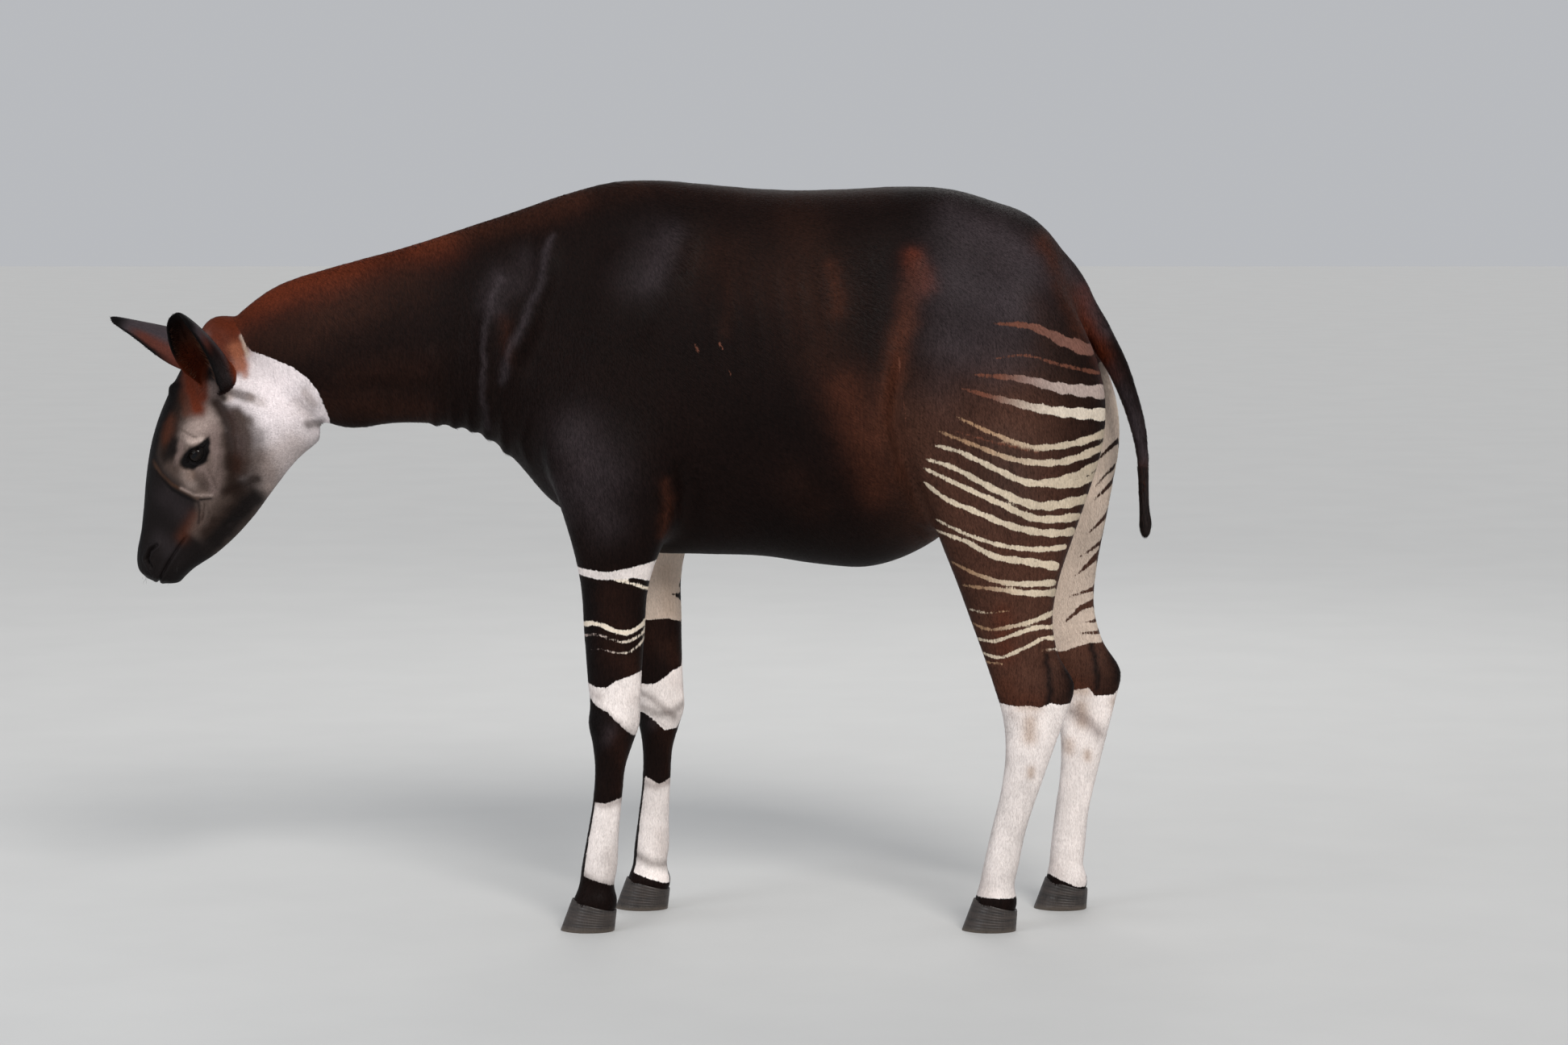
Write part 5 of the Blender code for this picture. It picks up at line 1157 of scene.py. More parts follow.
def raised_lines(places, lines):
    """How far the ridges and grooves raise each place. They fade out towards both ends."""
    rise = np.zeros(len(places))
    for _, line, breadth, height in lines:
        near = beside(places, line, 4 * breadth)
        gap, along = distance_to_line(places[near], line)
        ends = between(along, 0.0, LINE_FADE) * between(1 - along, 0.0, LINE_FADE)
        rise[near] += height * bell(gap, breadth) * (LINE_END + (1 - LINE_END) * ends)
    return rise


def sculpted(mesh, points):
    """The muscles, bones and folds, raised and sunk along the surface's own direction."""
    set_points(mesh, points)
    normals = normals_of(mesh)
    places = home_of(points)
    sideways = between(np.abs(normals[:, 1]), 0.15, 0.75)
    rise = np.zeros(len(points))
    for _, place, reach, height in SWELLINGS:
        far = ((places - place) / reach) ** 2
        rise += height * np.exp(-far.sum(axis=1)) * sideways
    rise += raised_lines(places, LINES + FINE_LINES) * sideways
    below = between(THROAT_FOLD_TOP - points[:, 2], 0.0, 0.06)
    under = between(-normals[:, 2], 0.0, 0.6)
    for at in THROAT_FOLDS:
        near = bell(points[:, 0] - at, THROAT_FOLD_HALF_BREADTH)
        rise += THROAT_FOLD_HEIGHT * near * below * np.maximum(under, 0.4 * sideways)
    for at in RIBS:
        near = bell(points[:, 0] - at + RIB_LEAN * (points[:, 2] - RIB_LEVEL), RIB_HALF_BREADTH)
        rise += RIB_HEIGHT * near * bell(points[:, 2] - RIB_LEVEL, RIB_HALF_LENGTH) * sideways
    for knob in KNOBS:
        rise += KNOB_HEIGHT * bell(np.linalg.norm(points - knob, axis=1), KNOB_REACH)
    return points + rise[:, None] * normals


def carved_mouth(mesh, points):
    """The line of the mouth with its lips, and the nostrils."""
    set_points(mesh, points)
    normals = normals_of(mesh)
    places = points[:, [0, 2]]
    gap, along = distance_to_line(places, MOUTH)
    fade = between(1 - along, 0.0, 0.15)
    rise = LIP_RISE * bell(gap - LIP_OFFSET, LIP_HALF_WIDTH) - MOUTH_DEPTH * bell(gap, MOUTH_HALF_WIDTH)
    rise *= fade * between(np.abs(normals[:, 1]) + np.abs(normals[:, 2]), 0.3, 0.6)
    gap, along = distance_to_line(places, NOSTRIL)
    sideways = between(np.abs(normals[:, 1]), 0.2, 0.6)
    ends = between(along, 0.0, 0.25) * between(1 - along, 0.0, 0.3)
    rise += NOSTRIL_RIM_RISE * bell(gap - NOSTRIL_RIM_OFFSET, NOSTRIL_RIM_HALF_WIDTH) * sideways
    rise -= NOSTRIL_DEPTH * bell(gap, NOSTRIL_HALF_WIDTH) * sideways * (0.3 + 0.7 * ends)
    return points + rise[:, None] * normals


def eye_frame(side):
    """Centre of an eye and its axes: outward, along the gap between the lids, and across it."""
    mirror = np.array([1.0, -side, 1.0])
    outward = unit(np.array(EYE_OUTWARD) * mirror)
    corners = np.array(EYE_CORNERS)
    corners = unit(corners - (corners @ outward) * outward)
    return np.array(EYE_CENTRE) * mirror, outward, corners, np.cross(outward, corners)


def lid_arch(along):
    """Half of the gap between the lids, at a distance along it from the middle."""
    return LID_HALF_HEIGHT * np.sqrt(np.clip(1 - (along / LID_HALF_LENGTH) ** 2, 0.0, 1.0)) ** 1.4


def with_lids(points):
    """The skin drawn over the eyeballs as lids, and sunk behind them between the lids."""
    for side in SIDES:
        centre, outward, corners, across = eye_frame(side)
        away = points - centre
        far = np.linalg.norm(away, axis=1)
        front = (away @ outward) / np.maximum(far, 1e-9)
        along, over = away @ corners, away @ across
        outside = between(np.abs(over) - lid_arch(along), -LID_EDGE, LID_EDGE)
        target = EYE_RADIUS - SOCKET_DEPTH + outside * (SOCKET_DEPTH + LID_THICKNESS)
        near = between(front, 0.10, 0.50) * between(LID_REACH - far, 0.0, LID_FADE)
        lid = np.maximum(target, np.where(outside > 0.99, np.minimum(far, target + LID_SLACK), 0.0))
        length = far + near * (lid - far)
        points = centre + away * (length / np.maximum(far, 1e-9))[:, None]
    return points


def eye_distance(points):
    """How far each point lies from the middle of the nearer eye."""
    return np.minimum(*(np.linalg.norm(points - eye_frame(side)[0], axis=1) for side in SIDES))


def near_features(points):
    """Which points lie about the eyes, the nostrils and the mouth."""
    places = points[:, [0, 2]]
    found = eye_distance(points) < EYE_RADIUS + EYE_REACH
    for line in (MOUTH, NOSTRIL):
        found |= distance_to_line(places, line)[0] < FEATURE_REACH
    return found


def on_tail(points):
    """1 on the free part of the tail, 0 off it."""
    gap, along = distance_to_line(points[:, [0, 2]], [(x, z) for x, z, _ in TAIL])
    line = np.array(TAIL)
    steps = np.linalg.norm(np.diff(line[:, :2], axis=0), axis=1)
    starts = np.concatenate([[0.0], np.cumsum(steps)])
    radius = np.interp(along, starts / starts[-1], line[:, 2])
    away = np.hypot(gap, points[:, 1])
    return between(1.5 * radius + 0.004 - away, 0.0, 0.008) * between(along, 0.22, 0.34)


def tail_at(height):
    """The x of the tail's middle line and the tail's radius, at a height or at several."""
    x, z, radius = np.array(TAIL).T
    return np.interp(-height, -z, x), np.interp(-height, -z, radius)


def whole_body():
    """The lofts of trunk, head, tail and legs fused into one closed mesh."""
    pieces = [
        body_loft("trunk", TRUNK),
        body_loft("head", HEAD),
        loft("tail", round_rings(TAIL, TAIL_SIDES, RING_SPACING)),
    ]
    for side in SIDES:
        pieces.append(leg_loft("foreleg", FORELEG, side, FORE_STEP))
        pieces.append(leg_loft("hindleg", HINDLEG, side, HIND_STEP))
    return remeshed(joined("okapi_skin", pieces), VOXEL)


def body_skin():
    """The body's skin: smoothed where its parts meet, divided finer on the head, and sculpted."""
    whole = whole_body()
    mesh = whole.data
    points = points_of(mesh)
    trunk = between(points[:, 0], *TRUNK_FRONT) * between(points[:, 2], *TRUNK_FOOT)
    trunk *= 1 - on_tail(points)
    points = smoothed(mesh, points, 0.5 * trunk, TRUNK_ROUNDS)
    jaw = bell(points[:, 0] - JAW_JOINT, JAW_JOINT_REACH)
    points = smoothed(mesh, points, np.where(jaw > 0.01, 0.4 * jaw, 0.0), JAW_ROUNDS)
    points = evened(mesh, points, np.ones(len(points)), EVEN_ROUNDS)
    set_points(mesh, points)
    finer(mesh, points[:, 0] < FINE_FRONT)
    points = points_of(mesh)
    head = between(FINE_FRONT + 0.03 - points[:, 0], 0.0, 0.02)
    set_points(mesh, evened(mesh, points, head, HEAD_ROUNDS))
    finer(mesh, near_features(points_of(mesh)))
    finer(mesh, eye_distance(points_of(mesh)) < EYE_RADIUS + LID_FINE_REACH)
    points = points_of(mesh)
    points = evened(mesh, points, 1.0 * near_features(points), FEATURE_ROUNDS)
    points = sculpted(mesh, points)
    set_points(mesh, points)
    in_head = between(THIN_COAT_FRONT - points[:, 0], 0.0, 0.06)
    in_foot = between(THIN_COAT_TOP - points[:, 2], 0.0, 0.20)
    depth = COAT_DEPTH + (HEAD_COAT_DEPTH - COAT_DEPTH) * np.maximum(in_head, in_foot)
    points = points - depth[:, None] * normals_of(mesh)
    points = carved_mouth(mesh, points)
    set_points(mesh, with_lids(points))
    return whole


def ear_axes(name):
    """An ear's root, its direction, where its cup opens to, the direction across both, and its length."""
    root, tip, cup, _ = EARS[name]
    root = np.array(root)
    way = unit(np.array(tip) - root)
    cup = unit(np.array(cup) - (np.array(cup) @ way) * way)
    return root, way, cup, np.cross(way, cup), np.linalg.norm(np.array(tip) - root)


def ear(name):
    """An ear as a leaf rolled into a cup, with its place along and round the cup kept for each point."""
    root, way, cup, across, length = ear_axes(name)
    slender = EARS[name][3]
    table = [
        (at * length, 0.0, 0.0, radius, math.radians(opening), depth)
        for at, radius, opening, depth in EAR_SHAPE
    ]
    rings, marks = [], []
    for at, _, _, radius, opening, depth in through(table, length / EAR_RINGS):
        share = at / length
        end = math.sqrt(max(1e-4, 1 - (max(0.0, share - EAR_TIP_START) / EAR_TIP_REACH) ** 2))
        radius *= (0.25 + 0.75 * end) * (1 - slender * between(share, *EAR_SLENDER))
        radius = max(radius, EAR_LEAST_RADIUS)
        centre = root + at * way + EAR_LIFT * (radius - EAR_SHAPE[0][1]) * cup
        angles = np.linspace(-opening, opening, EAR_POINTS)[:, None]
        lie = -np.cos(angles) * cup + np.sin(angles) * across
        wave = EAR_WAVE * np.sin(angles * 9) * math.sin(math.pi * share)
        thin = depth * (0.35 + 0.65 * np.sqrt(np.clip(1 - (angles / opening) ** 6, 0.0, 1.0)))
        outer = centre + radius * lie
        inner = centre + (radius - thin + wave) * lie
        rings.append(np.vstack([outer, inner[::-1]]))
        around = angles[:, 0] / opening
        inside = np.repeat([0.0, 1.0], EAR_POINTS)
        both_ways = np.concatenate([around, around[::-1]])
        marks.append(np.column_stack([np.full(2 * EAR_POINTS, share), both_ways, inside]))
    return loft(name, rings), np.vstack(rings), np.vstack(marks)


def with_ears(skin):
    """The skin united with both ears, smoothed round their roots, and what each point knows of its ear."""
    ears = {name: ear(name) for name in EARS}
    skin = united(skin, [made[0] for made in ears.values()])
    mesh = skin.data
    points = points_of(mesh)
    count = len(points)
    known = {key: np.zeros(count) for key in ("ear", "along", "around", "inside", "side")}
    close = np.zeros(count)
    ways = np.zeros((count, 3))
    for name, (_, places, marks) in ears.items():
        tree = KDTree(len(places))
        for i, place in enumerate(places):
            tree.insert(place, i)
        tree.balance()
        root, way, _, _, length = ear_axes(name)
        far = np.linalg.norm(points - root - 0.5 * length * way, axis=1)
        for index in np.nonzero(far < 0.62 * length + 0.04)[0]:
            _, found, gap = tree.find(points[index])
            if gap < EAR_TOUCH:
                known["ear"][index] = 1.0
                known["along"][index], known["around"][index], known["inside"][index] = marks[found]
                known["side"][index] = -1.0 if name == "ear_left" else 1.0
                ways[index] = way
            if gap < EAR_JOIN:
                close[index] = 1.0
    on_root = known["ear"] * between(0.30 - known["along"], 0.0, 0.15)
    join = np.maximum(close * (1 - known["ear"]), on_root)
    points = smoothed(mesh, points, 0.5 * join, EAR_JOIN_ROUNDS)
    points = evened(mesh, points, np.maximum(known["ear"], close), EAR_EVEN_ROUNDS)
    set_points(mesh, points)
    return skin, known, ways


def wobbled(places, reach):
    """Places moved a little, so that the edges of marks wander as in a grown coat."""
    x, z = places.T
    across = np.sin(61 * z + 23 * x) + 0.6 * np.sin(137 * z - 71 * x + 1.7) + 0.4 * np.sin(293 * z + 0.6)
    along = np.sin(53 * x - 31 * z + 0.9) + 0.6 * np.sin(149 * x + 83 * z) + 0.4 * np.sin(311 * x + 2.1)
    return places + 0.5 * reach * np.column_stack([across, along])


def blended(colours, share, name):
    """Colours drawn towards a named one, as far as the share of each says."""
    return (1 - share[:, None]) * colours + share[:, None] * np.array(COLOURS[name])


def painted(colours, places, marks, core, amount=None):
    """Soft marks laid over colours, one after the other. The core is the share of a mark that is even."""
    for line, breadth, strength, name in marks:
        near = beside(places, line, 3 * breadth)
        if not near.any():
            continue
        gap, _ = distance_to_line(places[near], line)
        share = strength * bell(np.maximum(gap - core * breadth, 0.0), (1 - 0.85 * core) * breadth)
        if amount is not None:
            share *= amount[near]
        colours[near] = blended(colours[near], share, name)
    return colours


def covered(colours, places, outline, softness, name):
    """A field of one colour within a closed line, with a soft edge, laid over colours."""
    return blended(colours, between(depth_in(places, outline), -softness, softness), name)


def curved(line, spacing):
    """The places of a line of the side view, read closely from a smooth curve through it."""
    return through([(x, 0.0, z) for x, z in line], spacing)[:, [0, 2]]


def stripe_depth(places, stripes, mark, pale):
    """Lays stripes over the depth of the pale marks and their colour."""
    for line, front, rear, front_colour, rear_colour in stripes:
        line = curved(line, STRIPE_SPACING)
        near = beside(places, line, STRIPE_REACH)
        gap, along = distance_to_line(places[near], line)
        half = front + (rear - front) * along**0.8
        half *= 1 + 0.16 * np.sin(160.0 * places[near, 0] + 700.0 * line[0, 1])
        deep = half * (0.3 + 0.7 * between(along, 0.0, 0.04)) - gap
        better = deep > mark[near]
        chosen = np.nonzero(near)[0][better]
        mark[chosen] = deep[better]
        share = between(along[better], 0.15, 0.75)
        front_part = np.tile(COLOURS[front_colour], (len(chosen), 1))
        pale[chosen] = blended(front_part, share, rear_colour)
    return mark, pale


def leg_markings(places, inward, pattern):
    """Of one pair of legs: the depth in a pale mark, its colour, and how far each point is turned inward."""
    mark = np.full(len(places), NO_MARK)
    pale = np.tile(COLOURS["cream"], (len(places), 1))
    mark, pale = stripe_depth(places, pattern["stripes"], mark, pale)
    for field in pattern["outer"]:
        deep = depth_in(places, field)
        chosen = deep > mark
        mark[chosen] = deep[chosen]
        pale[chosen] = COLOURS["white"]
    inner = np.full(len(places), NO_MARK)
    for field in pattern["inner"]:
        inner = np.maximum(inner, depth_in(places, field))
    for line, rear, front in pattern["streaks"]:
        gap, along = distance_to_line(places, line)
        inner = np.minimum(inner, gap - (rear + (front - rear) * along))
    turned = between(inward, *pattern["turn"])
    return (1 - turned) * mark + turned * inner, pale, turned


def face_colours(places, normals):
    """The colours of the face, one laid over the other on its pale ground."""
    astray = wobbled(places, FACE_WOBBLE)
    pale = np.tile(COLOURS["cheek"], (len(places), 1))
    pale = covered(pale, places, FACE_FRONT, FACE_FRONT_SOFTNESS, "taupe")
    pale = painted(pale, astray, FACE_MARKS, FACE_CORE)
    pale = covered(pale, places, MUZZLE, MUZZLE_SOFTNESS, "soot")
    pale = painted(pale, places, MUZZLE_MARKS, COAT_CORE)
    pale = covered(pale, astray, EYE_SURROUND, EYE_SOFTNESS, "black")
    front = between(-normals[:, 0] - 0.25 * np.abs(normals[:, 1]), *BLAZE_TURN)
    front *= between(BLAZE_TOP - places[:, 1], 0.0, 0.06)
    return blended(pale, front, "black")


def markings(points, normals, known):
    """Of each point: the dark colour, the pale colour, and the depth inside a pale mark in metres."""
    count = len(points)
    places = home_of(points)
    x, z = places.T
    dark = np.tile(COLOURS["chocolate"], (count, 1))
    dark = painted(dark, wobbled(places, COAT_WOBBLE), COAT_MARKS, COAT_CORE)
    pale = np.tile(COLOURS["cream"], (count, 1))
    mark = np.full(count, NO_MARK)
    inward = normals[:, 1] * -np.sign(points[:, 1])

    hind = (x > HIND_MARKS_FRONT) & (z < HIND_MARKS_TOP)
    mark[hind], leg_pale, turned = leg_markings(places[hind], inward[hind], LEG_PATTERNS["hind"])
    pale[hind] = blended(leg_pale, turned * (z[hind] > HOCK_TOP), "thigh_inside")

    fore = (x < FORELEGS_REAR) & (x > FORELEGS_FRONT) & (z < LEG_TOP)
    leg_mark, pale[fore], _ = leg_markings(places[fore], inward[fore], LEG_PATTERNS["fore"])
    shin = between(SHIN_TOP - z[fore], 0.0, 0.03)
    front_line = SHIN_DEPTH * (SHIN_TURN + normals[fore, 0])
    mark[fore] = np.where(shin > 0, np.minimum(leg_mark, front_line / np.maximum(shin, 0.01)), leg_mark)
    pale[(z > ELBOW_INSIDE) & (inward > 0.1) & fore] = COLOURS["thigh_inside"]
    pale = painted(pale, places, PALE_MARKS, COAT_CORE)
    pale = painted(pale, places, INNER_MARKS, COAT_CORE, between(inward, 0.0, 0.4))

    ribs = beside(places, SCARRED_RIBS, 0.0)
    mark[ribs], pale[ribs] = stripe_depth(places[ribs], SCARS, mark[ribs].copy(), pale[ribs].copy())

    head = x < HEAD_REAR
    pale[head] = face_colours(places[head], normals[head])
    mark[head] = depth_in(places[head], FACE_EDGE)

    on_ear = known["ear"] > 0.5
    dark[on_ear] = pale[on_ear] = ear_colours({key: value[on_ear] for key, value in known.items()})
    mark[on_ear] = EAR_MARK
    return dark, pale, mark


def ear_colours(known):
    """Ears: brown within, a painted blue-grey sheen behind with a reddish foot, and a black rim and tip."""
    along, around, inside = known["along"], known["around"], known["inside"]
    count = len(along)
    front = around * EAR_FRONT * known["side"]
    near_root = between(0.55 - along, 0.0, 0.25)
    within = np.tile(0.9 * np.array(COLOURS["chocolate"]), (count, 1))
    within = blended(within, 0.55 * bell(along - 0.45, 0.22), "warm_brown")
    within = blended(within, 0.9 * between(front, 0.10, 0.70) * near_root, "orange")
    # The back of the ear: a painted blue-grey sheen, reddish towards the root.
    behind = np.tile(COLOURS["slate_sheen"], (count, 1))
    behind = blended(behind, between(0.42 - along, 0.0, 0.30), "rust")
    edge = between(np.abs(around), 0.45, 0.70) * between(0.85 - along, 0.0, 0.2)
    behind = blended(behind, 0.7 * edge, "rust")
    colour = inside[:, None] * within + (1 - inside[:, None]) * behind
    rear = between(-front, 0.40, 0.66) * between(0.78 - along, 0.0, 0.25) * (known["side"] < 0)
    colour = blended(colour, 0.95 * rear * (1 - inside), "black")
    rim = between(np.abs(around), 0.80, 0.93) * between(along, 0.02, 0.12)
    rim *= 1 - between(front, 0.3, 0.6) * near_root
    return blended(colour, np.maximum(rim, between(along, 0.80, 0.92)), "black")


def lie_of(points, normals, known, ways):
    """The direction in which the hair lies at each point, along the surface."""
    places = home_of(points)
    total = np.zeros((len(points), 2))
    for place, way in LIE:
        far = ((places - place) ** 2).sum(axis=1) / LIE_REACH**2
        total += (1 / (0.05 + far) ** 2)[:, None] * unit(way)
    lie = np.column_stack([total[:, 0], np.zeros(len(points)), total[:, 1]])
    on_ear = known["ear"] > 0.5
    lie[on_ear] = ways[on_ear]
    lie = units(lie)
    lie -= (lie * normals).sum(axis=1)[:, None] * normals
    weak = np.linalg.norm(lie, axis=1) < 0.15
    spare = np.tile(SPARE_LIE, (len(points), 1))
    spare -= (spare * normals).sum(axis=1)[:, None] * normals
    lie[weak] = spare[weak]
    return units(lie)


def put(mesh, name, values):
    """Keeps numbers or colours on the points of a mesh."""
    values = np.asarray(values, np.float32)
    if values.ndim == 1:
        mesh.attributes.new(name, "FLOAT", "POINT").data.foreach_set("value", values)
        return
    colours = np.column_stack([values, np.ones(len(values), np.float32)])
    mesh.attributes.new(name, "FLOAT_COLOR", "POINT").data.foreach_set("color", colours.ravel())


def put_looks(mesh, dark, pale, mark):
    """Keeps both colours, and the depth inside a pale mark in millimetres, on the points of a mesh."""
    put(mesh, "dark", dark)
    put(mesh, "pale", pale)
    put(mesh, "mark", MILLIMETRES * mark)


def scattered(mesh, density, seed):
    """Places spread over a mesh: corner indices and shares of the triangle that each lies in."""
    mesh.calc_loop_triangles()
    corners = np.empty(len(mesh.loop_triangles) * 3, np.int32)
    mesh.loop_triangles.foreach_get("vertices", corners)
    corners = corners.reshape(-1, 3)
    points = points_of(mesh)
    a, b, c = (points[corners[:, k]] for k in range(3))
    areas = np.linalg.norm(np.cross(b - a, c - a), axis=1) / 2
    total = np.cumsum(areas * density[corners].mean(axis=1))
    count = int(total[-1])
    chance = np.random.default_rng(seed)
    at = np.searchsorted(total, (np.arange(count) + chance.random(count)) * total[-1] / count)
    at = np.minimum(at, len(corners) - 1)
    u, v = chance.random(count), chance.random(count)
    over = u + v > 1
    u[over], v[over] = 1 - u[over], 1 - v[over]
    return corners[at], np.column_stack([1 - u - v, u, v])


def read(values, corners, shares):
    """Values of the mesh's points read at scattered places."""
    values = np.asarray(values)
    if values.ndim == 1:
        return (values[corners] * shares).sum(axis=1)
    return (values[corners] * shares[:, :, None]).sum(axis=1)


def part_of(points, known):
    """Which part of the coat each point belongs to."""
    part = np.full(len(points), "body", object)
    part[points[:, 2] < LEG_TOP] = "leg"
    part[points[:, 0] < CROWN_REAR] = "head"
    part[on_tail(points) > 0.5] = "tail"
    part[known["ear"] > 0.5] = "ear"
    return part


def tuft_sizes(points, known):
    """Density, length, width and rise of the tufts at each point, changing gently from part to part."""
    x, z = points[:, 0], points[:, 2]
    shares = (
        ("rump", between(x, 0.05, 0.30)),
        ("leg", between(0.88 - z, 0.0, 0.16)),
        ("head", between(-0.88 - x, 0.0, 0.12)),
        ("muzzle", between(depth_in(points[:, [0, 2]], MUZZLE), -0.020, 0.012) * (x < -1.10)),
        ("muzzle", between(EYE_RADIUS + 0.020 - eye_distance(points), 0.0, 0.014)),
        ("tail", on_tail(points)),
        ("ear", known["ear"]),
    )
    sizes = np.tile(COAT_PARTS["body"], (len(points), 1)).astype(float)
    for name, share in shares:
        sizes += share[:, None] * (np.array(COAT_PARTS[name]) - sizes)
    return sizes


def tuft_mesh(name, tufts, ends):
    """Flat tapered tufts in one mesh, each of three triangles, shaded like the skin that they lie on."""
    roots, normals, lies = tufts["root"], tufts["normal"], tufts["lie"]
    lengths, rises = tufts["length"][:, None], tufts["rise"][:, None]
    count = len(roots)
    sides = np.cross(normals, lies)
    half = (tufts["width"] / 2)[:, None] * sides
    middle = roots + 0.45 * lengths * lies + 0.75 * rises * normals
    tips = roots + lengths * lies + rises * normals
    low = roots - TUFT_SUNK * normals
    points = np.stack([low - 0.7 * half, low + 0.7 * half, middle - half, middle + half, tips], axis=1)
    left = units(normals - TUFT_TILT * sides)
    right = units(normals + TUFT_TILT * sides)
    shade = np.stack([left, right, left, right, units(normals + 0.25 * lies)], axis=1)
    first = (np.arange(count) * 5)[:, None]
    faces = np.concatenate([first + [0, 3, 1], first + [0, 2, 3], first + [2, 4, 3]], axis=1).ravel()
    mesh = bpy.data.meshes.new(name)
    mesh.vertices.add(count * 5)
    mesh.vertices.foreach_set("co", points.astype(np.float32).ravel())
    mesh.loops.add(len(faces))
    mesh.loops.foreach_set("vertex_index", faces.astype(np.int32))
    mesh.polygons.add(len(faces) // 3)
    mesh.polygons.foreach_set("loop_start", np.arange(0, len(faces), 3, dtype=np.int32))
    mesh.update(calc_edges=True)
    mesh.shade_smooth()
    mesh.normals_split_custom_set_from_vertices(shade.reshape(-1, 3).tolist())
    start, end = ends
    half_way = (start + end) / 2
    values = np.stack([start, start, half_way, half_way, end], axis=1).reshape(-1, 7)
    put_looks(mesh, values[:, 0:3], values[:, 3:6], values[:, 6])
    put(mesh, "vary", np.repeat(tufts["vary"], 5))
    corner = np.array([(-0.5, -0.5), (0.5, -0.5), (-0.5, 0.3), (0.5, 0.3), (0.0, 0.5)]) * UV_PATCH
    places = (scaled_unwrap(tufts["unwrap"])[:, None, :] + corner[None, :, :]).reshape(-1, 2)[faces]
    layer = mesh.uv_layers.new(name="OFBake")
    layer.data.foreach_set("uv", places.astype(np.float32).ravel())
    return object_of(name, mesh)


def unwrapped(points, part, known):
    """A place on an unwrap of the skin: round each part, and along it."""
    x, y, z = points.T
    home = home_of(points)[:, 0]
    face_way = unit(np.array(UNWRAP_LIPS) - UNWRAP_CROWN)
    face = points[:, [0, 2]] - UNWRAP_CROWN
    leg_middle = np.where(x < 0, *UNWRAP_LEGS)
    sections = np.array([((u[0] + l[0]) / 2, (u[1] + l[1]) / 2) for _, u, l, *_ in TRUNK])
    body_middle = np.interp(x, sections[:, 0], sections[:, 1])
    turns = {
        "head": (y, face @ np.array([face_way[1], -face_way[0]]), face @ face_way),
        "leg": (np.abs(y) - HOOF_MIDDLE, home - leg_middle, z),
        "tail": (y, x - tail_at(z)[0], z),
        "body": (y, z - body_middle, x),
    }
    around = 0.25 + 0.22 * known["around"] + 0.5 * known["inside"]
    uv = np.column_stack([around, known["along"]])
    for name, (sideways, upward, along) in turns.items():
        chosen = part == name
        uv[chosen] = np.column_stack([np.arctan2(sideways, upward), along])[chosen]
    return uv


def scaled_unwrap(uv):
    """The unwrap of one coat piece spread over the unit square, with a margin for the patches."""
    low, high = uv.min(axis=0), uv.max(axis=0)
    return 0.004 + 0.992 * (uv - low) / np.maximum(high - low, 1e-6)


def bare(points):
    """Where no hair grows: in the hooves, between the lids, along the mouth and in the nostrils."""
    found = points[:, 2] < HOOF_LINE
    for side in SIDES:
        centre, _, corners, across = eye_frame(side)
        away = points - centre
        open_lids = np.abs(away @ across) < lid_arch(away @ corners) + 0.0015
        found |= open_lids & (np.linalg.norm(away, axis=1) < EYE_RADIUS + 0.006)
    places = points[:, [0, 2]]
    mouth = distance_to_line(places, MOUTH)[0] < 0.0035
    nostril = distance_to_line(places, NOSTRIL)[0] < 0.0045
    return found | ((mouth | nostril) & (points[:, 0] < FACE_REAR))


def coat(skin, known, ways):
    """The tufts of the whole coat, in pieces that are small enough."""
    mesh = skin.data
    points, normals = points_of(mesh), normals_of(mesh)
    sizes = tuft_sizes(points, known)
    density = np.where(bare(points), 0.0, sizes[:, 0])
    corners, shares = scattered(mesh, density, SEED)
    nearest = corners[np.arange(len(corners)), shares.argmax(axis=1)]
    roots = read(points, corners, shares)
    facing = units(read(normals, corners, shares))
    part = part_of(points, known)[nearest]
    known = {key: value[nearest] for key, value in known.items()}
    lies = lie_of(roots, facing, known, ways[nearest])
    chance = np.random.default_rng(SEED + 1)
    count = len(roots)
    turn = chance.normal(0.0, LIE_SPREAD, count)[:, None]
    lies = units(np.cos(turn) * lies + np.sin(turn) * np.cross(facing, lies))
    sizes = read(sizes, corners, shares)
    tufts = {"root": roots, "normal": facing, "lie": lies, "unwrap": unwrapped(roots, part, known)}
    tufts["length"] = sizes[:, 1] * chance.uniform(0.70, 1.25, count)
    tufts["width"] = sizes[:, 2] * chance.uniform(0.75, 1.25, count)
    tufts["rise"] = sizes[:, 3] * chance.uniform(0.35, 1.35, count)
    fuzz = chance.normal(0.0, EDGE_FUZZ, count)
    tufts["vary"] = chance.random(count)
    ends = []
    for share in TUFT_PAINT:
        dark, pale, mark = markings(roots + share * tufts["length"][:, None] * lies, facing, known)
        ends.append(np.column_stack([dark, pale, mark + fuzz]))
    made = []
    for name, chosen in coat_groups(roots, part, known):
        own = {key: value[chosen] for key, value in tufts.items()}
        made.append(tuft_mesh(name, own, [end[chosen] for end in ends]))
    return made


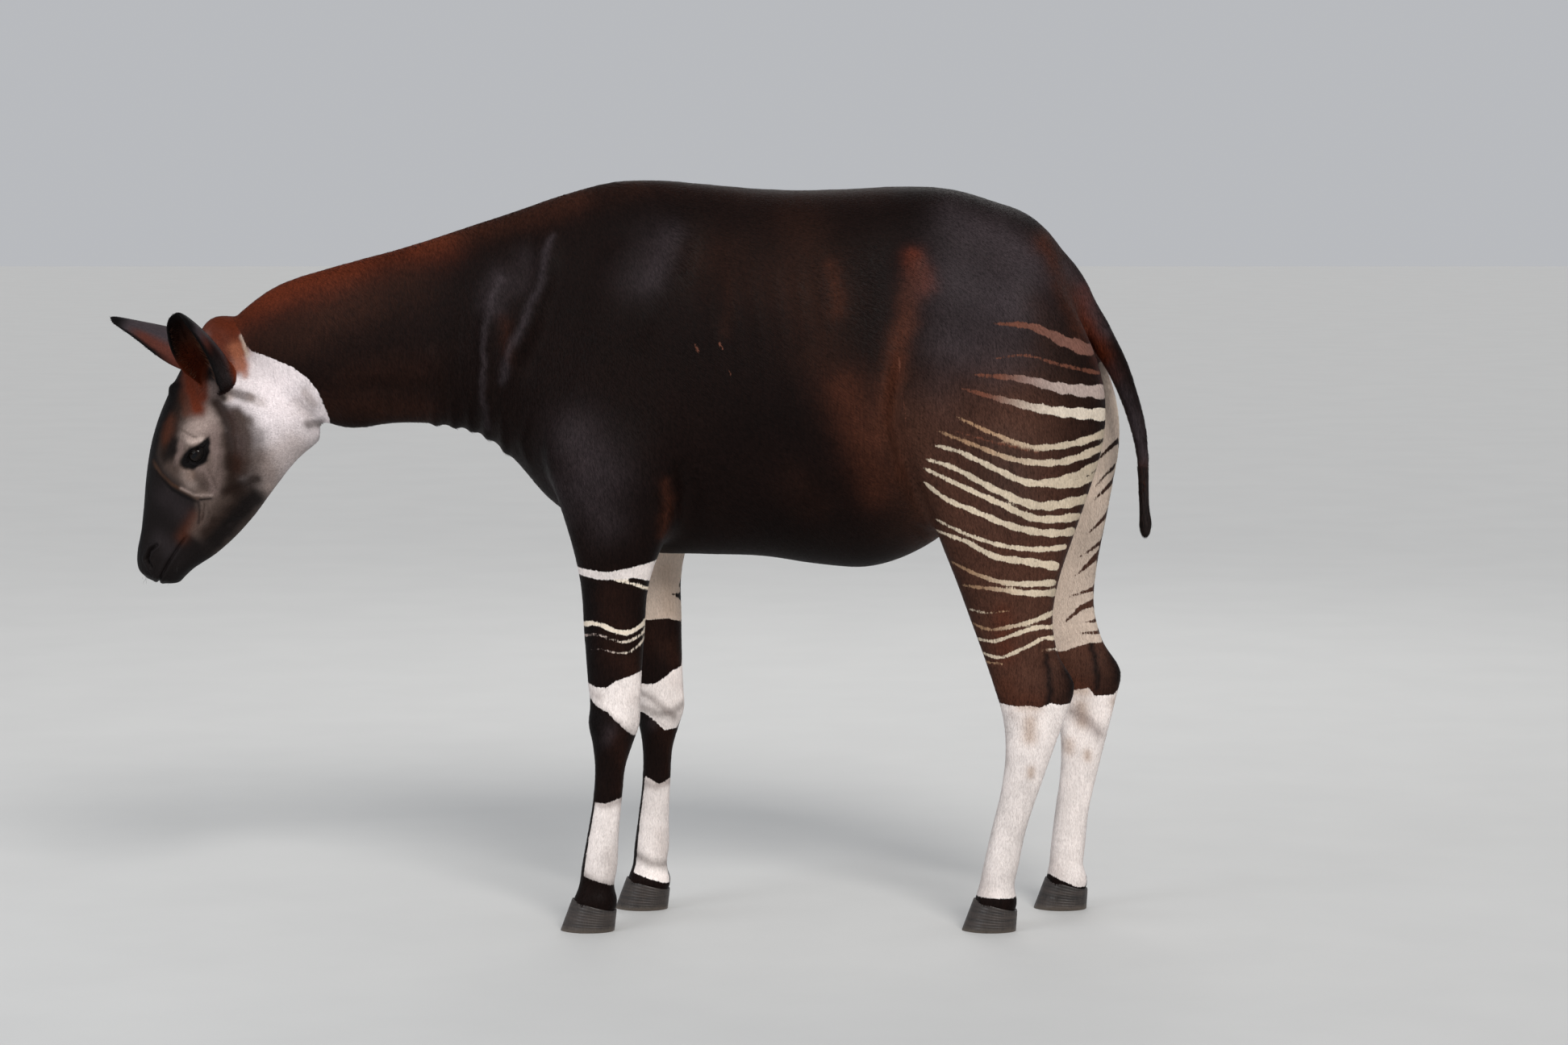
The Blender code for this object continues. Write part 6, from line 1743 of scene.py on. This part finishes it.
def coat_groups(roots, part, known):
    """Names and members of the coat's pieces."""
    groups = []
    for side_name, mine in (("left", roots[:, 1] < 0), ("right", roots[:, 1] >= 0)):
        body = mine & (part == "body")
        order = np.nonzero(body)[0][np.argsort(roots[body, 0], kind="stable")]
        pieces = max(1, math.ceil(len(order) / MOST_TUFTS_IN_PIECE))
        for i, chosen in enumerate(np.array_split(order, pieces)):
            groups.append((f"coat_body_{side_name}_{i + 1}", chosen))
        leg = mine & (part == "leg")
        own_ear = known["side"] == (-1 if side_name == "left" else 1)
        for kind, members in (
            ("foreleg", leg & (roots[:, 0] < 0.0)),
            ("hindleg", leg & (roots[:, 0] >= 0.0)),
            ("head", mine & (part == "head")),
            ("ear", (part == "ear") & own_ear),
        ):
            groups.append((f"coat_{kind}_{side_name}", np.nonzero(members)[0]))
    groups.append(("coat_tail", np.nonzero(part == "tail")[0]))
    return [(name, chosen) for name, chosen in groups if len(chosen)]


def strand_mesh(name, strands):
    """Tapered flat strands, each from its line of points, its width and its sideways direction."""
    vertices, faces, start = [], [], 0
    for curve, width, side in strands:
        steps = len(curve)
        taper = np.sqrt(np.clip(1 - np.linspace(0, 1, steps) ** 2, 0.0, 1.0)) * width / 2
        left = curve[:-1] - taper[:-1, None] * side
        right = curve[:-1] + taper[:-1, None] * side
        vertices += [left, right, curve[-1:]]
        for i in range(steps - 2):
            faces.append((start + i, start + i + 1, start + steps + i, start + steps - 1 + i))
        faces.append((start + steps - 2, start + 2 * steps - 2, start + 2 * steps - 3))
        start += 2 * steps - 1
    mesh = bpy.data.meshes.new(name)
    mesh.from_pydata(np.vstack(vertices).tolist(), [], faces)
    mesh.update()
    mesh.shade_smooth()
    return object_of(name, mesh)


def tail_tuft():
    """The small black tuft at the tail's end."""
    chance = np.random.default_rng(SEED + 2)
    heights, radii = zip(*TAIL_TUFT)
    steps = np.linspace(0, 1, 6)
    strands = []
    for _ in range(TAIL_STRANDS):
        top = TAIL_STRAND_TOP + TAIL_STRAND_SPREAD * chance.random() ** 1.8
        angle = chance.uniform(0, 2 * math.pi)
        end = chance.uniform(heights[0], TAIL_STRAND_END) + 0.2 * max(0.0, top - 0.870)
        z = top + (end - top) * steps
        spread = np.interp(z, heights, radii) * chance.uniform(0.55, 1.0) * (0.80 + 0.20 * steps)
        spread = np.where(steps == 0, tail_at(top)[1] - 0.0015, spread)
        x = tail_at(z)[0] + spread * math.cos(angle) + chance.normal(0, 0.0006) * steps
        curve = np.column_stack([x, spread * math.sin(angle), z])
        width = chance.uniform(0.0007, 0.0016)
        strands.append((curve, width, np.array([-math.sin(angle), math.cos(angle), 0.0])))
    return strand_mesh("tail_tuft", strands)


def lashes(side):
    """The lashes of one eye, along the upper lid and shorter along the lower one."""
    chance = np.random.default_rng(SEED + 3)
    centre, outward, corners, across = eye_frame(side)
    if across[2] < 0:
        across = -across
    steps = np.linspace(0, 1, 6)[:, None]
    strands = []
    for upper, number, length in LASHES:
        for i in range(number):
            along = (i / (number - 1) * 2 - 1) * 0.90 * LID_HALF_LENGTH + chance.normal(0, 0.0004)
            over = upper * (float(lid_arch(np.array([along]))[0]) + 0.0006)
            rise = math.sqrt(max(0.0, (EYE_RADIUS + 0.0012) ** 2 - along**2 - over**2))
            root = centre + along * corners + over * across + rise * outward
            reach = length * chance.uniform(0.75, 1.15) * (1 - 0.35 * abs(along) / LID_HALF_LENGTH)
            fan = 0.35 * along / LID_HALF_LENGTH + chance.normal(0, 0.10)
            way = unit(0.80 * outward - 0.35 * upper * across + fan * corners)
            curl = 0.27 * upper * across
            curve = root + reach * (steps * way + steps**2 * curl) - 0.0008 * outward
            strands.append((curve, chance.uniform(0.00045, 0.00075), unit(np.cross(way, across))))
    return strand_mesh("lashes_left" if side < 0 else "lashes_right", strands)


def whiskers():
    """Sparse stiff hairs about the lips and the chin."""
    chance = np.random.default_rng(SEED + 4)
    steps = np.linspace(0, 1, 5)[:, None]
    strands = []
    for side in SIDES:
        for _ in range(WHISKERS_ON_SIDE):
            z = chance.uniform(*WHISKER_HEIGHTS)
            middle = np.interp(z, *WHISKER_MIDDLES)
            x = middle + chance.uniform(-0.030, 0.040)
            half = np.interp(z, *WHISKER_HALF_WIDTHS)
            edge = math.sqrt(max(0.0, 1 - ((x - middle) / 0.060) ** 2))
            root = np.array([x, side * half * edge, z])
            way = unit([chance.normal(-0.05, 0.35), side * 0.9, chance.normal(-0.35, 0.35)])
            reach = chance.uniform(*WHISKER_LENGTHS)
            sag = np.array([0.0, 0.0, -0.25 * reach]) * steps**2
            curve = root - 0.004 * way + steps * reach * way + sag
            strands.append((curve, chance.uniform(0.00035, 0.00055), unit(np.cross(way, [0.0, 0.0, 1.0]))))
    return strand_mesh("whiskers", strands)


def ear_hair(name, seed):
    """Longer soft hairs within the cup, from its two edges inward and forward."""
    chance = np.random.default_rng(SEED + seed)
    root, way, cup, across, length = ear_axes(name)
    slender = EARS[name][3]
    places, radii, openings, depths = np.array(EAR_SHAPE).T
    steps = np.linspace(0, 1, 5)[:, None]
    strands = []
    for _ in range(EAR_STRANDS):
        along = chance.uniform(0.16, 0.80)
        radius = np.interp(along, places, radii) * (1 - slender * between(along, *EAR_SLENDER))
        opening = math.radians(np.interp(along, places, openings))
        depth = np.interp(along, places, depths)
        edge = chance.choice([-1, 1])
        angle = edge * opening * chance.uniform(0.45, 0.96)
        centre = root + along * length * way + EAR_LIFT * (radius - radii[0]) * cup
        lie = -math.cos(angle) * cup + math.sin(angle) * across
        start = centre + (radius - depth * 0.8) * lie
        inward = unit(-0.55 * lie + 0.65 * way - 0.25 * edge * across)
        reach = chance.uniform(0.008, 0.020)
        curve = start + reach * (steps * inward + 0.25 * steps**2 * way)
        strands.append((curve, chance.uniform(0.0004, 0.0008), unit(np.cross(inward, lie))))
    return strand_mesh(name.replace("ear", "ear_hair"), strands)


def eyeball(side):
    """An eyeball with the slight bulge of the cornea, which knows how far each point is from the pupil."""
    centre, outward, corners, across = eye_frame(side)
    form = bmesh.new()
    bmesh.ops.create_uvsphere(form, u_segments=96, v_segments=64, radius=1.0)
    mesh = mesh_of("eyeball_left" if side < 0 else "eyeball_right", form)
    points = points_of(mesh)
    along, over, outer = points.T
    bulge = 1 + CORNEA_RISE * between(outer, 0.70, 0.92)
    local = points * (EYE_RADIUS * bulge)[:, None] * EYE_PLAY
    set_points(mesh, centre + local @ np.array([corners, across, outward]))
    if np.linalg.det(np.column_stack([corners, across, outward])) < 0:
        mesh.flip_normals()
    front = outer > 0
    put(mesh, "iris", np.where(front, np.hypot(along, over), 2.0))
    put(mesh, "pupil", np.where(front, np.hypot(along / PUPIL[0], over / PUPIL[1]), 9.0))
    mesh.shade_smooth()
    return object_of(mesh.name, mesh)


def claw(name, hoof, side, inner, move):
    """One half of a cloven hoof, with a rounded lower edge and fine rings of growth."""
    angles = np.arange(CLAW_POINTS) * 2 * math.pi / CLAW_POINTS
    toe, outer = np.cos(angles), np.sin(angles)
    toward = side * (-1 if inner else 1)
    rises = np.concatenate([CLAW_FOOT, np.linspace(0.16, 0.97, 34), [1.0, 1.0, 1.0]])
    swells = np.interp(rises, *CLAW_SWELLS)
    swells[:4] = 0.90, 0.972, 0.990, 1.008
    swells[-2:] = 0.93, 0.84
    swells += CLAW_RING_RISE * np.sin(rises * 62.0) * between(rises, 0.08, 0.2) * between(1 - rises, 0.0, 0.1)
    sole, crown = np.array(hoof["sole"]), np.array(hoof["crown"])
    low, high = hoof["crown_height"]
    rings = []
    for rise, swell in zip(rises, swells):
        front, rear = sole + rise * (crown - sole) + move
        half = (rear - front) / 2 * min(1.0, swell + 0.02)
        x = (front + rear) / 2 - np.sign(toe) * np.abs(toe) ** 0.85 * half
        narrow = 1 - 0.42 * np.clip(toe, 0, 1) ** 2 - 0.12 * np.clip(-toe, 0, 1) ** 2
        wide = np.where(outer > 0, np.abs(outer) ** 0.8 * CLAW_WIDTH * swell * narrow, 0.0)
        wall = 0.0012 * (1 - np.clip(outer, 0, 1) ** 0.3) * between(np.abs(toe), 0.0, 0.9)
        y = side * HOOF_MIDDLE + toward * (CLEFT / 2 + wide + wall)
        top = low + (x - front) / (rear - front) * (high - low)
        rings.append(np.column_stack([x, y, top * rise]))
    made = loft(name, rings)
    made.data.shade_smooth()
    return made


def legs():
    """Name, side, hoof and the distance it is moved back, of each leg."""
    for side, side_name in zip(SIDES, SIDE_NAMES):
        for kind, hoof, steps in (("foreleg", FORE_HOOF, FORE_STEP), ("hindleg", HIND_HOOF, HIND_STEP)):
            move = step_at(0.0, steps) if side > 0 else 0.0
            yield kind + "_" + side_name, side, hoof, move


class Nodes:
    """A material's node tree, built in short calls."""

    def __init__(self, name):
        self.material = bpy.data.materials.new(name)
        self.material.use_nodes = True
        self.tree = self.material.node_tree
        self.shader = self.tree.nodes["Principled BSDF"]

    def add(self, kind, settings=None, inputs=None):
        node = self.tree.nodes.new(kind)
        for key, value in (settings or {}).items():
            setattr(node, key, value)
        for key, value in (inputs or {}).items():
            if isinstance(value, bpy.types.NodeSocket):
                self.tree.links.new(value, node.inputs[key])
            else:
                node.inputs[key].default_value = value
        return node

    def link(self, output, socket):
        self.tree.links.new(output, self.shader.inputs[socket])

    def set(self, socket, value):
        self.shader.inputs[socket].default_value = value

    def attribute(self, name, output="Fac"):
        node = self.add("ShaderNodeAttribute", {"attribute_name": name})
        return node.outputs[output]

    def place(self, scale):
        """The object's own coordinates, scaled."""
        coordinates = self.add("ShaderNodeTexCoord").outputs["Object"]
        mapping = self.add("ShaderNodeMapping", inputs={"Vector": coordinates, "Scale": scale})
        return mapping.outputs["Vector"]

    def noise(self, scale, detail=3.0, stretch=(1.0, 1.0, 1.0), roughness=0.55):
        inputs = {"Vector": self.place(stretch), "Scale": scale, "Detail": detail, "Roughness": roughness}
        return self.add("ShaderNodeTexNoise", inputs=inputs).outputs["Fac"]

    def ramp(self, value, low, high, start=0.0, end=1.0):
        inputs = {"Value": value, "From Min": low, "From Max": high, "To Min": start, "To Max": end}
        return self.add("ShaderNodeMapRange", inputs=inputs).outputs["Result"]

    def sum(self, first, second, operation="ADD"):
        return self.add("ShaderNodeMath", {"operation": operation}, {0: first, 1: second}).outputs[0]

    def mix(self, share, first, second, blend="MIX"):
        """Two colours mixed, each a socket or three numbers."""
        first, second = (
            (*colour, 1.0) if isinstance(colour, tuple) else colour for colour in (first, second)
        )
        settings = {"data_type": "RGBA", "blend_type": blend}
        return self.add("ShaderNodeMix", settings, {0: share, 6: first, 7: second}).outputs[2]

    def bump(self, height, distance, strength, below=None):
        inputs = {"Height": height, "Distance": distance, "Strength": strength}
        if below is not None:
            inputs["Normal"] = below
        return self.add("ShaderNodeBump", inputs=inputs).outputs["Normal"]


def coat_material(name, tufts):
    """Fur: its two colours parted along hairy edges, uneven in tone, with the sheen of short hair."""
    nodes = Nodes(name)
    streak = nodes.noise(260.0, 3.0, (1.0, 1.0, 0.16))
    fine = nodes.noise(700.0, 2.0, (1.0, 1.0, 0.25))
    broad = nodes.noise(7.0, 4.0)
    edge = nodes.ramp(streak, 0.3, 0.7, -1.1, 1.1)
    depth = nodes.sum(nodes.attribute("mark"), edge)
    share = nodes.ramp(depth, -0.7, 0.7)
    dark = nodes.attribute("dark", "Color")
    pale = nodes.attribute("pale", "Color")
    colour = nodes.mix(share, dark, pale)
    tone = nodes.ramp(broad, 0.30, 0.70, 0.80, 1.22)
    low = nodes.ramp(share, 0, 1, 0.70, 0.90)
    high = nodes.ramp(share, 0, 1, 1.28, 1.08)
    tone = nodes.sum(tone, nodes.ramp(streak, 0.25, 0.75, low, high), "MULTIPLY")
    tone = nodes.sum(tone, nodes.ramp(fine, 0.3, 0.7, 0.88, 1.12), "MULTIPLY")
    if tufts:
        low = nodes.ramp(share, 0, 1, 0.62, 0.88)
        high = nodes.ramp(share, 0, 1, 1.40, 1.10)
        tone = nodes.sum(tone, nodes.ramp(nodes.attribute("vary"), 0.0, 1.0, low, high), "MULTIPLY")
    grey = nodes.add("ShaderNodeCombineColor", inputs={0: tone, 1: tone, 2: tone}).outputs[0]
    colour = nodes.mix(1.0, colour, grey, "MULTIPLY")
    nodes.link(colour, "Base Color")
    nodes.link(nodes.ramp(streak, 0.2, 0.8, 0.42, 0.62), "Roughness")
    nodes.set("Specular IOR Level", 0.06)
    nodes.set("Sheen Weight", 0.008)
    nodes.set("Sheen Roughness", 0.35)
    nodes.set("Sheen Tint", (0.80, 0.82, 1.0, 1.0))
    normal = nodes.bump(streak, 0.0012, 0.35)
    nodes.link(nodes.bump(fine, 0.0006, 0.30, normal), "Normal")
    return nodes.material


def hair_material(name, colour, tip, shine=0.4):
    """Single hairs: a dark colour mixed with a lighter reddish or grey tone, by strands."""
    nodes = Nodes(name)
    strands = nodes.noise(420.0, 2.0, (1.0, 1.0, 0.2))
    nodes.link(nodes.mix(nodes.ramp(strands, 0.35, 0.70), colour, tip), "Base Color")
    nodes.link(nodes.ramp(strands, 0.2, 0.8, 0.38, 0.60), "Roughness")
    nodes.set("Specular IOR Level", shine)
    nodes.link(nodes.bump(strands, 0.0004, 0.3), "Normal")
    return nodes.material


def eye_material():
    """A near black eye: brown iris with fine rays, a level slit of a pupil, and a wet surface."""
    nodes = Nodes("okapi_eye")
    iris, pupil = nodes.attribute("iris"), nodes.attribute("pupil")
    rays = nodes.noise(900.0, 3.0)
    cloud = nodes.noise(260.0, 2.0)
    ring = nodes.mix(nodes.ramp(rays, 0.35, 0.65), (0.0030, 0.0020, 0.0016), (0.0100, 0.0058, 0.0042))
    white = nodes.mix(nodes.ramp(cloud, 0.3, 0.7), (0.0030, 0.0022, 0.0018), (0.0090, 0.0058, 0.0048))
    colour = nodes.mix(nodes.ramp(iris, 0.62, 0.70), ring, white)
    edge = nodes.sum(nodes.ramp(iris, 0.52, 0.60), nodes.ramp(iris, 0.62, 0.70), "SUBTRACT")
    colour = nodes.mix(nodes.ramp(edge, 0.0, 1.0), colour, (0.004, 0.003, 0.003))
    colour = nodes.mix(nodes.ramp(pupil, 1.08, 0.94), colour, (0.002, 0.002, 0.003))
    nodes.link(colour, "Base Color")
    nodes.link(nodes.ramp(cloud, 0.2, 0.8, 0.05, 0.09), "Roughness")
    nodes.set("Specular IOR Level", 0.10)
    nodes.set("Coat Weight", 0.08)
    nodes.set("Coat Roughness", 0.03)
    nodes.link(nodes.bump(rays, 0.0002, 0.10), "Normal")
    return nodes.material


def horn_material():
    """Dark horn of the hooves: rings of growth, upright fibres, and a paler, worn lower edge."""
    nodes = Nodes("okapi_horn")
    fibres = nodes.noise(520.0, 3.0, (1.0, 1.0, 0.12))
    rings = nodes.noise(38.0, 2.0, (0.15, 0.15, 5.0))
    wear = nodes.noise(90.0, 4.0)
    height = nodes.add("ShaderNodeSeparateXYZ", inputs={0: nodes.place((1.0, 1.0, 1.0))}).outputs["Z"]
    low = nodes.ramp(nodes.sum(height, nodes.ramp(wear, 0.3, 0.7, -0.004, 0.004)), 0.012, 0.001)
    colour = nodes.mix(nodes.ramp(rings, 0.35, 0.65), (0.012, 0.009, 0.008), (0.036, 0.026, 0.022))
    colour = nodes.mix(nodes.ramp(fibres, 0.45, 0.75, 0.0, 0.6), colour, (0.062, 0.047, 0.038))
    worn = nodes.sum(low, nodes.ramp(wear, 0.3, 0.7, 0.2, 0.7), "MULTIPLY")
    colour = nodes.mix(worn, colour, (0.150, 0.118, 0.090))
    nodes.link(colour, "Base Color")
    nodes.link(nodes.ramp(wear, 0.3, 0.7, 0.34, 0.58), "Roughness")
    normal = nodes.bump(rings, 0.0012, 0.35)
    nodes.link(nodes.bump(fibres, 0.0005, 0.35, normal), "Normal")
    return nodes.material


def floor_material():
    """A pale, matt, lightly mottled floor."""
    nodes = Nodes("pale_floor")
    mottle = nodes.noise(3.0, 5.0)
    grain = nodes.noise(180.0, 3.0)
    colour = nodes.mix(nodes.ramp(mottle, 0.35, 0.65), (0.590, 0.592, 0.585), (0.606, 0.608, 0.600))
    nodes.link(colour, "Base Color")
    nodes.link(nodes.ramp(grain, 0.3, 0.7, 0.72, 0.86), "Roughness")
    nodes.link(nodes.bump(grain, 0.0006, 0.25), "Normal")
    return nodes.material


def dressed(found, made):
    """Gives a piece its material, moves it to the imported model's place, and lets it ride on the body."""
    found.data.materials.clear()
    found.data.materials.append(made)
    found.data.transform(Matrix.Translation(SHIFT))
    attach(found, "root")


def light(name, kind, place, power, colour, **shape):
    """A light of the studio, turned towards the animal."""
    made = bpy.data.lights.new(name, kind)
    made.energy = power
    made.color = colour
    for key, value in shape.items():
        setattr(made, key, value)
    found = object_of(name, made)
    found.location = place
    found.rotation_euler = (Vector(STAGE_MIDDLE) - Vector(place)).to_track_quat("-Z", "Y").to_euler()


def stage():
    """A pale floor, soft light and the photograph's camera."""
    form = bmesh.new()
    bmesh.ops.create_grid(form, x_segments=8, y_segments=8, size=FLOOR_HALF_WIDTH)
    floor = object_of("floor", mesh_of("floor", form))
    floor.data.materials.append(floor_material())
    world = bpy.data.worlds.new("studio")
    bpy.context.scene.world = world
    world.use_nodes = True
    background = world.node_tree.nodes["Background"]
    background.inputs["Color"].default_value = (0.86, 0.88, 0.92, 1.0)
    background.inputs["Strength"].default_value = 0.56
    light("key", "SUN", (1.6, -4.8, 4.6), 1.9, (1.0, 0.97, 0.93), angle=math.radians(22.0))
    light("fill", "AREA", (-4.0, -3.6, 2.6), 80.0, (0.93, 0.96, 1.0), shape="DISK", size=3.6)
    light("rim", "AREA", (1.0, 4.6, 4.4), 55.0, (1.0, 0.98, 0.95), shape="DISK", size=3.0)
    camera = bpy.data.cameras.new("camera")
    camera.sensor_width = CAMERA_SENSOR
    camera.lens = CAMERA_LENS
    camera.clip_end = 200.0
    found = object_of("camera", camera)
    found.location = Vector(CAMERA_PLACE) + SHIFT
    found.rotation_euler = (math.radians(90 - CAMERA_TILT), 0.0, 0.0)
    bpy.context.scene.camera = found
    bpy.context.scene.view_settings.view_transform = "Standard"


def build_fur():
    """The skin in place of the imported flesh, and the coat on it."""
    skin, known, ways = with_ears(body_skin())
    mesh = skin.data
    put_looks(mesh, *markings(points_of(mesh), normals_of(mesh), known))
    mesh.shade_smooth()
    tufts = coat(skin, known, ways)
    fur = coat_material("okapi_coat", True)
    dressed(skin, coat_material("okapi_skin", False))
    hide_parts(*FLESH)
    for piece in tufts:
        dressed(piece, fur)


def build_hair_and_eyes():
    """The tail's tuft, whiskers, lashes and the hair of the ears, with the eyeballs."""
    tail_hair = hair_material("tail_hair", (0.007, 0.005, 0.005), (0.026, 0.017, 0.015), 0.10)
    dressed(tail_tuft(), tail_hair)
    black_hair = hair_material("black_hair", (0.004, 0.003, 0.003), (0.012, 0.008, 0.007))
    ear_strands = hair_material("ear_hair", (0.030, 0.012, 0.008), (0.160, 0.070, 0.036))
    dressed(whiskers(), black_hair)
    eye_look = eye_material()
    for side, side_name in zip(SIDES, SIDE_NAMES):
        dressed(lashes(side), black_hair)
        ball = eyeball(side)
        dressed(ball, eye_look)
        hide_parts("eye_" + side_name)
        dressed(ear_hair("ear_" + side_name, 10 + side), ear_strands)


def build_hooves():
    """Two claws on each foot, each in place of its own node."""
    horn = horn_material()
    for leg_name, side, hoof, move in legs():
        for inner, claw_name in ((False, "outer"), (True, "inner")):
            made = claw("claw_" + leg_name + "_" + claw_name, hoof, side, inner, move)
            dressed(made, horn)
            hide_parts("hoof_" + leg_name + "_" + claw_name)


low_corner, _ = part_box("hoof_foreleg_left_outer")
SHIFT = Vector((low_corner[0] - HOOF_CORNER[0], low_corner[1] - HOOF_CORNER[1], 0.0))
build_fur()
build_hair_and_eyes()
build_hooves()
stage()
